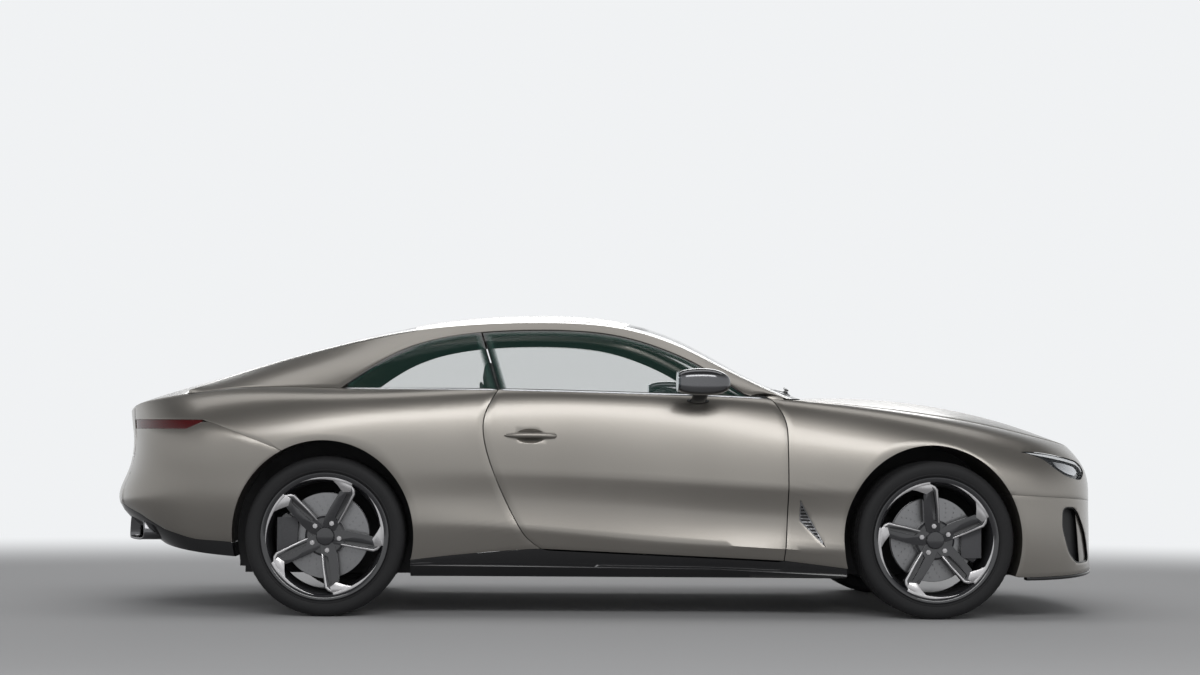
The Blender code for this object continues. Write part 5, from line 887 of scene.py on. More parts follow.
door_skin = on_body(door_pairs)
door_way = np.zeros_like(door_skin)
door_way[..., 1] = np.minimum(door_skin[..., 1] - DOOR_DEPTH, DOOR_CARD_Y) - door_skin[..., 1]
door_way[:, -1, 2] = DOOR_HEEL
for side, sign in SIDES:
    cutters = []
    for z in HINGE_Z:
        outline = [(x, z + HINGE_HALF * up) for up, x in zip((-1, -1, 1, 1), HINGE_X_SPAN + HINGE_X_SPAN[::-1])]
        cutters.append(outline_prism(outline, sign * 0.75, sign * (HINGE_Y + 0.013), 1))
    share = np.linspace(0, 1, 33)
    along = HANDLE_X[0] + (HANDLE_X[1] - HANDLE_X[0]) * share
    height = HANDLE_HALF * np.interp(share, (0, 0.06, 0.25, 0.9, 0.97, 1), (0.1, 0.55, 1, 1, 0.85, 0.35))
    across = np.linspace(-1, 1, 9)
    z = HANDLE_Z - height[:, None] * across
    points, normal = skin(at_height(along[:, None], z), -1.0)
    middle = points[16, 4] * np.array([1, sign, 1]) + np.array([0, sign * 0.01, 0])
    cutters.append(ball(middle, POCKET_SIZE))
    mesh = settled(shell_mesh([door_skin], [door_way], side=sign), cutters, bevel=PRESSED_EDGE)
    piece(f"door_skin_{side}", mesh, satin_paint, "satin_paint", f"door_{side}_body", f"door_{side}")
    # The handle is a bar over its pocket, standing on its two ends
    rise = 0.006 + 0.02 * np.sin(np.pi * share)[:, None, None] ** 0.6
    lift = (1 - 0.55 * np.abs(across) ** 3)[None, :, None] * rise
    foot = 0.0003 + 0.008 * np.sin(np.pi * share)[:, None, None] ** 0.6
    mesh = settled(shell_mesh([points + normal * (foot + lift)], [-normal * lift], side=sign), bevel=0.0015)
    piece(f"handle_bar_{side}", mesh, satin_paint, "satin_paint", f"door_{side}_body", f"handle_{side}")


# Front wings
# Aluminium wings that run from the doors over the wheels to the grille in one piece, with the headlamps and the
# outlets behind the wheels let into them.
FRONT_JOINT_ANGLE, SILL_ANGLE = 29, 198
GRILLE_ALONG = NOSE_CORNER_X + 0.7 * CORNER_RUN
NOSE_ALONG = NOSE_CORNER_X + CORNER_RUN
WAIST_POINTS, WING_TOP_X, WING_TOP_LEVEL, WING_SKIN, SEAM_NOSE_Z, FRONT_WELL_Y = 11, 1.93, 0.08, 0.004, 0.548, 0.5
HEADLAMP = (
    (1.934, 0.787), (1.985, 0.789), (2.075, 0.78), (2.18, 0.762), (2.262, 0.745), (2.3, 0.722), (2.312, 0.69),
    (2.262, 0.65), (2.165, 0.672), (2.105, 0.708), (2.05, 0.752), (1.985, 0.775),
)
VENT = ((0.881, 0.557), (0.879, 0.455), (1.005, 0.328))
LAMP_Y, REACH_Y = 0.35, 1.1  # a cut through one side of the car runs between them
headlamp_line = rounded(HEADLAMP, 4, 0.3)
vent_line = rounded(VENT, 4, 0.06)



def side_cut(outline, sign):
    """A cutter through one side of the car."""
    return outline_prism(outline, sign * LAMP_Y, sign * REACH_Y, 1)


arch = arch_line(FRONT_AXLE_X, SILL_ANGLE, FRONT_JOINT_ANGLE, fine(DOOR_ROWS) + fine(WAIST_POINTS))
up = door_pairs[-1][::-1] + np.array([DOOR_GAP, 0])
top = straight((0.85, WING_TOP_LEVEL), (WING_TOP_X, WING_TOP_LEVEL), fine(WAIST_POINTS))
wing_pairs = fan(arch, np.concatenate([up, top]), fine(5))
joint_z = float(body(arch[-1, 0], arch[-1, 1])[2])
seam = at_height(*straight((arch[-1, 0], joint_z), (GRILLE_ALONG, SEAM_NOSE_Z), fine(11)).T)
top = straight((WING_TOP_X, WING_TOP_LEVEL), (GRILLE_ALONG, WING_TOP_LEVEL), fine(11))
nose_pairs = fan(seam, top, fine(5))
grids, ways = arched(wing_pairs, arch, FRONT_AXLE_X, FRONT_WELL_Y, WING_SKIN)
nose_grid, nose_way = skin(nose_pairs, WING_SKIN)
nose_way[0, :] = ways[1][-1]
nose_way[0, 0] = ways[0][-1, 0]
for side, sign in SIDES:
    cutters = [side_cut(headlamp_line, sign), side_cut(vent_line, sign)]
    mesh = settled(shell_mesh(grids + [nose_grid], ways + [nose_way], side=sign), cutters, bevel=PRESSED_EDGE)
    piece(f"wing_skin_{side}", mesh, satin_paint, "satin_paint", "root", f"wing_{side}")


# Headlamps
# A clear moulded lens over a black-lined bowl with a silver light strip along its upper edge and a reflector.
# The unit drops into the wing from behind and its lens stands a hair inside the skin.
def clear_material(name, tint, alpha):
    """Clear moulded plastic: see-through, glossy, with the faintest mottling."""
    made, shader, feed, add = new_material(name)
    film = add("ShaderNodeGroup", node_tree=FLAKE).outputs["Cloud"]
    feed(
        shader, Base_Color=blend(add, [c * 0.9 for c in tint], tint, film), Roughness=spread(add, film, 0.02, 0.05)
    )
    feed(shader, Alpha=alpha, IOR=1.5, Specular_IOR_Level=0.7)
    return made


lens_clear = clear_material("lens_clear", (0.3, 0.32, 0.34), 0.05)
bright_metal = mottled(
    "bright_metal", (0.62, 0.63, 0.65), (0.72, 0.73, 0.75), (0.12, 0.22), fleck=500.0, Metallic=1.0
)
light_strip = mottled("light_strip", (0.78, 0.8, 0.82), (0.9, 0.91, 0.92), (0.15, 0.25), fleck=900.0)


def patch(x_range, z_range, counts, inset, depth):
    """A patch of the body's surface, a distance inside it, with its way in."""
    x, z = np.meshgrid(np.linspace(*x_range, counts[0]), np.linspace(*z_range, counts[1]), indexing="ij")
    return sheet_of(at_height(x, z), inset, depth)


def sheet_of(pairs, inset, depth):
    """The body's surface at these pairs, a distance inside its outer face, with its way in."""
    points, normal = skin(pairs, -1.0)
    return [points - normal * inset], [-normal * depth]


def within(sheet, outline, sign, bevel=0.0):
    """A piece of thick sheet inside an outline."""
    return settled(shell_mesh(*sheet, side=sign), [side_cut(outline, sign)], "INTERSECT", bevel)


lamp_inner = rounded(grown(HEADLAMP, -0.0012), 4, 0.3)
strip = ((1.965, 0.783), (2.075, 0.7735), (2.18, 0.7555), (2.262, 0.7375), (2.294, 0.715), (2.3, 0.694), (2.291, 0.69),
         (2.284, 0.708), (2.254, 0.7255), (2.176, 0.743), (2.075, 0.7615), (1.99, 0.776))
bowl = rounded(
    ((2.125, 0.712), (2.18, 0.684), (2.232, 0.672), (2.262, 0.694), (2.248, 0.712), (2.18, 0.73), (2.1, 0.742)), 4,
    0.3
)
for side, sign in SIDES:
    mesh = within(sheet_of(nose_pairs, 0.02, 0.02), lamp_inner, sign)
    piece(f"headlamp_housing_{side}", mesh, gloss_black, "gloss_black", "root", f"headlamp_{side}")
    mesh = within(sheet_of(nose_pairs, 0.005, 0.012), strip, sign, 0.0006)
    piece(f"headlamp_strip_{side}", mesh, light_strip, "lamp_glass")
    mesh = within(sheet_of(nose_pairs, 0.014, 0.008), bowl, sign, 0.0015)
    piece(f"headlamp_reflector_{side}", mesh, bright_metal, "lamp_glass")
    mesh = within(sheet_of(nose_pairs, 0.0012, 0.003), lamp_inner, sign)
    piece(f"headlamp_lens_{side}", mesh, lens_clear, "lamp_glass")


# Outlets behind the front wheels
# A three-cornered black insert with level slats, clipped into the wing from behind.
vent_inner = rounded(grown(VENT, -0.001), 4, 0.06)
vent_metal = mottled(
    "vent_metal", (0.14, 0.14, 0.145), (0.22, 0.22, 0.225), (0.22, 0.34), fleck=800.0, Metallic=1.0
)
VENT_FIELD = (0.862, 1.022), (0.572, 0.315), (24, 30)
slat_z = np.arange(0.345, 0.552, 0.0155)
for side, sign in SIDES:
    mesh = within(patch(*VENT_FIELD, 0.014, 0.016), vent_inner, sign)
    piece(f"vent_box_{side}", mesh, gloss_black, "gloss_black", "root", f"vent_{side}")
    slats = within(patch(*VENT_FIELD, 0.001, 0.015), vent_inner, sign)
    gaps = [side_cut(((0.8, z), (1.1, z - 0.004), (1.1, z + 0.0065), (0.8, z + 0.0105)), sign) for z in slat_z]
    gaps = settled(settled(gaps[0], gaps[1:], "UNION"), [side_cut(grown(vent_inner, -0.004), sign)], "INTERSECT")
    mesh = settled(slats, [gaps], bevel=0.0004)
    piece(f"vent_slats_{side}", mesh, vent_metal, "gloss_black")


# Front bumper
# One moulded cover from wheel arch to wheel arch, painted with the body, with a wide lower opening in the middle
# and an upright air intake at each corner.
INTAKE = (
    (2.132, 0.51), (2.15, 0.528), (2.2, 0.528), (2.235, 0.495), (2.285, 0.395), (2.318, 0.282),
    (2.306, 0.262), (2.215, 0.258), (2.165, 0.31), (2.128, 0.43),
)
BUMPER_FIRST = 3 * FINE  # the lower edge straightens over the grid's first lines, and the openings start after them
LOWER_OPENING = ((0.44, 0.26), (0.4, 0.5), (-0.4, 0.5), (-0.44, 0.26))
intake_line = rounded(INTAKE, 4, 0.3)
lower_line = rounded(LOWER_OPENING, 6, 0.06)
lower_arch = arch_line(FRONT_AXLE_X, FRONT_JOINT_ANGLE - 0.3, -22, fine(7))
along = np.concatenate([seam[:, 0], np.linspace(GRILLE_ALONG, NOSE_ALONG, fine(6))[1:]])
top_height = np.concatenate([on_body(seam)[:, 2] - PANEL_GAP, np.full(fine(6) - 1, SEAM_NOSE_Z - PANEL_GAP)])
top_line = at_height(along, top_height)
top_line[0] = lower_arch[0]
low_start = np.linspace(lower_arch[-1, 0], along[BUMPER_FIRST], BUMPER_FIRST + 1)
low_along = np.concatenate([low_start, along[BUMPER_FIRST + 1 :]])
low_line = np.stack([low_along, np.full(len(low_along), float(HEM))], 1)
low_line[0] = lower_arch[-1]
end = straight((NOSE_ALONG, top_line[-1, 1]), (NOSE_ALONG, HEM), fine(7))
bumper_pairs = coons(top_line, low_line, lower_arch, end)
grids, ways = arched(bumper_pairs, lower_arch, FRONT_AXLE_X, FRONT_WELL_Y + 0.2, WING_SKIN)
cutters = [outline_prism(lower_line, 2.25, 2.45, 0)]
cutters += [side_cut(intake_line, sign) for side, sign in SIDES]
mesh = settled(shell_mesh(grids, ways, mirror=True), cutters, bevel=PRESSED_EDGE)
piece("front_bumper_skin", mesh, satin_paint, "satin_paint", "root", "front_bumper")


# Openings of the front bumper
# Behind the three openings stands one black moulding, with honeycomb mesh in the middle.
def honeycomb(y_span, z_span, pitch, wall):
    """Hexagon centres in staggered rows over a field, and one hexagon's outline left open inside its wall."""
    rows = np.arange(z_span[0], z_span[1], pitch * 0.866)
    cells = []
    for k, z in enumerate(rows):
        y = np.arange(y_span[0] + (k % 2) * pitch / 2, y_span[1], pitch)
        cells.append(np.stack([y, np.full(len(y), z)], 1))
    angle = np.radians(np.arange(30, 390, 60))
    radius = (pitch - wall) / math.sqrt(3)
    return np.concatenate(cells), np.stack([radius * np.cos(angle), radius * np.sin(angle)], 1)


def mesh_panel(centres, hexagon, place, depth):
    """Open hexagon tubes side by side, each a short six-sided wall whose front and back rings are set on a surface."""
    wall = hexagon * 1.16
    ring = np.stack([hexagon, wall], 0)[:, None] + centres[None, :, None]
    front = place(ring[..., 0], ring[..., 1])
    back = front - np.array([depth, 0, 0])
    # Rings in order round the tube's section: inner front, outer front, outer back, inner back
    loops = np.stack([front[0], front[1], back[1], back[0]], 1)
    count = loops.shape[0]
    index = np.arange(count * 4 * 6).reshape(count, 4, 6)
    a, b = index, np.roll(index, -1, axis=2)
    c, d = np.roll(b, -1, axis=1), np.roll(a, -1, axis=1)
    mesh = bpy.data.meshes.new("cells")
    mesh.from_pydata(loops.reshape(-1, 3).tolist(), [], np.stack([a, b, c, d], -1).reshape(-1, 4).tolist())
    return welded(mesh, 1e-7)


def nose_x(y, z, inset):
    """x of the nose's surface in front of y and z, from the plan at a mid level, a distance inside. z is not used."""
    plan = body(np.linspace(NOSE_ALONG, NOSE_CORNER_X, 80), 4.0)
    return np.interp(np.abs(y), plan[:, 1], plan[:, 0]) - inset


def on_nose(inset):
    """A placing rule: y and z stay, x lies inside the nose's surface."""
    return lambda y, z: np.stack([nose_x(y, z, inset), y, z], -1)


inner_pairs = bumper_pairs[BUMPER_FIRST:]
BACK_FIELD = ((2.118, 0.246), (2.5, 0.246), (2.5, 0.54), (2.118, 0.54))
mesh = shell_mesh(*sheet_of(inner_pairs, 0.034, 0.004), mirror=True)
mesh = settled(mesh, [outline_prism(BACK_FIELD, -1.0, 1.0, 1)], "INTERSECT")
piece("lower_grille_back", mesh, matt_black, "gloss_black", "root", "lower_grille")
centres, hexagon = honeycomb((-0.43, 0.43), (0.262, 0.5), 0.021, 0.0035)
inside = np.abs(centres[:, 0]) < 0.44 - 0.04 * (centres[:, 1] - 0.26) / 0.24
piece("lower_grille_mesh", mesh_panel(centres[inside], hexagon, on_nose(0.02), 0.008), gloss_black, "gloss_black")
for side, sign in SIDES:
    # A painted inner panel and a black frame round each corner intake
    panel_line = ((2.245, 0.24), (2.36, 0.24), (2.3, 0.54), (2.215, 0.54))
    mesh = within(sheet_of(inner_pairs, 0.012, 0.004), panel_line, sign, 0.001)
    piece(f"intake_panel_{side}", mesh, satin_paint, "satin_paint")
    mesh = within(sheet_of(inner_pairs, 0.0048, 0.01), grown(intake_line, 0.004), sign)
    mesh = settled(mesh, [side_cut(grown(intake_line, -0.006), sign)], bevel=0.0008)
    piece(f"intake_frame_{side}", mesh, gloss_black, "gloss_black")


# Splitter
# A thin black blade under the bumper's lower edge, round the nose.
def downward(points, depth):
    """A way straight down from each point."""
    return np.zeros_like(points) - np.array([0, 0, depth])


SPLITTER_REAR_X, SPLITTER_DEPTH = 1.965, 0.016
along = np.concatenate(
    [np.linspace(SPLITTER_REAR_X, NOSE_CORNER_X, 3)[:-1], np.linspace(NOSE_CORNER_X, NOSE_ALONG, 41)]
)
edge = body(along, float(HEM))
edge[:, 2] -= 0.0006
inner = edge.copy()
inner[:, 1] *= 0.93
inner[:, 0] -= 0.05 * (edge[:, 0] - SPLITTER_REAR_X) / (HALF_LENGTH - SPLITTER_REAR_X)
blade = np.stack([edge, inner], 1)
mesh = settled(shell_mesh([blade], [downward(blade, SPLITTER_DEPTH)], mirror=True), bevel=0.003)
piece("splitter_blade", mesh, gloss_black, "gloss_black", "root", "splitter")


# Grille
# A broad black matrix of crossed bars between the headlamps, in a gloss-black frame, set into the nose over the bumper.
GRILLE_TOP_LEVEL, GRILLE_LOW_Z, BAR_WIDTH = 0.35, SEAM_NOSE_Z - PANEL_GAP + 0.0006, 0.0038
along = np.linspace(GRILLE_ALONG, NOSE_ALONG, fine(6))
along[0] += 0.006
low = level_at(along, GRILLE_LOW_Z)
grille_pairs = rectangle(along, (np.full(len(along), GRILLE_TOP_LEVEL), low, fine(6)))
mesh = settled(shell_mesh(*sheet_of(grille_pairs, 0.012, 0.003), mirror=True))
piece("grille_back", mesh, matt_black, "gloss_black", "root", "grille")


def grille_at(u, v):
    """Points of the grille's outer face from their shares across and down, and the normals there."""
    along_u = along[0] + (along[-1] - along[0]) * u
    low_u = level_at(along_u, GRILLE_LOW_Z)
    return skin(np.stack([along_u, GRILLE_TOP_LEVEL + (low_u - GRILLE_TOP_LEVEL) * v], -1), -1.0)


def bars(starts, ends, width, steps, rise):
    """Bars of a square section along straight lines in the grille's own two shares, many at once."""
    t = np.linspace(0, 1, steps)
    line = starts[:, None] * (1 - t)[None, :, None] + ends[:, None] * t[None, :, None]
    points, normal = grille_at(line[..., 0], line[..., 1])
    tangent = np.gradient(points, axis=1)
    tangent /= np.linalg.norm(tangent, axis=-1, keepdims=True)
    across = np.cross(normal, tangent)
    corners = ((-0.5, 0.0), (0.5, 0.0), (0.28, 1.0), (-0.28, 1.0))
    section = np.stack([points + across * width * a - normal * (0.0115 - rise * b) for a, b in corners], 2)
    count = len(starts)
    index = np.arange(count * steps * 4).reshape(count, steps, 4)
    a, b = index[:, :-1], index[:, 1:]
    sides = np.stack([a, np.roll(a, -1, axis=2), np.roll(b, -1, axis=2), b], -1).reshape(-1, 4)
    caps = np.concatenate([index[:, 0, ::-1], index[:, -1]])
    mesh = bpy.data.meshes.new("bars")
    mesh.from_pydata(section.reshape(-1, 3).tolist(), [], np.concatenate([sides, caps]).tolist())
    return mesh


def both_halves(mesh):
    """A mesh with its mirror image across the middle plane, faces outwards."""
    work = bmesh.new()
    work.from_mesh(mesh)
    twin = bmesh.ops.duplicate(work, geom=list(work.faces) + list(work.verts) + list(work.edges))["geom"]
    turned = [g for g in twin if isinstance(g, bmesh.types.BMVert)]
    bmesh.ops.scale(work, vec=(1, -1, 1), verts=turned)
    bmesh.ops.recalc_face_normals(work, faces=work.faces)
    work.to_mesh(mesh)
    work.free()
    return mesh


# The matrix: lines leaning both ways, a hand's width of small diamonds
count_across, lean = 17, 0.16
at = np.linspace(-lean, 1, count_across + 3)
starts, ends = [], []
for tilt in (lean, -lean):
    u0, u1 = at.copy(), at + tilt
    # Clip each line to the frame
    for a, b in zip(u0, u1):
        t0, t1 = 0.0, 1.0
        if a != b:
            lo, hi = sorted(((0 - a) / (b - a), (1 - a) / (b - a)))
            t0, t1 = max(t0, lo), min(t1, hi)
        if t1 - t0 > 0.08:
            starts.append((a + (b - a) * t0, 0.02 + 0.96 * t0))
            ends.append((a + (b - a) * t1, 0.02 + 0.96 * t1))
mesh = both_halves(bars(np.array(starts), np.array(ends), BAR_WIDTH, 10, 0.009))
piece("grille_matrix", mesh, gloss_black, "gloss_black")
starts = np.stack([np.zeros(6), np.linspace(0.14, 0.86, 6)], 1)
mesh = both_halves(bars(starts, starts + np.array([1.0, 0.0]), BAR_WIDTH, 24, 0.009))
piece("grille_crossbars", mesh, gloss_black, "gloss_black")
starts = np.array([(0.0, 0.012), (0.0, 0.988), (0.012, 0.0)])
ends = np.array([(1.0, 0.012), (1.0, 0.988), (0.012, 1.0)])
mesh = both_halves(bars(starts, ends, 0.01, 24, 0.0125))
piece("grille_frame", settled(mesh, bevel=0.0015), gloss_black, "gloss_black")


# Bonnet
# One long aluminium pressing, hinged under the windscreen, with its skin folded round the edge.
BONNET_SIDE_GAP, BONNET_REAR_GAP, BONNET_REAR_X = 0.007, 0.026, 0.862
BONNET_CORNER = NOSE_CORNER_X + 0.5 * CORNER_RUN
BONNET_HINGE, BONNET_HINGE_Y, BONNET_KNUCKLE, LUG = (0.92, 1.01), 0.6, 0.006, 0.02


def on_top(plan):
    """Points of the bonnet and boot over a plan of (x, y)."""
    return np.concatenate([plan, top_z(plan[..., 0], plan[..., 1])[..., None]], -1)


def box_mesh(low, high):
    """A rectangular solid between two opposite corners."""
    (x0, y0, z0), (x1, y1, z1) = np.minimum(low, high), np.maximum(low, high)
    return outline_prism(((x0, y0), (x1, y0), (x1, y1), (x0, y1)), z0, z1, 2)


v = np.linspace(0, 1, fine(7))
base = canopy(np.full(fine(7), SCREEN_BASE_S), v)[:, :2] + np.array([BONNET_REAR_GAP, 0])
base[:, 0] = np.maximum(base[:, 0], BONNET_REAR_X)
side_along = np.linspace(BONNET_REAR_X, BONNET_CORNER, fine(11))
bonnet_side = body(side_along, 0.0)[:, :2] - np.array([0, BONNET_SIDE_GAP])
nose = body(np.linspace(NOSE_ALONG, BONNET_CORNER, fine(7)), 0.0)[:, :2]
nose = nose - np.array([0, BONNET_SIDE_GAP]) * v[:, None]
nose[:, 0] -= BONNET_SIDE_GAP * (1 - v)
base[:, 1] *= bonnet_side[0, 1] / base[-1, 1]
base[-1] = bonnet_side[0]
middle = np.stack([np.linspace(base[0, 0], nose[0, 0], fine(11)), np.zeros(fine(11))], 1)
lid = on_top(coons(middle, bonnet_side, base, nose))
x, z = BONNET_HINGE
lug_top = float(top_z(x + 0.035, BONNET_HINGE_Y)) - LID_DEPTH + 0.003
lugs = [
    box_mesh((x, sign * BONNET_HINGE_Y, z - BONNET_KNUCKLE), (x + 0.035, sign * (BONNET_HINGE_Y + LUG), lug_top))
    for side, sign in SIDES
]
mesh = settled(shell_mesh([lid], [downward(lid, LID_DEPTH)], mirror=True), lugs, "UNION", bevel=0.0018)
piece("bonnet_skin", mesh, satin_paint, "satin_paint", "bonnet_body", "bonnet")


# Boot lid
# A lid that wraps from the rear window over the tail and down between the lamps, with a raised trailing edge.
LAMP_TIP, LAMP_LOW_Z, LAMP_HIGH_Z = (-1.895, 0.9), 0.862, 0.905
BOOT_ALONG, BOOT_LOW_Z = TAIL_CORNER_X - 0.62 * CORNER_RUN, 0.735
TAIL_ALONG = TAIL_CORNER_X - CORNER_RUN
BOOT_FRONT_GAP, BOOT_HINGE, BOOT_HINGE_Y = 0.012, (-1.85, 1.1275), 0.12


def inward(along):
    """The gap round a lid, square to the waist line in plan."""
    along = np.asarray(along, float)
    normal = outward(body, along, np.full(along.shape, 0.02))[..., :2]
    return -BONNET_SIDE_GAP * normal / np.linalg.norm(normal, axis=-1, keepdims=True)


count = fine(8)
v = np.linspace(0, 1, count)
window = canopy(np.full(count - 7, BACKLIGHT_BASE_S), np.linspace(0, SCREEN_EDGE, count - 7))[:, :2]
window = window - np.array([BOOT_FRONT_GAP, 0])
end = canopy(np.full(6, FRAME_REAR_X), np.linspace(SCREEN_EDGE, 1.0, 6))[:, :2] - np.array([0.009, 0.004])
start_along = float(tail_along(FRAME_REAR_X)) - 0.012
corner_along = BOOT_ALONG - 0.009
side_along = np.linspace(start_along, corner_along, fine(8))
boot_side = body(side_along, 0.0)[:, :2] + inward(side_along)
rear_along = np.linspace(TAIL_ALONG, corner_along, count)
rear = body(rear_along, 0.0)[:, :2] + inward(rear_along) * v[:, None] ** 4
rear[-1] = boot_side[-1]
front = np.concatenate([window, end, boot_side[:1]])
middle = np.stack([np.linspace(front[0, 0], rear[0, 0], fine(8)), np.zeros(fine(8))], 1)
deck = on_top(coons(middle, boot_side, front, rear))
deck_way = downward(deck, LID_DEPTH)
low = level_at(rear_along, BOOT_LOW_Z)
face, face_way = skin(rectangle(rear_along, (np.zeros(count), low, fine(6))), LID_DEPTH)
face[:, 0] = deck[-1]
face_way[:, 0] = deck_way[-1] + face_way[:, 1]
deck_way[-1] = face_way[:, 0]
x, z = BOOT_HINGE
pockets = [
    box_mesh((x - 0.03, sign * BOOT_HINGE_Y, z - 0.03), (x + 0.04, sign * (BOOT_HINGE_Y + LUG + 0.006), z + 0.03))
    for side, sign in SIDES
]
mesh = settled(shell_mesh([deck, face], [deck_way, face_way], mirror=True), pockets, bevel=0.0018)
piece("boot_lid_skin", mesh, satin_paint, "satin_paint", "boot_body", "boot_lid")


# Rear quarters
# Deep-drawn panels from the doors over the rear wheels to the lamps.
REAR_JOINT_ANGLE, REAR_SILL_ANGLE, REAR_WELL_Y, DIFFUSER_ANGLE = 117, -17, 0.605, 184.5
plain_edge = np.interp(
    np.concatenate([[SCREEN_BASE_S], np.linspace(ROOF_REAR_S, BACKLIGHT_BASE_S, 8), [FRAME_REAR_X]]),
    (FRAME_REAR_X, BACKLIGHT_S[fine(5) - 1], ROOF_REAR_S),
    (FRAME_REAR_X, GLASS_REAR_X, ROOF_REAR_S),
)
plain_edge = plain_edge[plain_edge <= GLASS_REAR_X]
waist_knots = np.concatenate([np.linspace(-0.62, GLASS_REAR_X, 5)[:-1], plain_edge])
waist_x = np.interp(
    np.linspace(0, len(waist_knots) - 1, fine(len(waist_knots))), np.arange(len(waist_knots)), waist_knots
)
arch = arch_line(REAR_AXLE_X, REAR_SILL_ANGLE, REAR_JOINT_ANGLE, fine(DOOR_ROWS) + len(waist_x))
up = door_pairs[0][::-1] - np.array([DOOR_GAP, 0])
waist = np.stack([tail_along(waist_x), np.full(len(waist_x), QUARTER_TOP_LEVEL)], 1)
quarter_pairs = fan(arch, np.concatenate([up, waist]), fine(5))
joint = arch[-1]
joint_z = float(body(joint[0], joint[1])[2])
lamp_top = at_height(*straight((joint[0], joint_z), (LAMP_TIP[0], LAMP_HIGH_Z), fine(6)).T)
run = fine(6) - 1
lamp_run = at_height(np.linspace(LAMP_TIP[0], BOOT_ALONG, fine(6))[1:], LAMP_HIGH_Z)
rear_seam = np.concatenate([lamp_top, lamp_run])
rear_seam[0] = joint
count = len(rear_seam)
top = straight((float(tail_along(FRAME_REAR_X)), QUARTER_TOP_LEVEL), (BOOT_ALONG, QUARTER_TOP_LEVEL), count)
grids, ways = arched(quarter_pairs, arch, REAR_AXLE_X, REAR_WELL_Y, SKIN)
tail_grid, tail_way = skin(fan(rear_seam, top, fine(5)), SKIN)
tail_way[0, :] = ways[1][-1]
tail_way[0, 0] = ways[0][-1, 0]
for side, sign in SIDES:
    mesh = settled(shell_mesh(grids + [tail_grid], ways + [tail_way], side=sign), bevel=PRESSED_EDGE)
    piece(f"quarter_skin_{side}", mesh, satin_paint, "satin_paint", "root", f"quarter_{side}")


# Tail lamps
# Slim dark-red lamps let in flush under the tail's edge, each with a row of small clear blocks behind the lens.
red_lens = clear_material("red_lens", (0.085, 0.003, 0.004), 0.86)
lamp_along = rear_seam[run:, 0]
lamp_low_z = np.interp(
    lamp_along, (BOOT_ALONG, LAMP_TIP[0] - 0.08, LAMP_TIP[0]), (LAMP_LOW_Z, LAMP_LOW_Z, LAMP_HIGH_Z - 0.01)
)
lamp_low = level_at(lamp_along, lamp_low_z)
lamp_high = level_at(lamp_along, np.full(len(lamp_along), LAMP_HIGH_Z) - PANEL_GAP)
lamp_pairs = rectangle(lamp_along, (lamp_high, lamp_low, fine(4)))
block_along = np.linspace(lamp_along[0] - 0.1, lamp_along[-1] + 0.03, 12)
for side, sign in SIDES:
    mesh = settled(shell_mesh(*sheet_of(lamp_pairs, 0.0015, 0.003), side=sign), bevel=0.0006)
    piece(f"tail_lamp_lens_{side}", mesh, red_lens, "red_lamp", "root", f"tail_lamp_{side}")
    mesh = settled(shell_mesh(*sheet_of(lamp_pairs, 0.014, 0.016), side=sign))
    piece(f"tail_lamp_case_{side}", mesh, gloss_black, "red_lamp")
    # Blocks: short lit bars between the case and the lens
    ends = np.repeat(block_along, 2) + np.tile([-0.014, 0.014], len(block_along))
    pairs = at_height(ends[:, None], np.array([[LAMP_HIGH_Z - 0.008, LAMP_LOW_Z + 0.008]]))
    (quads,), (ways,) = sheet_of(pairs, 0.006, 0.008)
    starts = range(0, len(ends), 2)
    quads, ways = [quads[k : k + 2] for k in starts], [ways[k : k + 2] for k in starts]
    mesh = settled(shell_mesh(quads, ways, side=sign), bevel=0.001)
    piece(f"tail_lamp_blocks_{side}", mesh, bright_metal, "red_lamp")


# Rear bumper
# A moulded cover round the tail under the lamps and the boot lid, down to the black diffuser.
DIFFUSER_LINE = ((-1.7, 0.335), (-1.95, 0.352), (-2.15, 0.392), (-2.32, 0.462), (-2.5, 0.5), (-2.95, 0.505))
lower_arch = arch_line(REAR_AXLE_X, REAR_JOINT_ANGLE + 0.7, DIFFUSER_ANGLE, fine(6))
first = rear_seam[: run + 1]
first = at_height(first[:, 0], np.minimum(on_body(first)[:, 2], 0.8945) - PANEL_GAP)
first[0] = lower_arch[0]
second = at_height(lamp_along, lamp_low_z - PANEL_GAP)
boot = at_height(np.linspace(BOOT_ALONG, TAIL_ALONG, fine(6))[1:], BOOT_LOW_Z - DOOR_GAP)
step_z = np.linspace(LAMP_LOW_Z, BOOT_LOW_Z - DOOR_GAP, fine(6))[1:]
step = at_height(BOOT_ALONG - 0.0001 * np.arange(1, fine(6)), step_z)
top_line = np.concatenate([first[:-1], second, step, boot])
low_along = np.interp(
    -top_line[:, 0], (-top_line[0, 0], -LAMP_TIP[0], -TAIL_ALONG), (-lower_arch[-1, 0], -LAMP_TIP[0], -TAIL_ALONG)
)
low_z = np.interp(low_along, [-row[0] for row in DIFFUSER_LINE], [row[1] for row in DIFFUSER_LINE])
low_line = at_height(-low_along, low_z)
low_line[0] = lower_arch[-1]
end = straight((TAIL_ALONG, boot[-1, 1]), (TAIL_ALONG, low_line[-1, 1]), fine(6))
rear_pairs = coons(top_line, low_line, lower_arch, end, fade=5)
grids, ways = arched(rear_pairs, lower_arch, REAR_AXLE_X, REAR_WELL_Y + 0.1, SKIN)
mesh = settled(shell_mesh(grids, ways, mirror=True), bevel=PRESSED_EDGE)
piece("rear_bumper_skin", mesh, satin_paint, "satin_paint", "root", "rear_bumper")


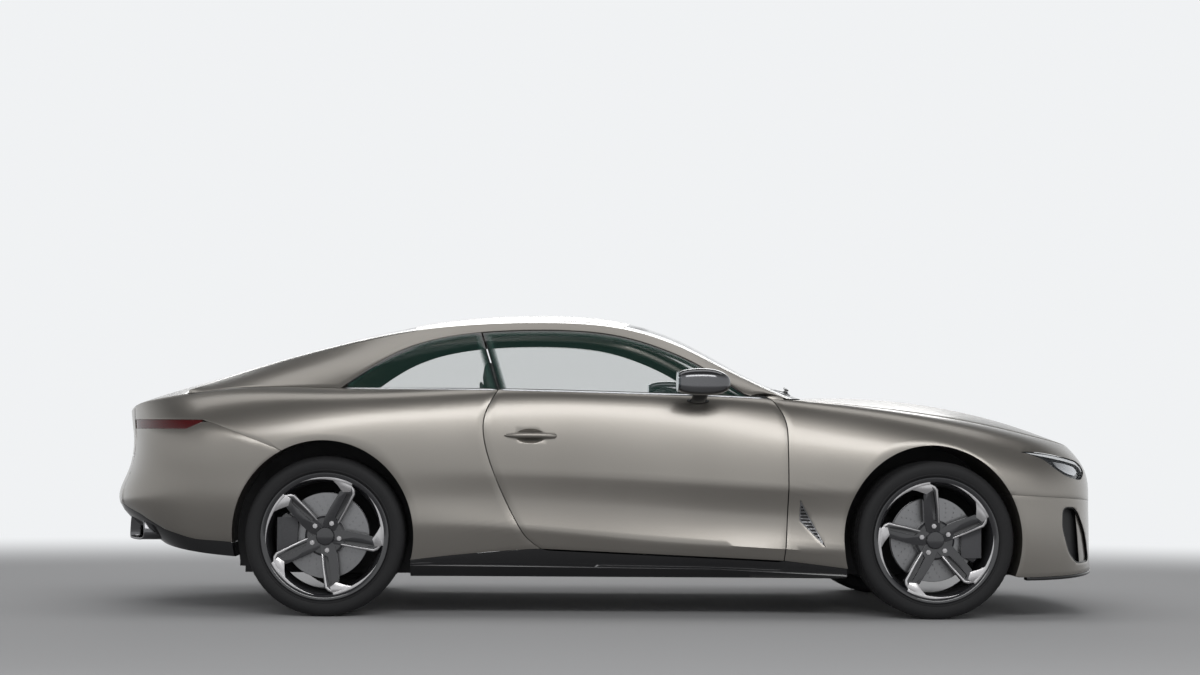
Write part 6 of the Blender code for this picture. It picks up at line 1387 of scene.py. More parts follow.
# Diffuser and tail pipes
# A gloss-black moulding under the bumper, round two broad dark-plated outlets.
PIPE_OUTLINE = (
    (0.54, 0.345), (0.56, 0.335), (0.7, 0.335), (0.735, 0.362), (0.715, 0.435), (0.69, 0.45), (0.575, 0.45),
    (0.55, 0.44)
)
PIPE_CUT_Y, PIPE_CUT_X, PIPE_WALL = (0.54, 0.735), (-2.3, -2.195), 0.009
dark_chrome = mottled("dark_chrome", (0.1, 0.1, 0.105), (0.16, 0.16, 0.165), (0.12, 0.2), fleck=800.0, Metallic=1.0)
arch = arch_line(REAR_AXLE_X, DIFFUSER_ANGLE + 0.3, 196, fine(3))
first = at_height(low_line[:, 0], on_body(low_line)[:, 2] - PANEL_GAP)
first[0] = arch[0]
last = np.stack([low_line[:, 0], np.full(len(low_line), float(HEM))], 1)
last[0] = arch[-1]
end = straight((TAIL_ALONG, first[-1, 1]), (TAIL_ALONG, HEM), fine(3))
diffuser_pairs = coons(first, last, arch, end, fade=5)
grids, ways = arched(diffuser_pairs, arch, REAR_AXLE_X, REAR_WELL_Y + 0.1, SKIN)
pipe_line = rounded(PIPE_OUTLINE, 5, 0.4)
mesh = settled(shell_mesh(grids, ways, mirror=True), bevel=PRESSED_EDGE)
piece("diffuser_skin", mesh, gloss_black, "gloss_black", "root", "diffuser")
# A tail pipe's outlet: the outline swept forward from its slanted mouth, with a rolled lip and a wall
lip = (
    (0.0, -PIPE_WALL), (0.003, -0.004), (0.0015, 0.0), (-0.002, 0.0012), (-0.006, 0.0), (-0.11, -0.0005),
    (-0.11, -PIPE_WALL), (-0.02, -PIPE_WALL)
)
rings = np.stack([grown(pipe_line, by) for run_x, by in lip])
mouth = np.interp(np.abs(rings[..., 0]), PIPE_CUT_Y, PIPE_CUT_X)
pipe_x = mouth - np.array([run_x for run_x, by in lip])[:, None]
for side, sign in SIDES:
    ring_points = np.stack([pipe_x, rings[..., 0] * sign, rings[..., 1]], -1)
    mesh = welded(grid_mesh("pipe", ring_points, closed_u=True, closed_v=True))
    mesh.shade_smooth()
    piece(f"tail_pipe_{side}", mesh, dark_chrome, "gloss_black")
    # A dark plate with a baffle closes the pipe inside
    inner = grown(pipe_line, -PIPE_WALL + 0.0005) * np.array([sign, 1])
    mesh = settled(outline_prism(inner, -2.165, -2.155, 0), bevel=0.001)
    piece(f"tail_pipe_baffle_{side}", mesh, matt_black, "gloss_black")


# Sills
# Gloss-black mouldings along the car's foot between the wheels, with a blade that stands out at the bottom.
SILL_INNER_Y, SILL_GAP, FLOOR_FOOT = 0.8, 0.0012, 0.184
share = np.linspace(0, 1, fine(6))[:, None]
rear_arch = arch_line(REAR_AXLE_X, REAR_SILL_ANGLE, REAR_SILL_ANGLE, 1)
front_arch = arch_line(FRONT_AXLE_X, SILL_ANGLE, SILL_ANGLE, 1)
door_rear = door_pairs[0, -1] - np.array([DOOR_GAP, 0])
door_front = door_pairs[-1, -1] + np.array([DOOR_GAP, 0])
rear = rear_arch + (door_rear - rear_arch) * share
front = door_front + (front_arch - door_front) * share
rear[0, 0] += 0.004
front[-1, 0] -= 0.004
lines = np.concatenate([rear, door_pairs[1:-1, -1], front])
top = on_body(lines)
under_door = (lines[:, 0] > rear[-1, 0] + 1e-4) & (lines[:, 0] < front[0, 0] - 1e-4)
top[:, 2] -= np.where(under_door, DOOR_GAP + 0.003, SILL_GAP)
x = top[:, 0]
hem = body(lines[:, 0], float(HEM))
hem[:, 2] = np.minimum(hem[:, 2], top[:, 2] - 0.006)
blade = hem + np.array([0, 0.004, 0])
blade[:, 2] = np.interp(x, (x[0], -0.75, 0.5, x[-1]), (0.236, 0.234, 0.226, 0.196))
foot = hem - np.array([0, 0.045, 0])
foot[:, 2] = FLOOR_FOOT
scoop = (hem + blade) / 2 - np.array([0, 0.006, 0])
sill_grid = np.stack([top, hem, scoop, blade, foot], 1)
way = np.zeros_like(sill_grid)
way[..., 1] = SILL_INNER_Y - sill_grid[..., 1]
way[:, -1, 2] = -0.002
for side, sign in SIDES:
    mesh = settled(shell_mesh([sill_grid], [way], side=sign), bevel=0.0015)
    piece(f"sill_skin_{side}", mesh, gloss_black, "gloss_black", "root", f"sill_{side}")


# Tyres
# Low-profile road tyres: a grooved tread, shoulder blocks, a sidewall with a rim-guard rib and fine rings.
rubber = mottled(
    "rubber", (0.008, 0.008, 0.009), (0.018, 0.018, 0.019), (0.55, 0.75), fleck=420.0, cloud=9.0, depth=0.16,
    Specular_IOR_Level=0.28
)
TYRE_STEPS = 288


def turns(count):
    """Angles once round, without the last, which would be the first again."""
    return np.linspace(0, 2 * np.pi, count, endpoint=False)


def revolved(profile, steps, centre=(0, 0, 0)):
    """A closed section of (distance in from the wheel's face, radius) points turned round the wheel's axle."""
    t, r = np.asarray(profile, float).T[:, None]
    angle = turns(steps)[:, None]
    points = np.stack([r * np.cos(angle), np.broadcast_to(t, (steps, len(profile))), r * np.sin(angle)], -1)
    return welded(grid_mesh("revolved", points + np.asarray(centre), closed_u=True, closed_v=True))


def tyre_mesh(width, centre, sign):
    """A tyre's section turned round the axle, with its tread cut by four grooves and by slanted sipes.
    The radius drops by the groove's depth where the width share is near a groove or the angle near a sipe."""
    seat = RIM_SEAT_RADIUS + SEAT
    side = np.array([(0.0165, seat), (0.0128, 0.2952), (0.0085, 0.299), (0.005, 0.303), (0.0035, 0.306), (0.005, 0.309),
                     (0.0032, 0.313), (0.0012, 0.323), (0.0002, 0.334), (0.0012, 0.344), (0.0045, 0.352),
                     (0.0095, 0.3585),
                     (0.015, 0.363), (0.0205, 0.366)])
    tread = np.linspace(0.024, width - 0.024, 72)
    crown = TYRE_RADIUS - 0.003 * np.abs(tread / width * 2 - 1) ** 4 - 0.0002
    profile = np.concatenate([side, np.stack([tread, crown], 1), side[::-1] * [-1, 1] + [width, 0]])
    t = profile[:, 0]
    on_tread = (np.arange(len(t)) >= len(side)) & (np.arange(len(t)) < len(side) + len(tread))
    groove = np.zeros(len(t))
    for at in (0.24, 0.41, 0.59, 0.76):
        groove = np.maximum(groove, np.clip((0.0055 - np.abs(t - at * width)) / 0.0012, 0, 1))
    angle = turns(TYRE_STEPS)[:, None]
    slant = angle * 72 / (2 * np.pi) + 3.0 * np.abs(t / width - 0.5)[None] * 2
    sipe = (np.abs(slant % 1 - 0.5) > 0.4) & (np.abs(t / width - 0.5)[None] > 0.1)
    cut = np.maximum(groove[None] * 0.0065, sipe * 0.0035) * on_tread[None]
    r = profile[None, :, 1] - cut
    points = np.stack([r * np.cos(angle), np.broadcast_to(-sign * t[None], r.shape), r * np.sin(angle)], -1)
    mesh = welded(grid_mesh("tyre", points + np.asarray(centre), closed_u=True, closed_v=True))
    mesh.shade_smooth()
    mesh.set_sharp_from_angle(angle=math.radians(40))
    return mesh


# Wheels
# Forged alloys with five kinked double-bladed spokes in gloss black, their tips and lips turned bright, five bolts
# and a plain cap. Each turns with its tyre, its drilled disc and its hub.
alloy_black = mottled(
    "alloy_black", (0.01, 0.01, 0.012), (0.02, 0.02, 0.023), (0.12, 0.22), fleck=1200.0, Coat_Weight=0.8
)
alloy_bright = mottled(
    "alloy_bright", (0.42, 0.41, 0.415), (0.56, 0.55, 0.555), (0.22, 0.32), fleck=700.0, Metallic=1.0
)
alloy_inner = mottled(
    "alloy_inner", (0.055, 0.055, 0.06), (0.095, 0.095, 0.1), (0.3, 0.42), fleck=600.0, Metallic=0.9
)
disc_steel = mottled("disc_steel", (0.17, 0.17, 0.175), (0.27, 0.27, 0.275), (0.25, 0.4), fleck=500.0, Metallic=1.0)
SPOKE_TIP_DEGREES, REAR_WHEEL_TURN, SPOKE_COUNT, BOLT_CIRCLE = 107.0, 39.0, 5, 0.066


def polar(rows):
    """Points in the wheel's plane from rows of (share of the lip's radius, degrees up from straight ahead)."""
    rows = np.asarray(rows, float)
    angle = np.radians(rows[:, 1])
    return np.stack([np.cos(angle), np.sin(angle)], 1) * rows[:, :1] * RIM_RADIUS


SPOKE = polar(((0.1, 20), (0.27, 74), (0.5, 83.0), (0.8, 87.4), (0.86, 90.5), (0.905, 96), (0.905, 119), (0.886, 113.8),
               (0.77, 103.5), (0.74, 105.4), (0.6, 108.5), (0.42, 115.7), (0.3, 124), (0.12, 160)))
BRANCH_GAP = polar(((0.3, 86.0), (0.55, 89.5), (0.775, 92.5), (0.745, 96.2), (0.55, 96.5), (0.33, 95.5)))
TIP_PAD = polar(
    ((0.8, 93.6), (0.745, 101.8), (0.83, 110.5), (0.886, 115.8), (0.912, 121), (0.912, 97.0), (0.88, 94.8))
)
EDGE_BLADE = polar(
    (
        (0.28, 76.2), (0.5, 83.8), (0.8, 88.2), (0.855, 91.2), (0.905, 97.0), (0.89, 98.5), (0.84, 93.4),
        (0.79, 90.4), (0.5, 86.4), (0.285, 80.5)
    )
)
sweep = np.linspace(96, 168, 25)
LIP_ARC = np.concatenate([
    polar(np.stack([np.full(25, 0.962), sweep], 1)),
    polar(np.stack([0.962 - np.interp(sweep, (96, 119, 168), (0.075, 0.075, 0.012)), sweep], 1))[::-1],
])


SPOKE_WAY = polar(((1.0, SPOKE_TIP_DEGREES - 9),))[0] / RIM_RADIUS
HUB_LEAN, TIP_LEAN, LEAN_REACH = 0.04, 0.016, 0.26


def leaned(mesh):
    """Shears a flat-faced solid along the axle so that it lies deeper at the hub than at its tip. The lean grows
    evenly along the spoke's own line, so flat faces stay flat."""
    points = points_of(mesh)
    share = (points[:, [0, 2]] @ SPOKE_WAY) / LEAN_REACH
    points[:, 1] += HUB_LEAN + (TIP_LEAN - HUB_LEAN) * share
    mesh.vertices.foreach_set("co", points.ravel())
    return mesh


def merged(meshes):
    """Several meshes as one."""
    work = bmesh.new()
    for mesh in meshes:
        work.from_mesh(mesh)
    out = bpy.data.meshes.new("merged")
    work.to_mesh(out)
    work.free()
    return out


def turned_round(mesh, degrees, sign=-1, move=(0, 0, 0)):
    """A copy of a wheel part turned about its axle, mirrored to the left side where sign is 1, and moved."""
    made = mesh.copy()
    points = points_of(made)
    a = math.radians(degrees)
    x = points[:, 0] * math.cos(a) - points[:, 2] * math.sin(a)
    z = points[:, 0] * math.sin(a) + points[:, 2] * math.cos(a)
    points = np.stack([x, -points[:, 1] * sign, z], 1) + np.asarray(move)
    made.vertices.foreach_set("co", points.ravel())
    if sign > 0:
        made.flip_normals()
    made.update()
    return made


# Parts of one wheel in a frame whose origin is on the axle at the tyre's face, seen from the right: y runs inwards
def slab(outline, front, back):
    """A spoke's outline as a leaned solid."""
    return leaned(outline_prism(outline, front, back, 1))


spoke = settled(slab(SPOKE, 0.0, 0.034), [slab(BRANCH_GAP, -0.02, 0.02)], bevel=0.0028, segments=3)
pad = settled(slab(TIP_PAD, -0.0022, 0.004), bevel=0.0008)
blade = settled(slab(EDGE_BLADE, -0.001, 0.004), bevel=0.0008)
arc = settled(outline_prism(LIP_ARC, 0.0125, 0.02, 1), bevel=0.0008)
bolt_profile = ((0.03, 0.0), (0.03, 0.006), (0.034, 0.0072), (0.034, 0.0115), (0.05, 0.0125), (0.05, 0.0))
cap_profile = (
    (0.024, 0.0), (0.0245, 0.03), (0.0262, 0.0385), (0.03, 0.042), (0.036, 0.0425), (0.05, 0.0425), (0.05, 0.0)
)
hub_profile = (
    (0.036, 0.0), (0.036, 0.04), (0.04, 0.046), (0.04, 0.084), (0.048, 0.094), (0.078, 0.098), (0.14, 0.078),
    (0.14, 0.0)
)


def wheel_sets(width):
    """One wheel's parts by finish: black forging, bright turned faces, pale barrel."""
    black = [revolved(hub_profile, 96)]
    bright = []
    for k in range(SPOKE_COUNT):
        turn = 360 / SPOKE_COUNT * k
        black.append(turned_round(spoke, turn))
        bright += [turned_round(part, turn) for part in (pad, arc, blade)]
        a = math.radians(24 + turn)
        bright.append(revolved(bolt_profile, 6, (BOLT_CIRCLE * math.cos(a), -0.008, BOLT_CIRCLE * math.sin(a))))
    black.append(revolved(cap_profile, 64))
    lip = ((0.013, 0.2725), (0.0065, 0.28), (0.0042, 0.2865), (0.004, 0.2925), (0.0052, 0.2945), (0.011, 0.2945),
           (0.016, 0.272), (0.03, 0.272), (0.03, 0.264), (0.02, 0.266))
    black.append(revolved(lip, 144))
    barrel = ((0.03, 0.2715), (width - 0.016, 0.2715), (width - 0.012, 0.2945), (width - 0.004, 0.2945),
              (width - 0.006, 0.286), (width - 0.022, 0.262), (width - 0.09, 0.254), (0.09, 0.25),
              (0.05, 0.256), (0.03, 0.264))
    return black, bright, [revolved(barrel, 144)]


disc_profile = (
    (0.1, 0.092), (0.1, 0.1985), (0.101, 0.2), (0.109, 0.2), (0.11, 0.197), (0.122, 0.197), (0.123, 0.2),
    (0.131, 0.2), (0.132, 0.1985), (0.132, 0.092)
)
holes = []
for degrees, r in [(15 * arm + 3.5 * k, r) for arm in range(24) for k, r in enumerate((0.12, 0.14, 0.16, 0.18))]:
    a, ring = math.radians(degrees), np.radians(np.arange(0, 360, 45))
    hole = np.stack([r * math.cos(a) + 0.0042 * np.cos(ring), r * math.sin(a) + 0.0042 * np.sin(ring)], 1)
    holes.append(outline_prism(hole, 0.09, 0.106, 1))
disc = settled(revolved(disc_profile, 120), [merged(holes)])

WHEEL_SETS = {width: wheel_sets(width) for width in (FRONT_TYRE_WIDTH, REAR_TYRE_WIDTH)}
for end, axle_x, width in (("front", FRONT_AXLE_X, FRONT_TYRE_WIDTH), ("rear", REAR_AXLE_X, REAR_TYRE_WIDTH)):
    black, bright, barrel = WHEEL_SETS[width]
    for side, sign in SIDES:
        rides = f"wheel_{end}_{side}_body"
        centre = (axle_x, sign * TYRE_FACE_Y, TYRE_RADIUS)
        turn = REAR_WHEEL_TURN if end == "rear" else 0.0
        mesh = tyre_mesh(width, centre, sign)
        piece(f"tyre_tread_{end}_{side}", mesh, rubber, "rubber", rides, f"tyre_{end}_{side}")
        for label, parts, paint in (
            ("forging", black, alloy_black), ("bright", bright, alloy_bright), ("barrel", barrel, alloy_inner),
            ("disc", [disc], disc_steel)
        ):
            mesh = merged([turned_round(part, turn, sign) for part in parts])
            points = points_of(mesh) + np.asarray(centre)
            mesh.vertices.foreach_set("co", points.ravel())
            mesh.shade_smooth()
            mesh.set_sharp_from_angle(angle=CREASE_ANGLE)
            replaced = [f"rim_{end}_{side}"] if label == "forging" else []
            piece(f"wheel_{label}_{end}_{side}", mesh, paint, "dark_alloy", rides, *replaced)


# Brake calipers
# Six-piston monoblock calipers in plain gloss black, ahead of the front axle and behind the rear one, bolted to the
# knuckles. Their faces are bare.
knuckle_iron = mottled(
    "knuckle_iron", (0.05, 0.05, 0.052), (0.1, 0.1, 0.105), (0.45, 0.65), fleck=300.0, Metallic=0.8
)


def coat(finish, *names):
    """Gives plain nodes a finish."""
    for name in names:
        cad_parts[name].material_slots[0].material = finish


angle = np.linspace(-30, 30, 25)
round_axle = np.stack([np.cos(np.radians(angle)), np.sin(np.radians(angle))], 1)
outer = np.interp(np.abs(angle), (0, 24, 30), (0.224, 0.224, 0.214))[:, None] * round_axle
inner = np.interp(np.abs(angle), (0, 20, 30), (0.128, 0.132, 0.146))[:, None] * round_axle
ring = np.concatenate([outer, inner[::-1]])
slot_ring = np.array([(0.1, -0.14), (0.2065, -0.14), (0.2065, 0.14), (0.1, 0.14)])
caliper = settled(
    outline_prism(ring, 0.067, 0.158, 1), [outline_prism(slot_ring, 0.094, 0.137, 1)], bevel=0.004, segments=3
)
for end, axle_x, turn in (("front", FRONT_AXLE_X, 0), ("rear", REAR_AXLE_X, 180)):
    for side, sign in SIDES:
        mesh = turned_round(caliper, turn, sign, (axle_x, sign * TYRE_FACE_Y, TYRE_RADIUS))
        rides = f"steer_{side}_body" if end == "front" else "root"
        piece(f"caliper_{end}_{side}", mesh, alloy_black, "cast_iron", rides)
        coat(knuckle_iron, f"knuckle_{end}_{side}")


# Door mirrors
# Dark-chrome caps on slim stems, each with a tinted glass in its rear face. They ride on the doors.
MIRROR_MIDDLE, MIRROR_HALF = (0.412, 1.0375, 1.099), (0.128, 0.082, 0.063)


def rounded_power(value, power):
    """A sine or cosine raised to a power with its sign kept, which squares off an ellipse."""
    return np.sign(value) * np.abs(value) ** power


def pod(centre, half, rows=40, columns=64, blunt=0.62, rear_flat=0.0):
    """A closed superellipsoid: latitude runs from front to rear, longitude round the section. Forward of its middle
    the section shrinks faster, and behind it the end is flattened to rear_flat of its length."""
    latitude = np.linspace(-np.pi / 2, np.pi / 2, rows)[:, None]
    longitude = turns(columns)[None]
    girth = np.where(latitude > 0, np.abs(np.cos(latitude)) ** 0.85, np.abs(np.cos(latitude)) ** 0.45)
    x = np.broadcast_to(rounded_power(np.sin(latitude), 0.9), (rows, columns))
    x = np.where(x < 0, x * (1 - rear_flat), x)
    y = girth * rounded_power(np.cos(longitude), blunt)
    z = girth * rounded_power(np.sin(longitude), blunt)
    z = z - 0.1 * np.clip(x, 0, 1) ** 2
    points = np.asarray(centre) + np.stack([x, y, z], -1) * half
    return welded(grid_mesh("pod", points, closed_v=True))


def swept(path, side_way, up_way, half_width, half_height, columns=12, blunt=1.0):
    """A closed bar along a path: at each point an ellipse with its half width along side_way and its half height
    along up_way. The first and last rings shrink to points, so the ends are rounded off."""
    path, side_way, up_way = (
        np.broadcast_to(part, np.shape(path)).astype(float) for part in (path, side_way, up_way)
    )
    count = len(path)
    around = turns(columns)
    c, s = rounded_power(np.cos(around), blunt), rounded_power(np.sin(around), blunt)
    half_width = np.broadcast_to(half_width, (count,))[:, None, None]
    half_height = np.broadcast_to(half_height, (count,))[:, None, None]
    rings = path[:, None] + side_way[:, None] * half_width * c[None, :, None]
    rings = rings + up_way[:, None] * half_height * s[None, :, None]
    rings = np.concatenate([np.repeat(path[:1, None], columns, 1), rings, np.repeat(path[-1:, None], columns, 1)])
    mesh = welded(grid_mesh("swept", rings, closed_v=True))
    mesh.shade_smooth()
    return mesh


mirror_glass = mottled(
    "mirror_glass", (0.6, 0.66, 0.68), (0.68, 0.72, 0.74), (0.02, 0.05), fleck=300.0, Metallic=1.0
)
foot_base, foot_move = skin(rectangle(np.linspace(0.365, 0.44, 7), (np.full(7, 0.5), np.full(7, 0.82), 7)), 1.0)
foot = foot_base.mean((0, 1)) - foot_move.mean((0, 1)) * 0.004
for side, sign in SIDES:
    way = np.array([1, sign, 1])
    rides = f"door_{side}_body"
    head = pod(np.array(MIRROR_MIDDLE) * way, MIRROR_HALF, rear_flat=0.02)
    behind = box_mesh((0.2, sign * 0.9, 0.9), (0.294, sign * 1.3, 1.3))
    head = settled(head, [behind], bevel=0.003, segments=3)
    piece(f"mirror_cap_{side}", head, dark_chrome, "gloss_black", rides, f"mirror_{side}")
    glass = pod(
        np.array((0.2945, MIRROR_MIDDLE[1], MIRROR_MIDDLE[2])) * way, (0.0035, 0.067, 0.049), rows=16, blunt=0.7
    )
    glass.shade_smooth()
    piece(f"mirror_glass_{side}", glass, mirror_glass, "gloss_black", rides)
    line = np.linspace(0, 1, 12)[:, None]
    sag = np.array([0, 0, -0.006]) * np.sin(np.pi * line)
    stem_path = (foot + (np.array((0.412, 0.985, 1.066)) - foot) * line + sag) * way
    width = np.interp(line[:, 0], (0, 0.15, 1), (0.04, 0.036, 0.034))
    stem = swept(stem_path, [1.0, 0, 0], [0.0, -sign * 0.35, 0.94], width, 0.015, columns=20, blunt=0.8)
    piece(f"mirror_stem_{side}", stem, gloss_black, "gloss_black", rides)
    width = 0.013 * np.sqrt(np.clip(1 - (line[:, 0] * 2 - 1) ** 4, 0.01, 1))
    foot_path = (foot + (line * 2 - 1) * np.array([0.052, 0, -0.001])) * way
    plinth = swept(foot_path, [0, 0.8 * sign, -0.45], [0, 0.45 * sign, 0.8], width, 0.006, columns=16)
    piece(f"mirror_foot_{side}", plinth, gloss_black, "gloss_black", rides)


# Waist trim
# A bright pressed strip with a black rubber sill that closes the foot of the side glass, in one length on the door
# and one on the quarter.
seal_rubber = mottled("seal_rubber", (0.012, 0.012, 0.013), (0.022, 0.022, 0.023), (0.55, 0.7), fleck=900.0)
TRIM_LEVEL = 0.055
door_low_x, door_high_x = door_pairs[0, 0, 0] + 0.01, door_pairs[-1, 0, 0] - 0.03
for label, x_rear, x_front, rides in (
    ("door", door_low_x, door_high_x, "door_{}_body"), ("quarter", GLASS_REAR_X + 0.02, door_low_x - 0.022, "root")
):
    along = np.linspace(x_rear, x_front, 90)
    out = outward(body, along, np.full(90, TRIM_LEVEL))
    base = body(along, TRIM_LEVEL)
    rise = np.gradient(base, axis=0)
    rise = np.cross(rise / np.linalg.norm(rise, axis=1, keepdims=True), out)
    rise *= np.sign(rise[:, 2:3])
    ends = np.clip(np.minimum(along - x_rear, x_front - along) / 0.02, 0.05, 1)
    for side, sign in SIDES:
        way = np.array([1, sign, 1])
        strip = swept(
            (base + out * 0.0012) * way, rise * way, out * way, 0.0048 * ends, 0.0022 * ends, columns=14, blunt=0.7
        )
        piece(f"waist_strip_{label}_{side}", strip, bright_metal, "gloss_black", rides.format(side))
        strip = swept(
            (base + rise * 0.007 + out * 0.0004) * way, rise * way, out * way, 0.0036 * ends, 0.0022 * ends,
            columns=12
        )
        piece(f"waist_seal_{label}_{side}", strip, seal_rubber, "gloss_black", rides.format(side))


# Number plate holders
# A bare black plastic holder with a bare pale plate in it, screwed to the tail under the boot lid, and an empty holder
# across the front bumper's bar.
plate_white = mottled("plate_white", (0.6, 0.6, 0.6), (0.68, 0.68, 0.67), (0.3, 0.42), fleck=1500.0)
holder_black = mottled(
    "holder_black", (0.01, 0.01, 0.011), (0.022, 0.022, 0.023), (0.4, 0.55), fleck=1100.0, depth=0.1
)


def plate_sheet(ends, middle, half_width, low_z, high_z, lift):
    """A patch of the body across its middle plane: columns run from the middle out until y is the half width, rows
    run up in z, and the points stand off the surface by lift. The half across the car is mirrored later."""
    along = np.linspace(middle, ends, 400)
    row = np.full(400, (low_z + high_z) / 2)
    y = body(along, level_at(along, row))[:, 1]
    picked = np.interp(
        np.linspace(0, half_width, 15), y if y[-1] > y[0] else y[::-1], along if y[-1] > y[0] else along[::-1]
    )
    a, z = np.meshgrid(picked, np.linspace(low_z, high_z, 7), indexing="ij")
    sheet = body(a, level_at(a, z))
    out = outward(body, a, level_at(a, z))
    return sheet + out * lift, out


for label, ends, middle, half_width, low_z, high_z, finish in (
    ("rear_holder", TAIL_CORNER_X - 0.2 * CORNER_RUN, TAIL_ALONG, 0.268, 0.56, 0.69, holder_black),
    ("rear_plate", TAIL_CORNER_X - 0.2 * CORNER_RUN, TAIL_ALONG, 0.258, 0.569, 0.681, plate_white),
    ("front_holder", NOSE_CORNER_X + 0.2 * CORNER_RUN, NOSE_ALONG, 0.19, 0.508, 0.54, holder_black),
):
    lift = 0.0044 if label == "rear_plate" else 0.003
    sheet, out = plate_sheet(ends, middle, half_width, low_z, high_z, lift)
    mesh = settled(shell_mesh([sheet], [-out * (lift + 0.001)], mirror=True), bevel=0.0015)
    piece(f"plate_{label}", mesh, finish, "gloss_black")


# Wipers
# Two black arms parked along the foot of the windscreen, each with a slim rubber blade.
for number, (v_pivot, v_tip) in enumerate(((-0.62, 0.1), (0.02, 0.72))):
    share = np.linspace(0, 1, 40)
    v = v_pivot + (v_tip - v_pivot) * share
    s = SCREEN_BASE_S - (SCREEN_BASE_S - ROOF_FRONT_S) * (
        0.045 + 0.055 * np.sin(np.pi * np.minimum(share + 0.15, 1))
    )
    flip = np.stack([np.ones(40), np.where(v < 0, -1, 1), np.ones(40)], 1)
    on_glass = canopy(s, np.abs(v)) * flip
    out = outward(canopy, s, np.abs(v)) * flip
    out *= np.sign(out[:, 2:3])
    run = np.gradient(on_glass, axis=0)
    run /= np.linalg.norm(run, axis=1, keepdims=True)
    across = np.cross(run, out)
    blade = swept(on_glass + out * 0.0075, across, out, 0.0032, 0.0062, columns=10)
    piece(f"wiper_blade_{number}", blade, seal_rubber, "gloss_black")
    high = 0.019 + 0.005 * np.sin(np.pi * np.minimum(share * 1.7, 1))
    path, width = on_glass + out * high[:, None] + across * -0.006, np.interp(
        share, (0, 0.1, 0.6), (0.009, 0.0075, 0.004)
    )
    arm = swept(path[:24], across[:24], out[:24], width[:24], 0.0035, columns=12, blunt=0.6)
    piece(f"wiper_arm_{number}", arm, gloss_black, "gloss_black")


# Seats
# Hide-covered sports seats with side bolsters, sewn flutes and piped seams, on black plastic bases. Behind them are two
# shaped places and their backrests. All are stuffed forms, modelled without a cloth run.
FLUTES, SEAM_DEPTH, FILL = 5, 0.0055, 0.85
# x, z of the back shell's outline
SEAT_SHELL = ((-0.355, 0.415), (-0.42, 0.44), (-0.47, 0.6), (-0.625, 1.02), (-0.632, 1.1), (-0.612, 1.1),
              (-0.52, 0.8), (-0.43, 0.56))


def leather_finish(name, low, high):
    """Dyed hide: two shades in clouds, a pore grain in the normal, and a soft sheen."""
    made, shader, feed, add = new_material(name)
    where = add("ShaderNodeTexCoord").outputs["Object"]
    pores = add("ShaderNodeTexVoronoi", Vector=where, Scale=420.0).outputs["Distance"]
    clouds = add("ShaderNodeTexNoise", Vector=where, Scale=7.0, Detail=5.0).outputs["Fac"]
    bump = add("ShaderNodeBump", Strength=0.25, Distance=0.0008, Height=pores).outputs["Normal"]
    feed(shader, Base_Color=blend(add, low, high, clouds), Roughness=spread(add, pores, 0.42, 0.6), Normal=bump)
    return made


seat_hide = leather_finish("seat_hide", (0.055, 0.06, 0.058), (0.085, 0.092, 0.088))
trim_hide = leather_finish("trim_hide", (0.03, 0.033, 0.034), (0.048, 0.052, 0.052))
carpet = mottled(
    "carpet", (0.018, 0.018, 0.019), (0.04, 0.04, 0.042), (0.85, 0.98), fleck=900.0, cloud=30.0, depth=0.5
)


def pad_mesh(spine, half_width, thick, middle_y, bolster=0.0, flutes=0, rows=96, columns=96):
    """A stuffed pad. A centre line in x and z is splined through the spine's points; round each of its points runs a
    squared ellipse across the car, which narrows to a point at both ends. Its upper face rises into bolsters at the
    sides by the width share to the sixth power, and sinks at the sewn channels between the flutes and at a seam all
    round its edge."""
    spine = np.asarray(spine, float)
    at = np.linspace(0, 1, len(spine))
    u = np.linspace(0, 1, rows)
    x = np.interp(u, at, spine[:, 0])
    z = np.interp(u, at, spine[:, 1])
    for _ in range(6):
        x[1:-1] = (x[:-2] + 2 * x[1:-1] + x[2:]) / 4
        z[1:-1] = (z[:-2] + 2 * z[1:-1] + z[2:]) / 4
    run = np.stack([np.gradient(x), np.gradient(z)], 1)
    run /= np.linalg.norm(run, axis=1, keepdims=True)
    up = np.stack([-run[:, 1], run[:, 0]], 1)
    width, depth = (np.interp(u, np.linspace(0, 1, len(part)), part) for part in (np.atleast_1d(half_width), thick))
    end = np.clip(1 - np.abs(2 * u - 1) ** 14, 0, 1) ** 0.5
    angle = turns(columns)
    c, s = rounded_power(np.cos(angle), 0.45), rounded_power(np.sin(angle), 0.55)
    across = width[:, None] * (0.9 + 0.1 * end[:, None]) * c[None] * end[:, None] ** 0.3
    share = np.abs(c)[None]
    top = np.clip(s, 0, 1)[None]
    lift = depth[:, None] * s[None] * end[:, None]
    lift = lift + bolster * share**5 * (1 - share**24) * top**0.5 * end[:, None]
    if flutes:
        flute = np.abs(np.sin(np.pi * (across / width[:, None] / 0.62 + 1) / 2 * flutes))
        inside = np.clip((u[:, None] - 0.07) / 0.03, 0, 1) * np.clip((0.93 - u[:, None]) / 0.03, 0, 1)
        inside = np.clip((0.64 - share) / 0.04, 0, 1) * inside
        lift = lift - SEAM_DEPTH * (1 - flute**0.5) * inside * top
        lift = lift - SEAM_DEPTH * 1.3 * np.exp(-(((share - 0.66) / 0.018) ** 2)) * top * end[:, None]
    points = [
        x[:, None] + up[:, :1] * lift, np.broadcast_to(middle_y + across, lift.shape), z[:, None] + up[:, 1:] * lift
    ]
    mesh = welded(grid_mesh("pad", np.stack(points, -1), closed_v=True), distance=1e-5)
    mesh.shade_smooth()
    return mesh


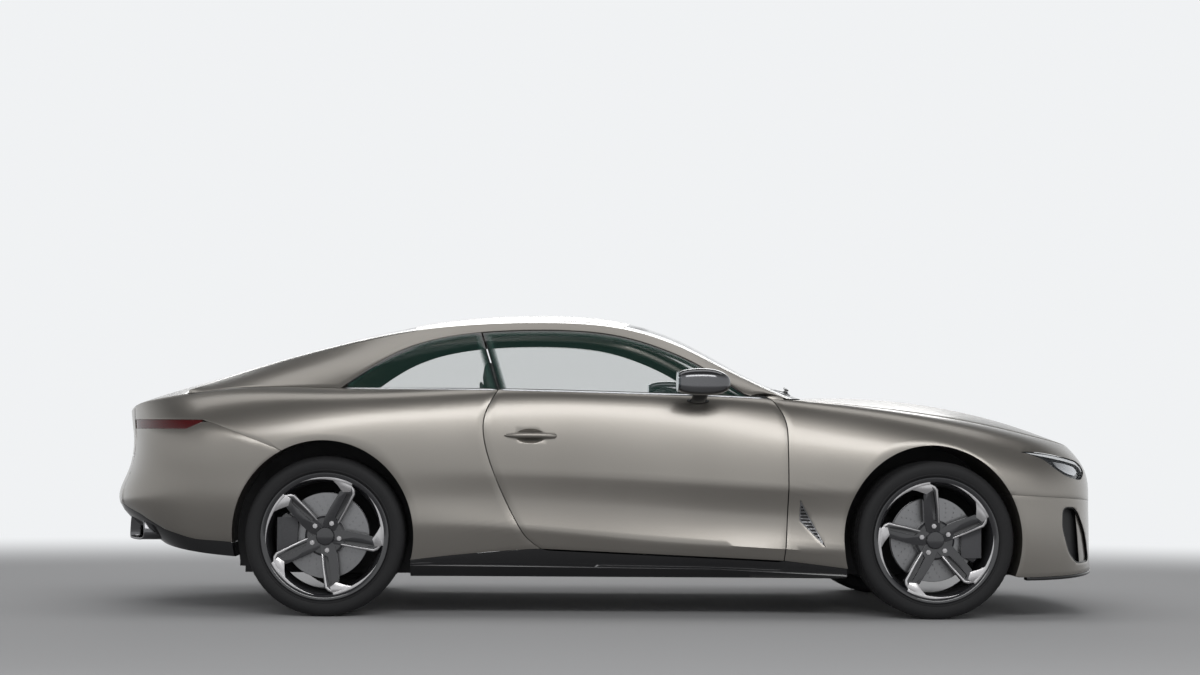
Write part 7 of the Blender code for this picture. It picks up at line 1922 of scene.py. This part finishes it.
def seat(label, middle, half):
    """A front seat: cushion, backrest with bolsters, head restraint, back shell and base."""
    parts = (
        (
            "cushion", ((-0.31, 0.475), (-0.15, 0.478), (0.03, 0.492), (0.145, 0.478)),
            half - 0.004, (0.045, 0.052, 0.052, 0.04), 0.03, FLUTES,
        ),
        (
            "backrest", ((-0.345, 0.5), (-0.415, 0.65), (-0.485, 0.83), (-0.56, 1.0)),
            (half - 0.01, half - 0.006, half - 0.02, half - 0.075), (0.048, 0.052, 0.048, 0.036), 0.034, FLUTES,
        ),
        (
            "head_restraint", ((-0.562, 1.03), (-0.572, 1.08), (-0.578, 1.13), (-0.582, 1.2)),
            (0.105, 0.125, 0.125, 0.095), (0.026, 0.04, 0.04, 0.024), 0.0, 0,
        ),
    )
    for part, spine, width, thick, bolster, flutes in parts:
        mesh = pad_mesh(spine[::-1], width, thick, middle, bolster, flutes)
        replaced = [label] if part == "cushion" else []
        piece(f"{label}_{part}", mesh, seat_hide, "hide", "root", *replaced)
    shell_line = rounded(SEAT_SHELL, 4, 0.35)
    mesh = settled(
        outline_prism(shell_line, middle - half + 0.03, middle + half - 0.03, 1), bevel=0.012, segments=4
    )
    piece(f"{label}_shell", mesh, gloss_black, "gloss_black")
    base_line = rounded(
        ((0.115, 0.2125), (-0.325, 0.2125), (-0.365, 0.425), (-0.1, 0.432), (0.145, 0.442), (0.15, 0.4)), 4, 0.3
    )
    mesh = settled(
        outline_prism(base_line, middle - half + 0.025, middle + half - 0.025, 1), bevel=0.01, segments=3
    )
    piece(f"{label}_base", mesh, matt_black, "hide")


for side, sign in SIDES:
    seat(f"seat_{side}", sign * 0.4, 0.255)
for side, sign in SIDES:
    middle = sign * 0.3
    mesh = pad_mesh(
        ((-0.66, 0.52), (-0.72, 0.528), (-0.8, 0.515), (-0.89, 0.5)), 0.262, (0.045, 0.048, 0.045, 0.042), middle,
        0.012, FLUTES
    )
    made = piece(
        f"rear_cushion_{side}", mesh, seat_hide, "hide", "root", *(["rear_seat"] if side == "right" else [])
    )
    mesh = pad_mesh(
        ((-1.0, 0.945), (-0.975, 0.85), (-0.945, 0.7), (-0.92, 0.56)), (0.225, 0.262, 0.262, 0.262),
        (0.03, 0.042, 0.045, 0.045), middle, 0.016, FLUTES
    )
    made = piece(f"rear_backrest_{side}", mesh, seat_hide, "hide")
BENCH = ((-0.68, 0.2125), (-1.046, 0.2125), (-1.046, 0.935), (-1.02, 0.935), (-0.965, 0.52), (-0.93, 0.478),
         (-0.665, 0.478))
bench_line = rounded(BENCH, 4, 0.2)
mesh = settled(outline_prism(bench_line, -0.57, 0.57, 1), bevel=0.008, segments=3)
piece("rear_bench", mesh, trim_hide, "hide")


# Door cards
# A hide-covered panel clipped inside each door, with a moulded armrest and a bright inner release.
CARD_FACE_Y = 0.8115  # the door's own inner face is at 0.812
card_line = rounded(
    ((-0.455, 0.975), (0.59, 0.955), (0.64, 0.88), (0.64, 0.385), (-0.225, 0.385), (-0.4, 0.64)), 5, 0.22
)
arm_line = rounded(((-0.33, 0.69), (0.33, 0.67), (0.42, 0.61), (0.3, 0.59), (-0.28, 0.615)), 5, 0.35)
for side, sign in SIDES:
    rides = f"door_{side}_body"
    for label, outline, depth, bevel, finish in (
        ("card", card_line, 0.01, 0.004, trim_hide), ("armrest", arm_line, 0.052, 0.012, seat_hide)
    ):
        inner, outer = sorted((sign * (CARD_FACE_Y - depth), sign * CARD_FACE_Y))
        mesh = settled(outline_prism(outline, inner, outer, 1), bevel=bevel, segments=4)
        piece(f"door_{label}_{side}", mesh, finish, "hide", rides)
    line = np.linspace(0, 1, 16)[:, None]
    path = np.array([0.25, 0, 0.8]) + np.array([0.105, 0, 0.012]) * line
    path[:, 1] = sign * (CARD_FACE_Y - 0.012 - 0.012 * np.sin(np.pi * line[:, 0]))
    mesh = swept(path, [0, 1.0, 0], [0, 0, 1.0], 0.0035, 0.009, columns=14, blunt=0.7)
    piece(f"door_release_{side}", mesh, bright_metal, "gloss_black", rides)


# Dashboard and steering wheel
# A hide-wrapped dashboard under the screen with a gloss instrument panel and a bright trim line, and a three-spoke
# wheel with a padded boss, turned by its own column.
coat(trim_hide, "dashboard")
panel = settled(box_mesh((0.56, -0.53, 0.835), (0.583, 0.1, 0.925)), bevel=0.006, segments=3)
piece("instrument_panel", panel, gloss_black, "gloss_black")
trim = settled(box_mesh((0.5675, -0.545, 0.818), (0.58, 0.545, 0.826)), bevel=0.002)
piece("dashboard_trim", trim, bright_metal, "gloss_black")
WHEEL_CENTRE, WHEEL_TILT = np.array((0.42, -0.4, 0.925)), math.radians(24)
HOOP_RADIUS, HOOP_TUBE = 0.178, 0.0125
disc_x = np.array([math.sin(WHEEL_TILT), 0, math.cos(WHEEL_TILT)])
disc_y = np.array([0.0, 1.0, 0.0])
disc_out = np.cross(disc_x, disc_y)
disc_out *= -np.sign(disc_out[0])
around = turns(96)[:, None]
tube = turns(20)[None]


def on_wheel(out_to, side_to, depth):
    """Points of the steering wheel's own frame: along its two rays and out of its plane."""
    return WHEEL_CENTRE + out_to[..., None] * disc_x + side_to[..., None] * disc_y + depth[..., None] * disc_out


reach = HOOP_RADIUS + HOOP_TUBE * np.cos(tube)
hoop = on_wheel(reach * np.cos(around), reach * np.sin(around), HOOP_TUBE * np.sin(tube) + 0 * around)
parts = [welded(grid_mesh("hoop", hoop, closed_u=True, closed_v=True))]
for degrees in (180, 62, -62):
    a = math.radians(degrees)
    ray = math.cos(a) * disc_x + math.sin(a) * disc_y
    line = np.linspace(0.03, HOOP_RADIUS - 0.004, 14)[:, None]
    path = WHEEL_CENTRE + ray * line + disc_out * (0.004 - 0.012 * (1 - line / HOOP_RADIUS))
    width = np.interp(line[:, 0], (0.03, 0.1, HOOP_RADIUS), (0.024, 0.013, 0.016))
    parts.append(swept(path, np.cross(disc_out, ray), disc_out, width, 0.006, columns=14, blunt=0.7))
rows = np.linspace(-np.pi / 2, np.pi / 2, 20)[:, None]
girth = np.cos(rows) ** 0.6
boss = on_wheel(
    0.052 * girth * np.cos(around.T), 0.06 * girth * np.sin(around.T), 0.026 * np.sin(rows) + 0 * around.T
)
boss -= disc_out * 0.014
parts.append(welded(grid_mesh("boss", boss, closed_v=True)))
mesh = merged(parts)
mesh.shade_smooth()
piece("steering_wheel_skin", mesh, trim_hide, "hide", "steering_wheel_body", "steering_wheel")


# Floor, firewall, bulkhead, subframes and engine
# Pressed and welded steel with a matt stone-guard coating, carpet glued over the two bulkheads, and a cast light-alloy
# block. They carry what shows.
stone_guard = mottled(
    "stone_guard", (0.016, 0.016, 0.017), (0.034, 0.034, 0.036), (0.65, 0.85), fleck=700.0, cloud=6.0, depth=0.35
)
cast_alloy = mottled(
    "cast_alloy", (0.2, 0.2, 0.21), (0.32, 0.32, 0.33), (0.45, 0.62), fleck=500.0, cloud=8.0, depth=0.25,
    Metallic=0.9
)
coat(stone_guard, "floor_pan", "subframe_front", "subframe_rear")
coat(carpet, "firewall", "bulkhead")
coat(cast_alloy, "engine")
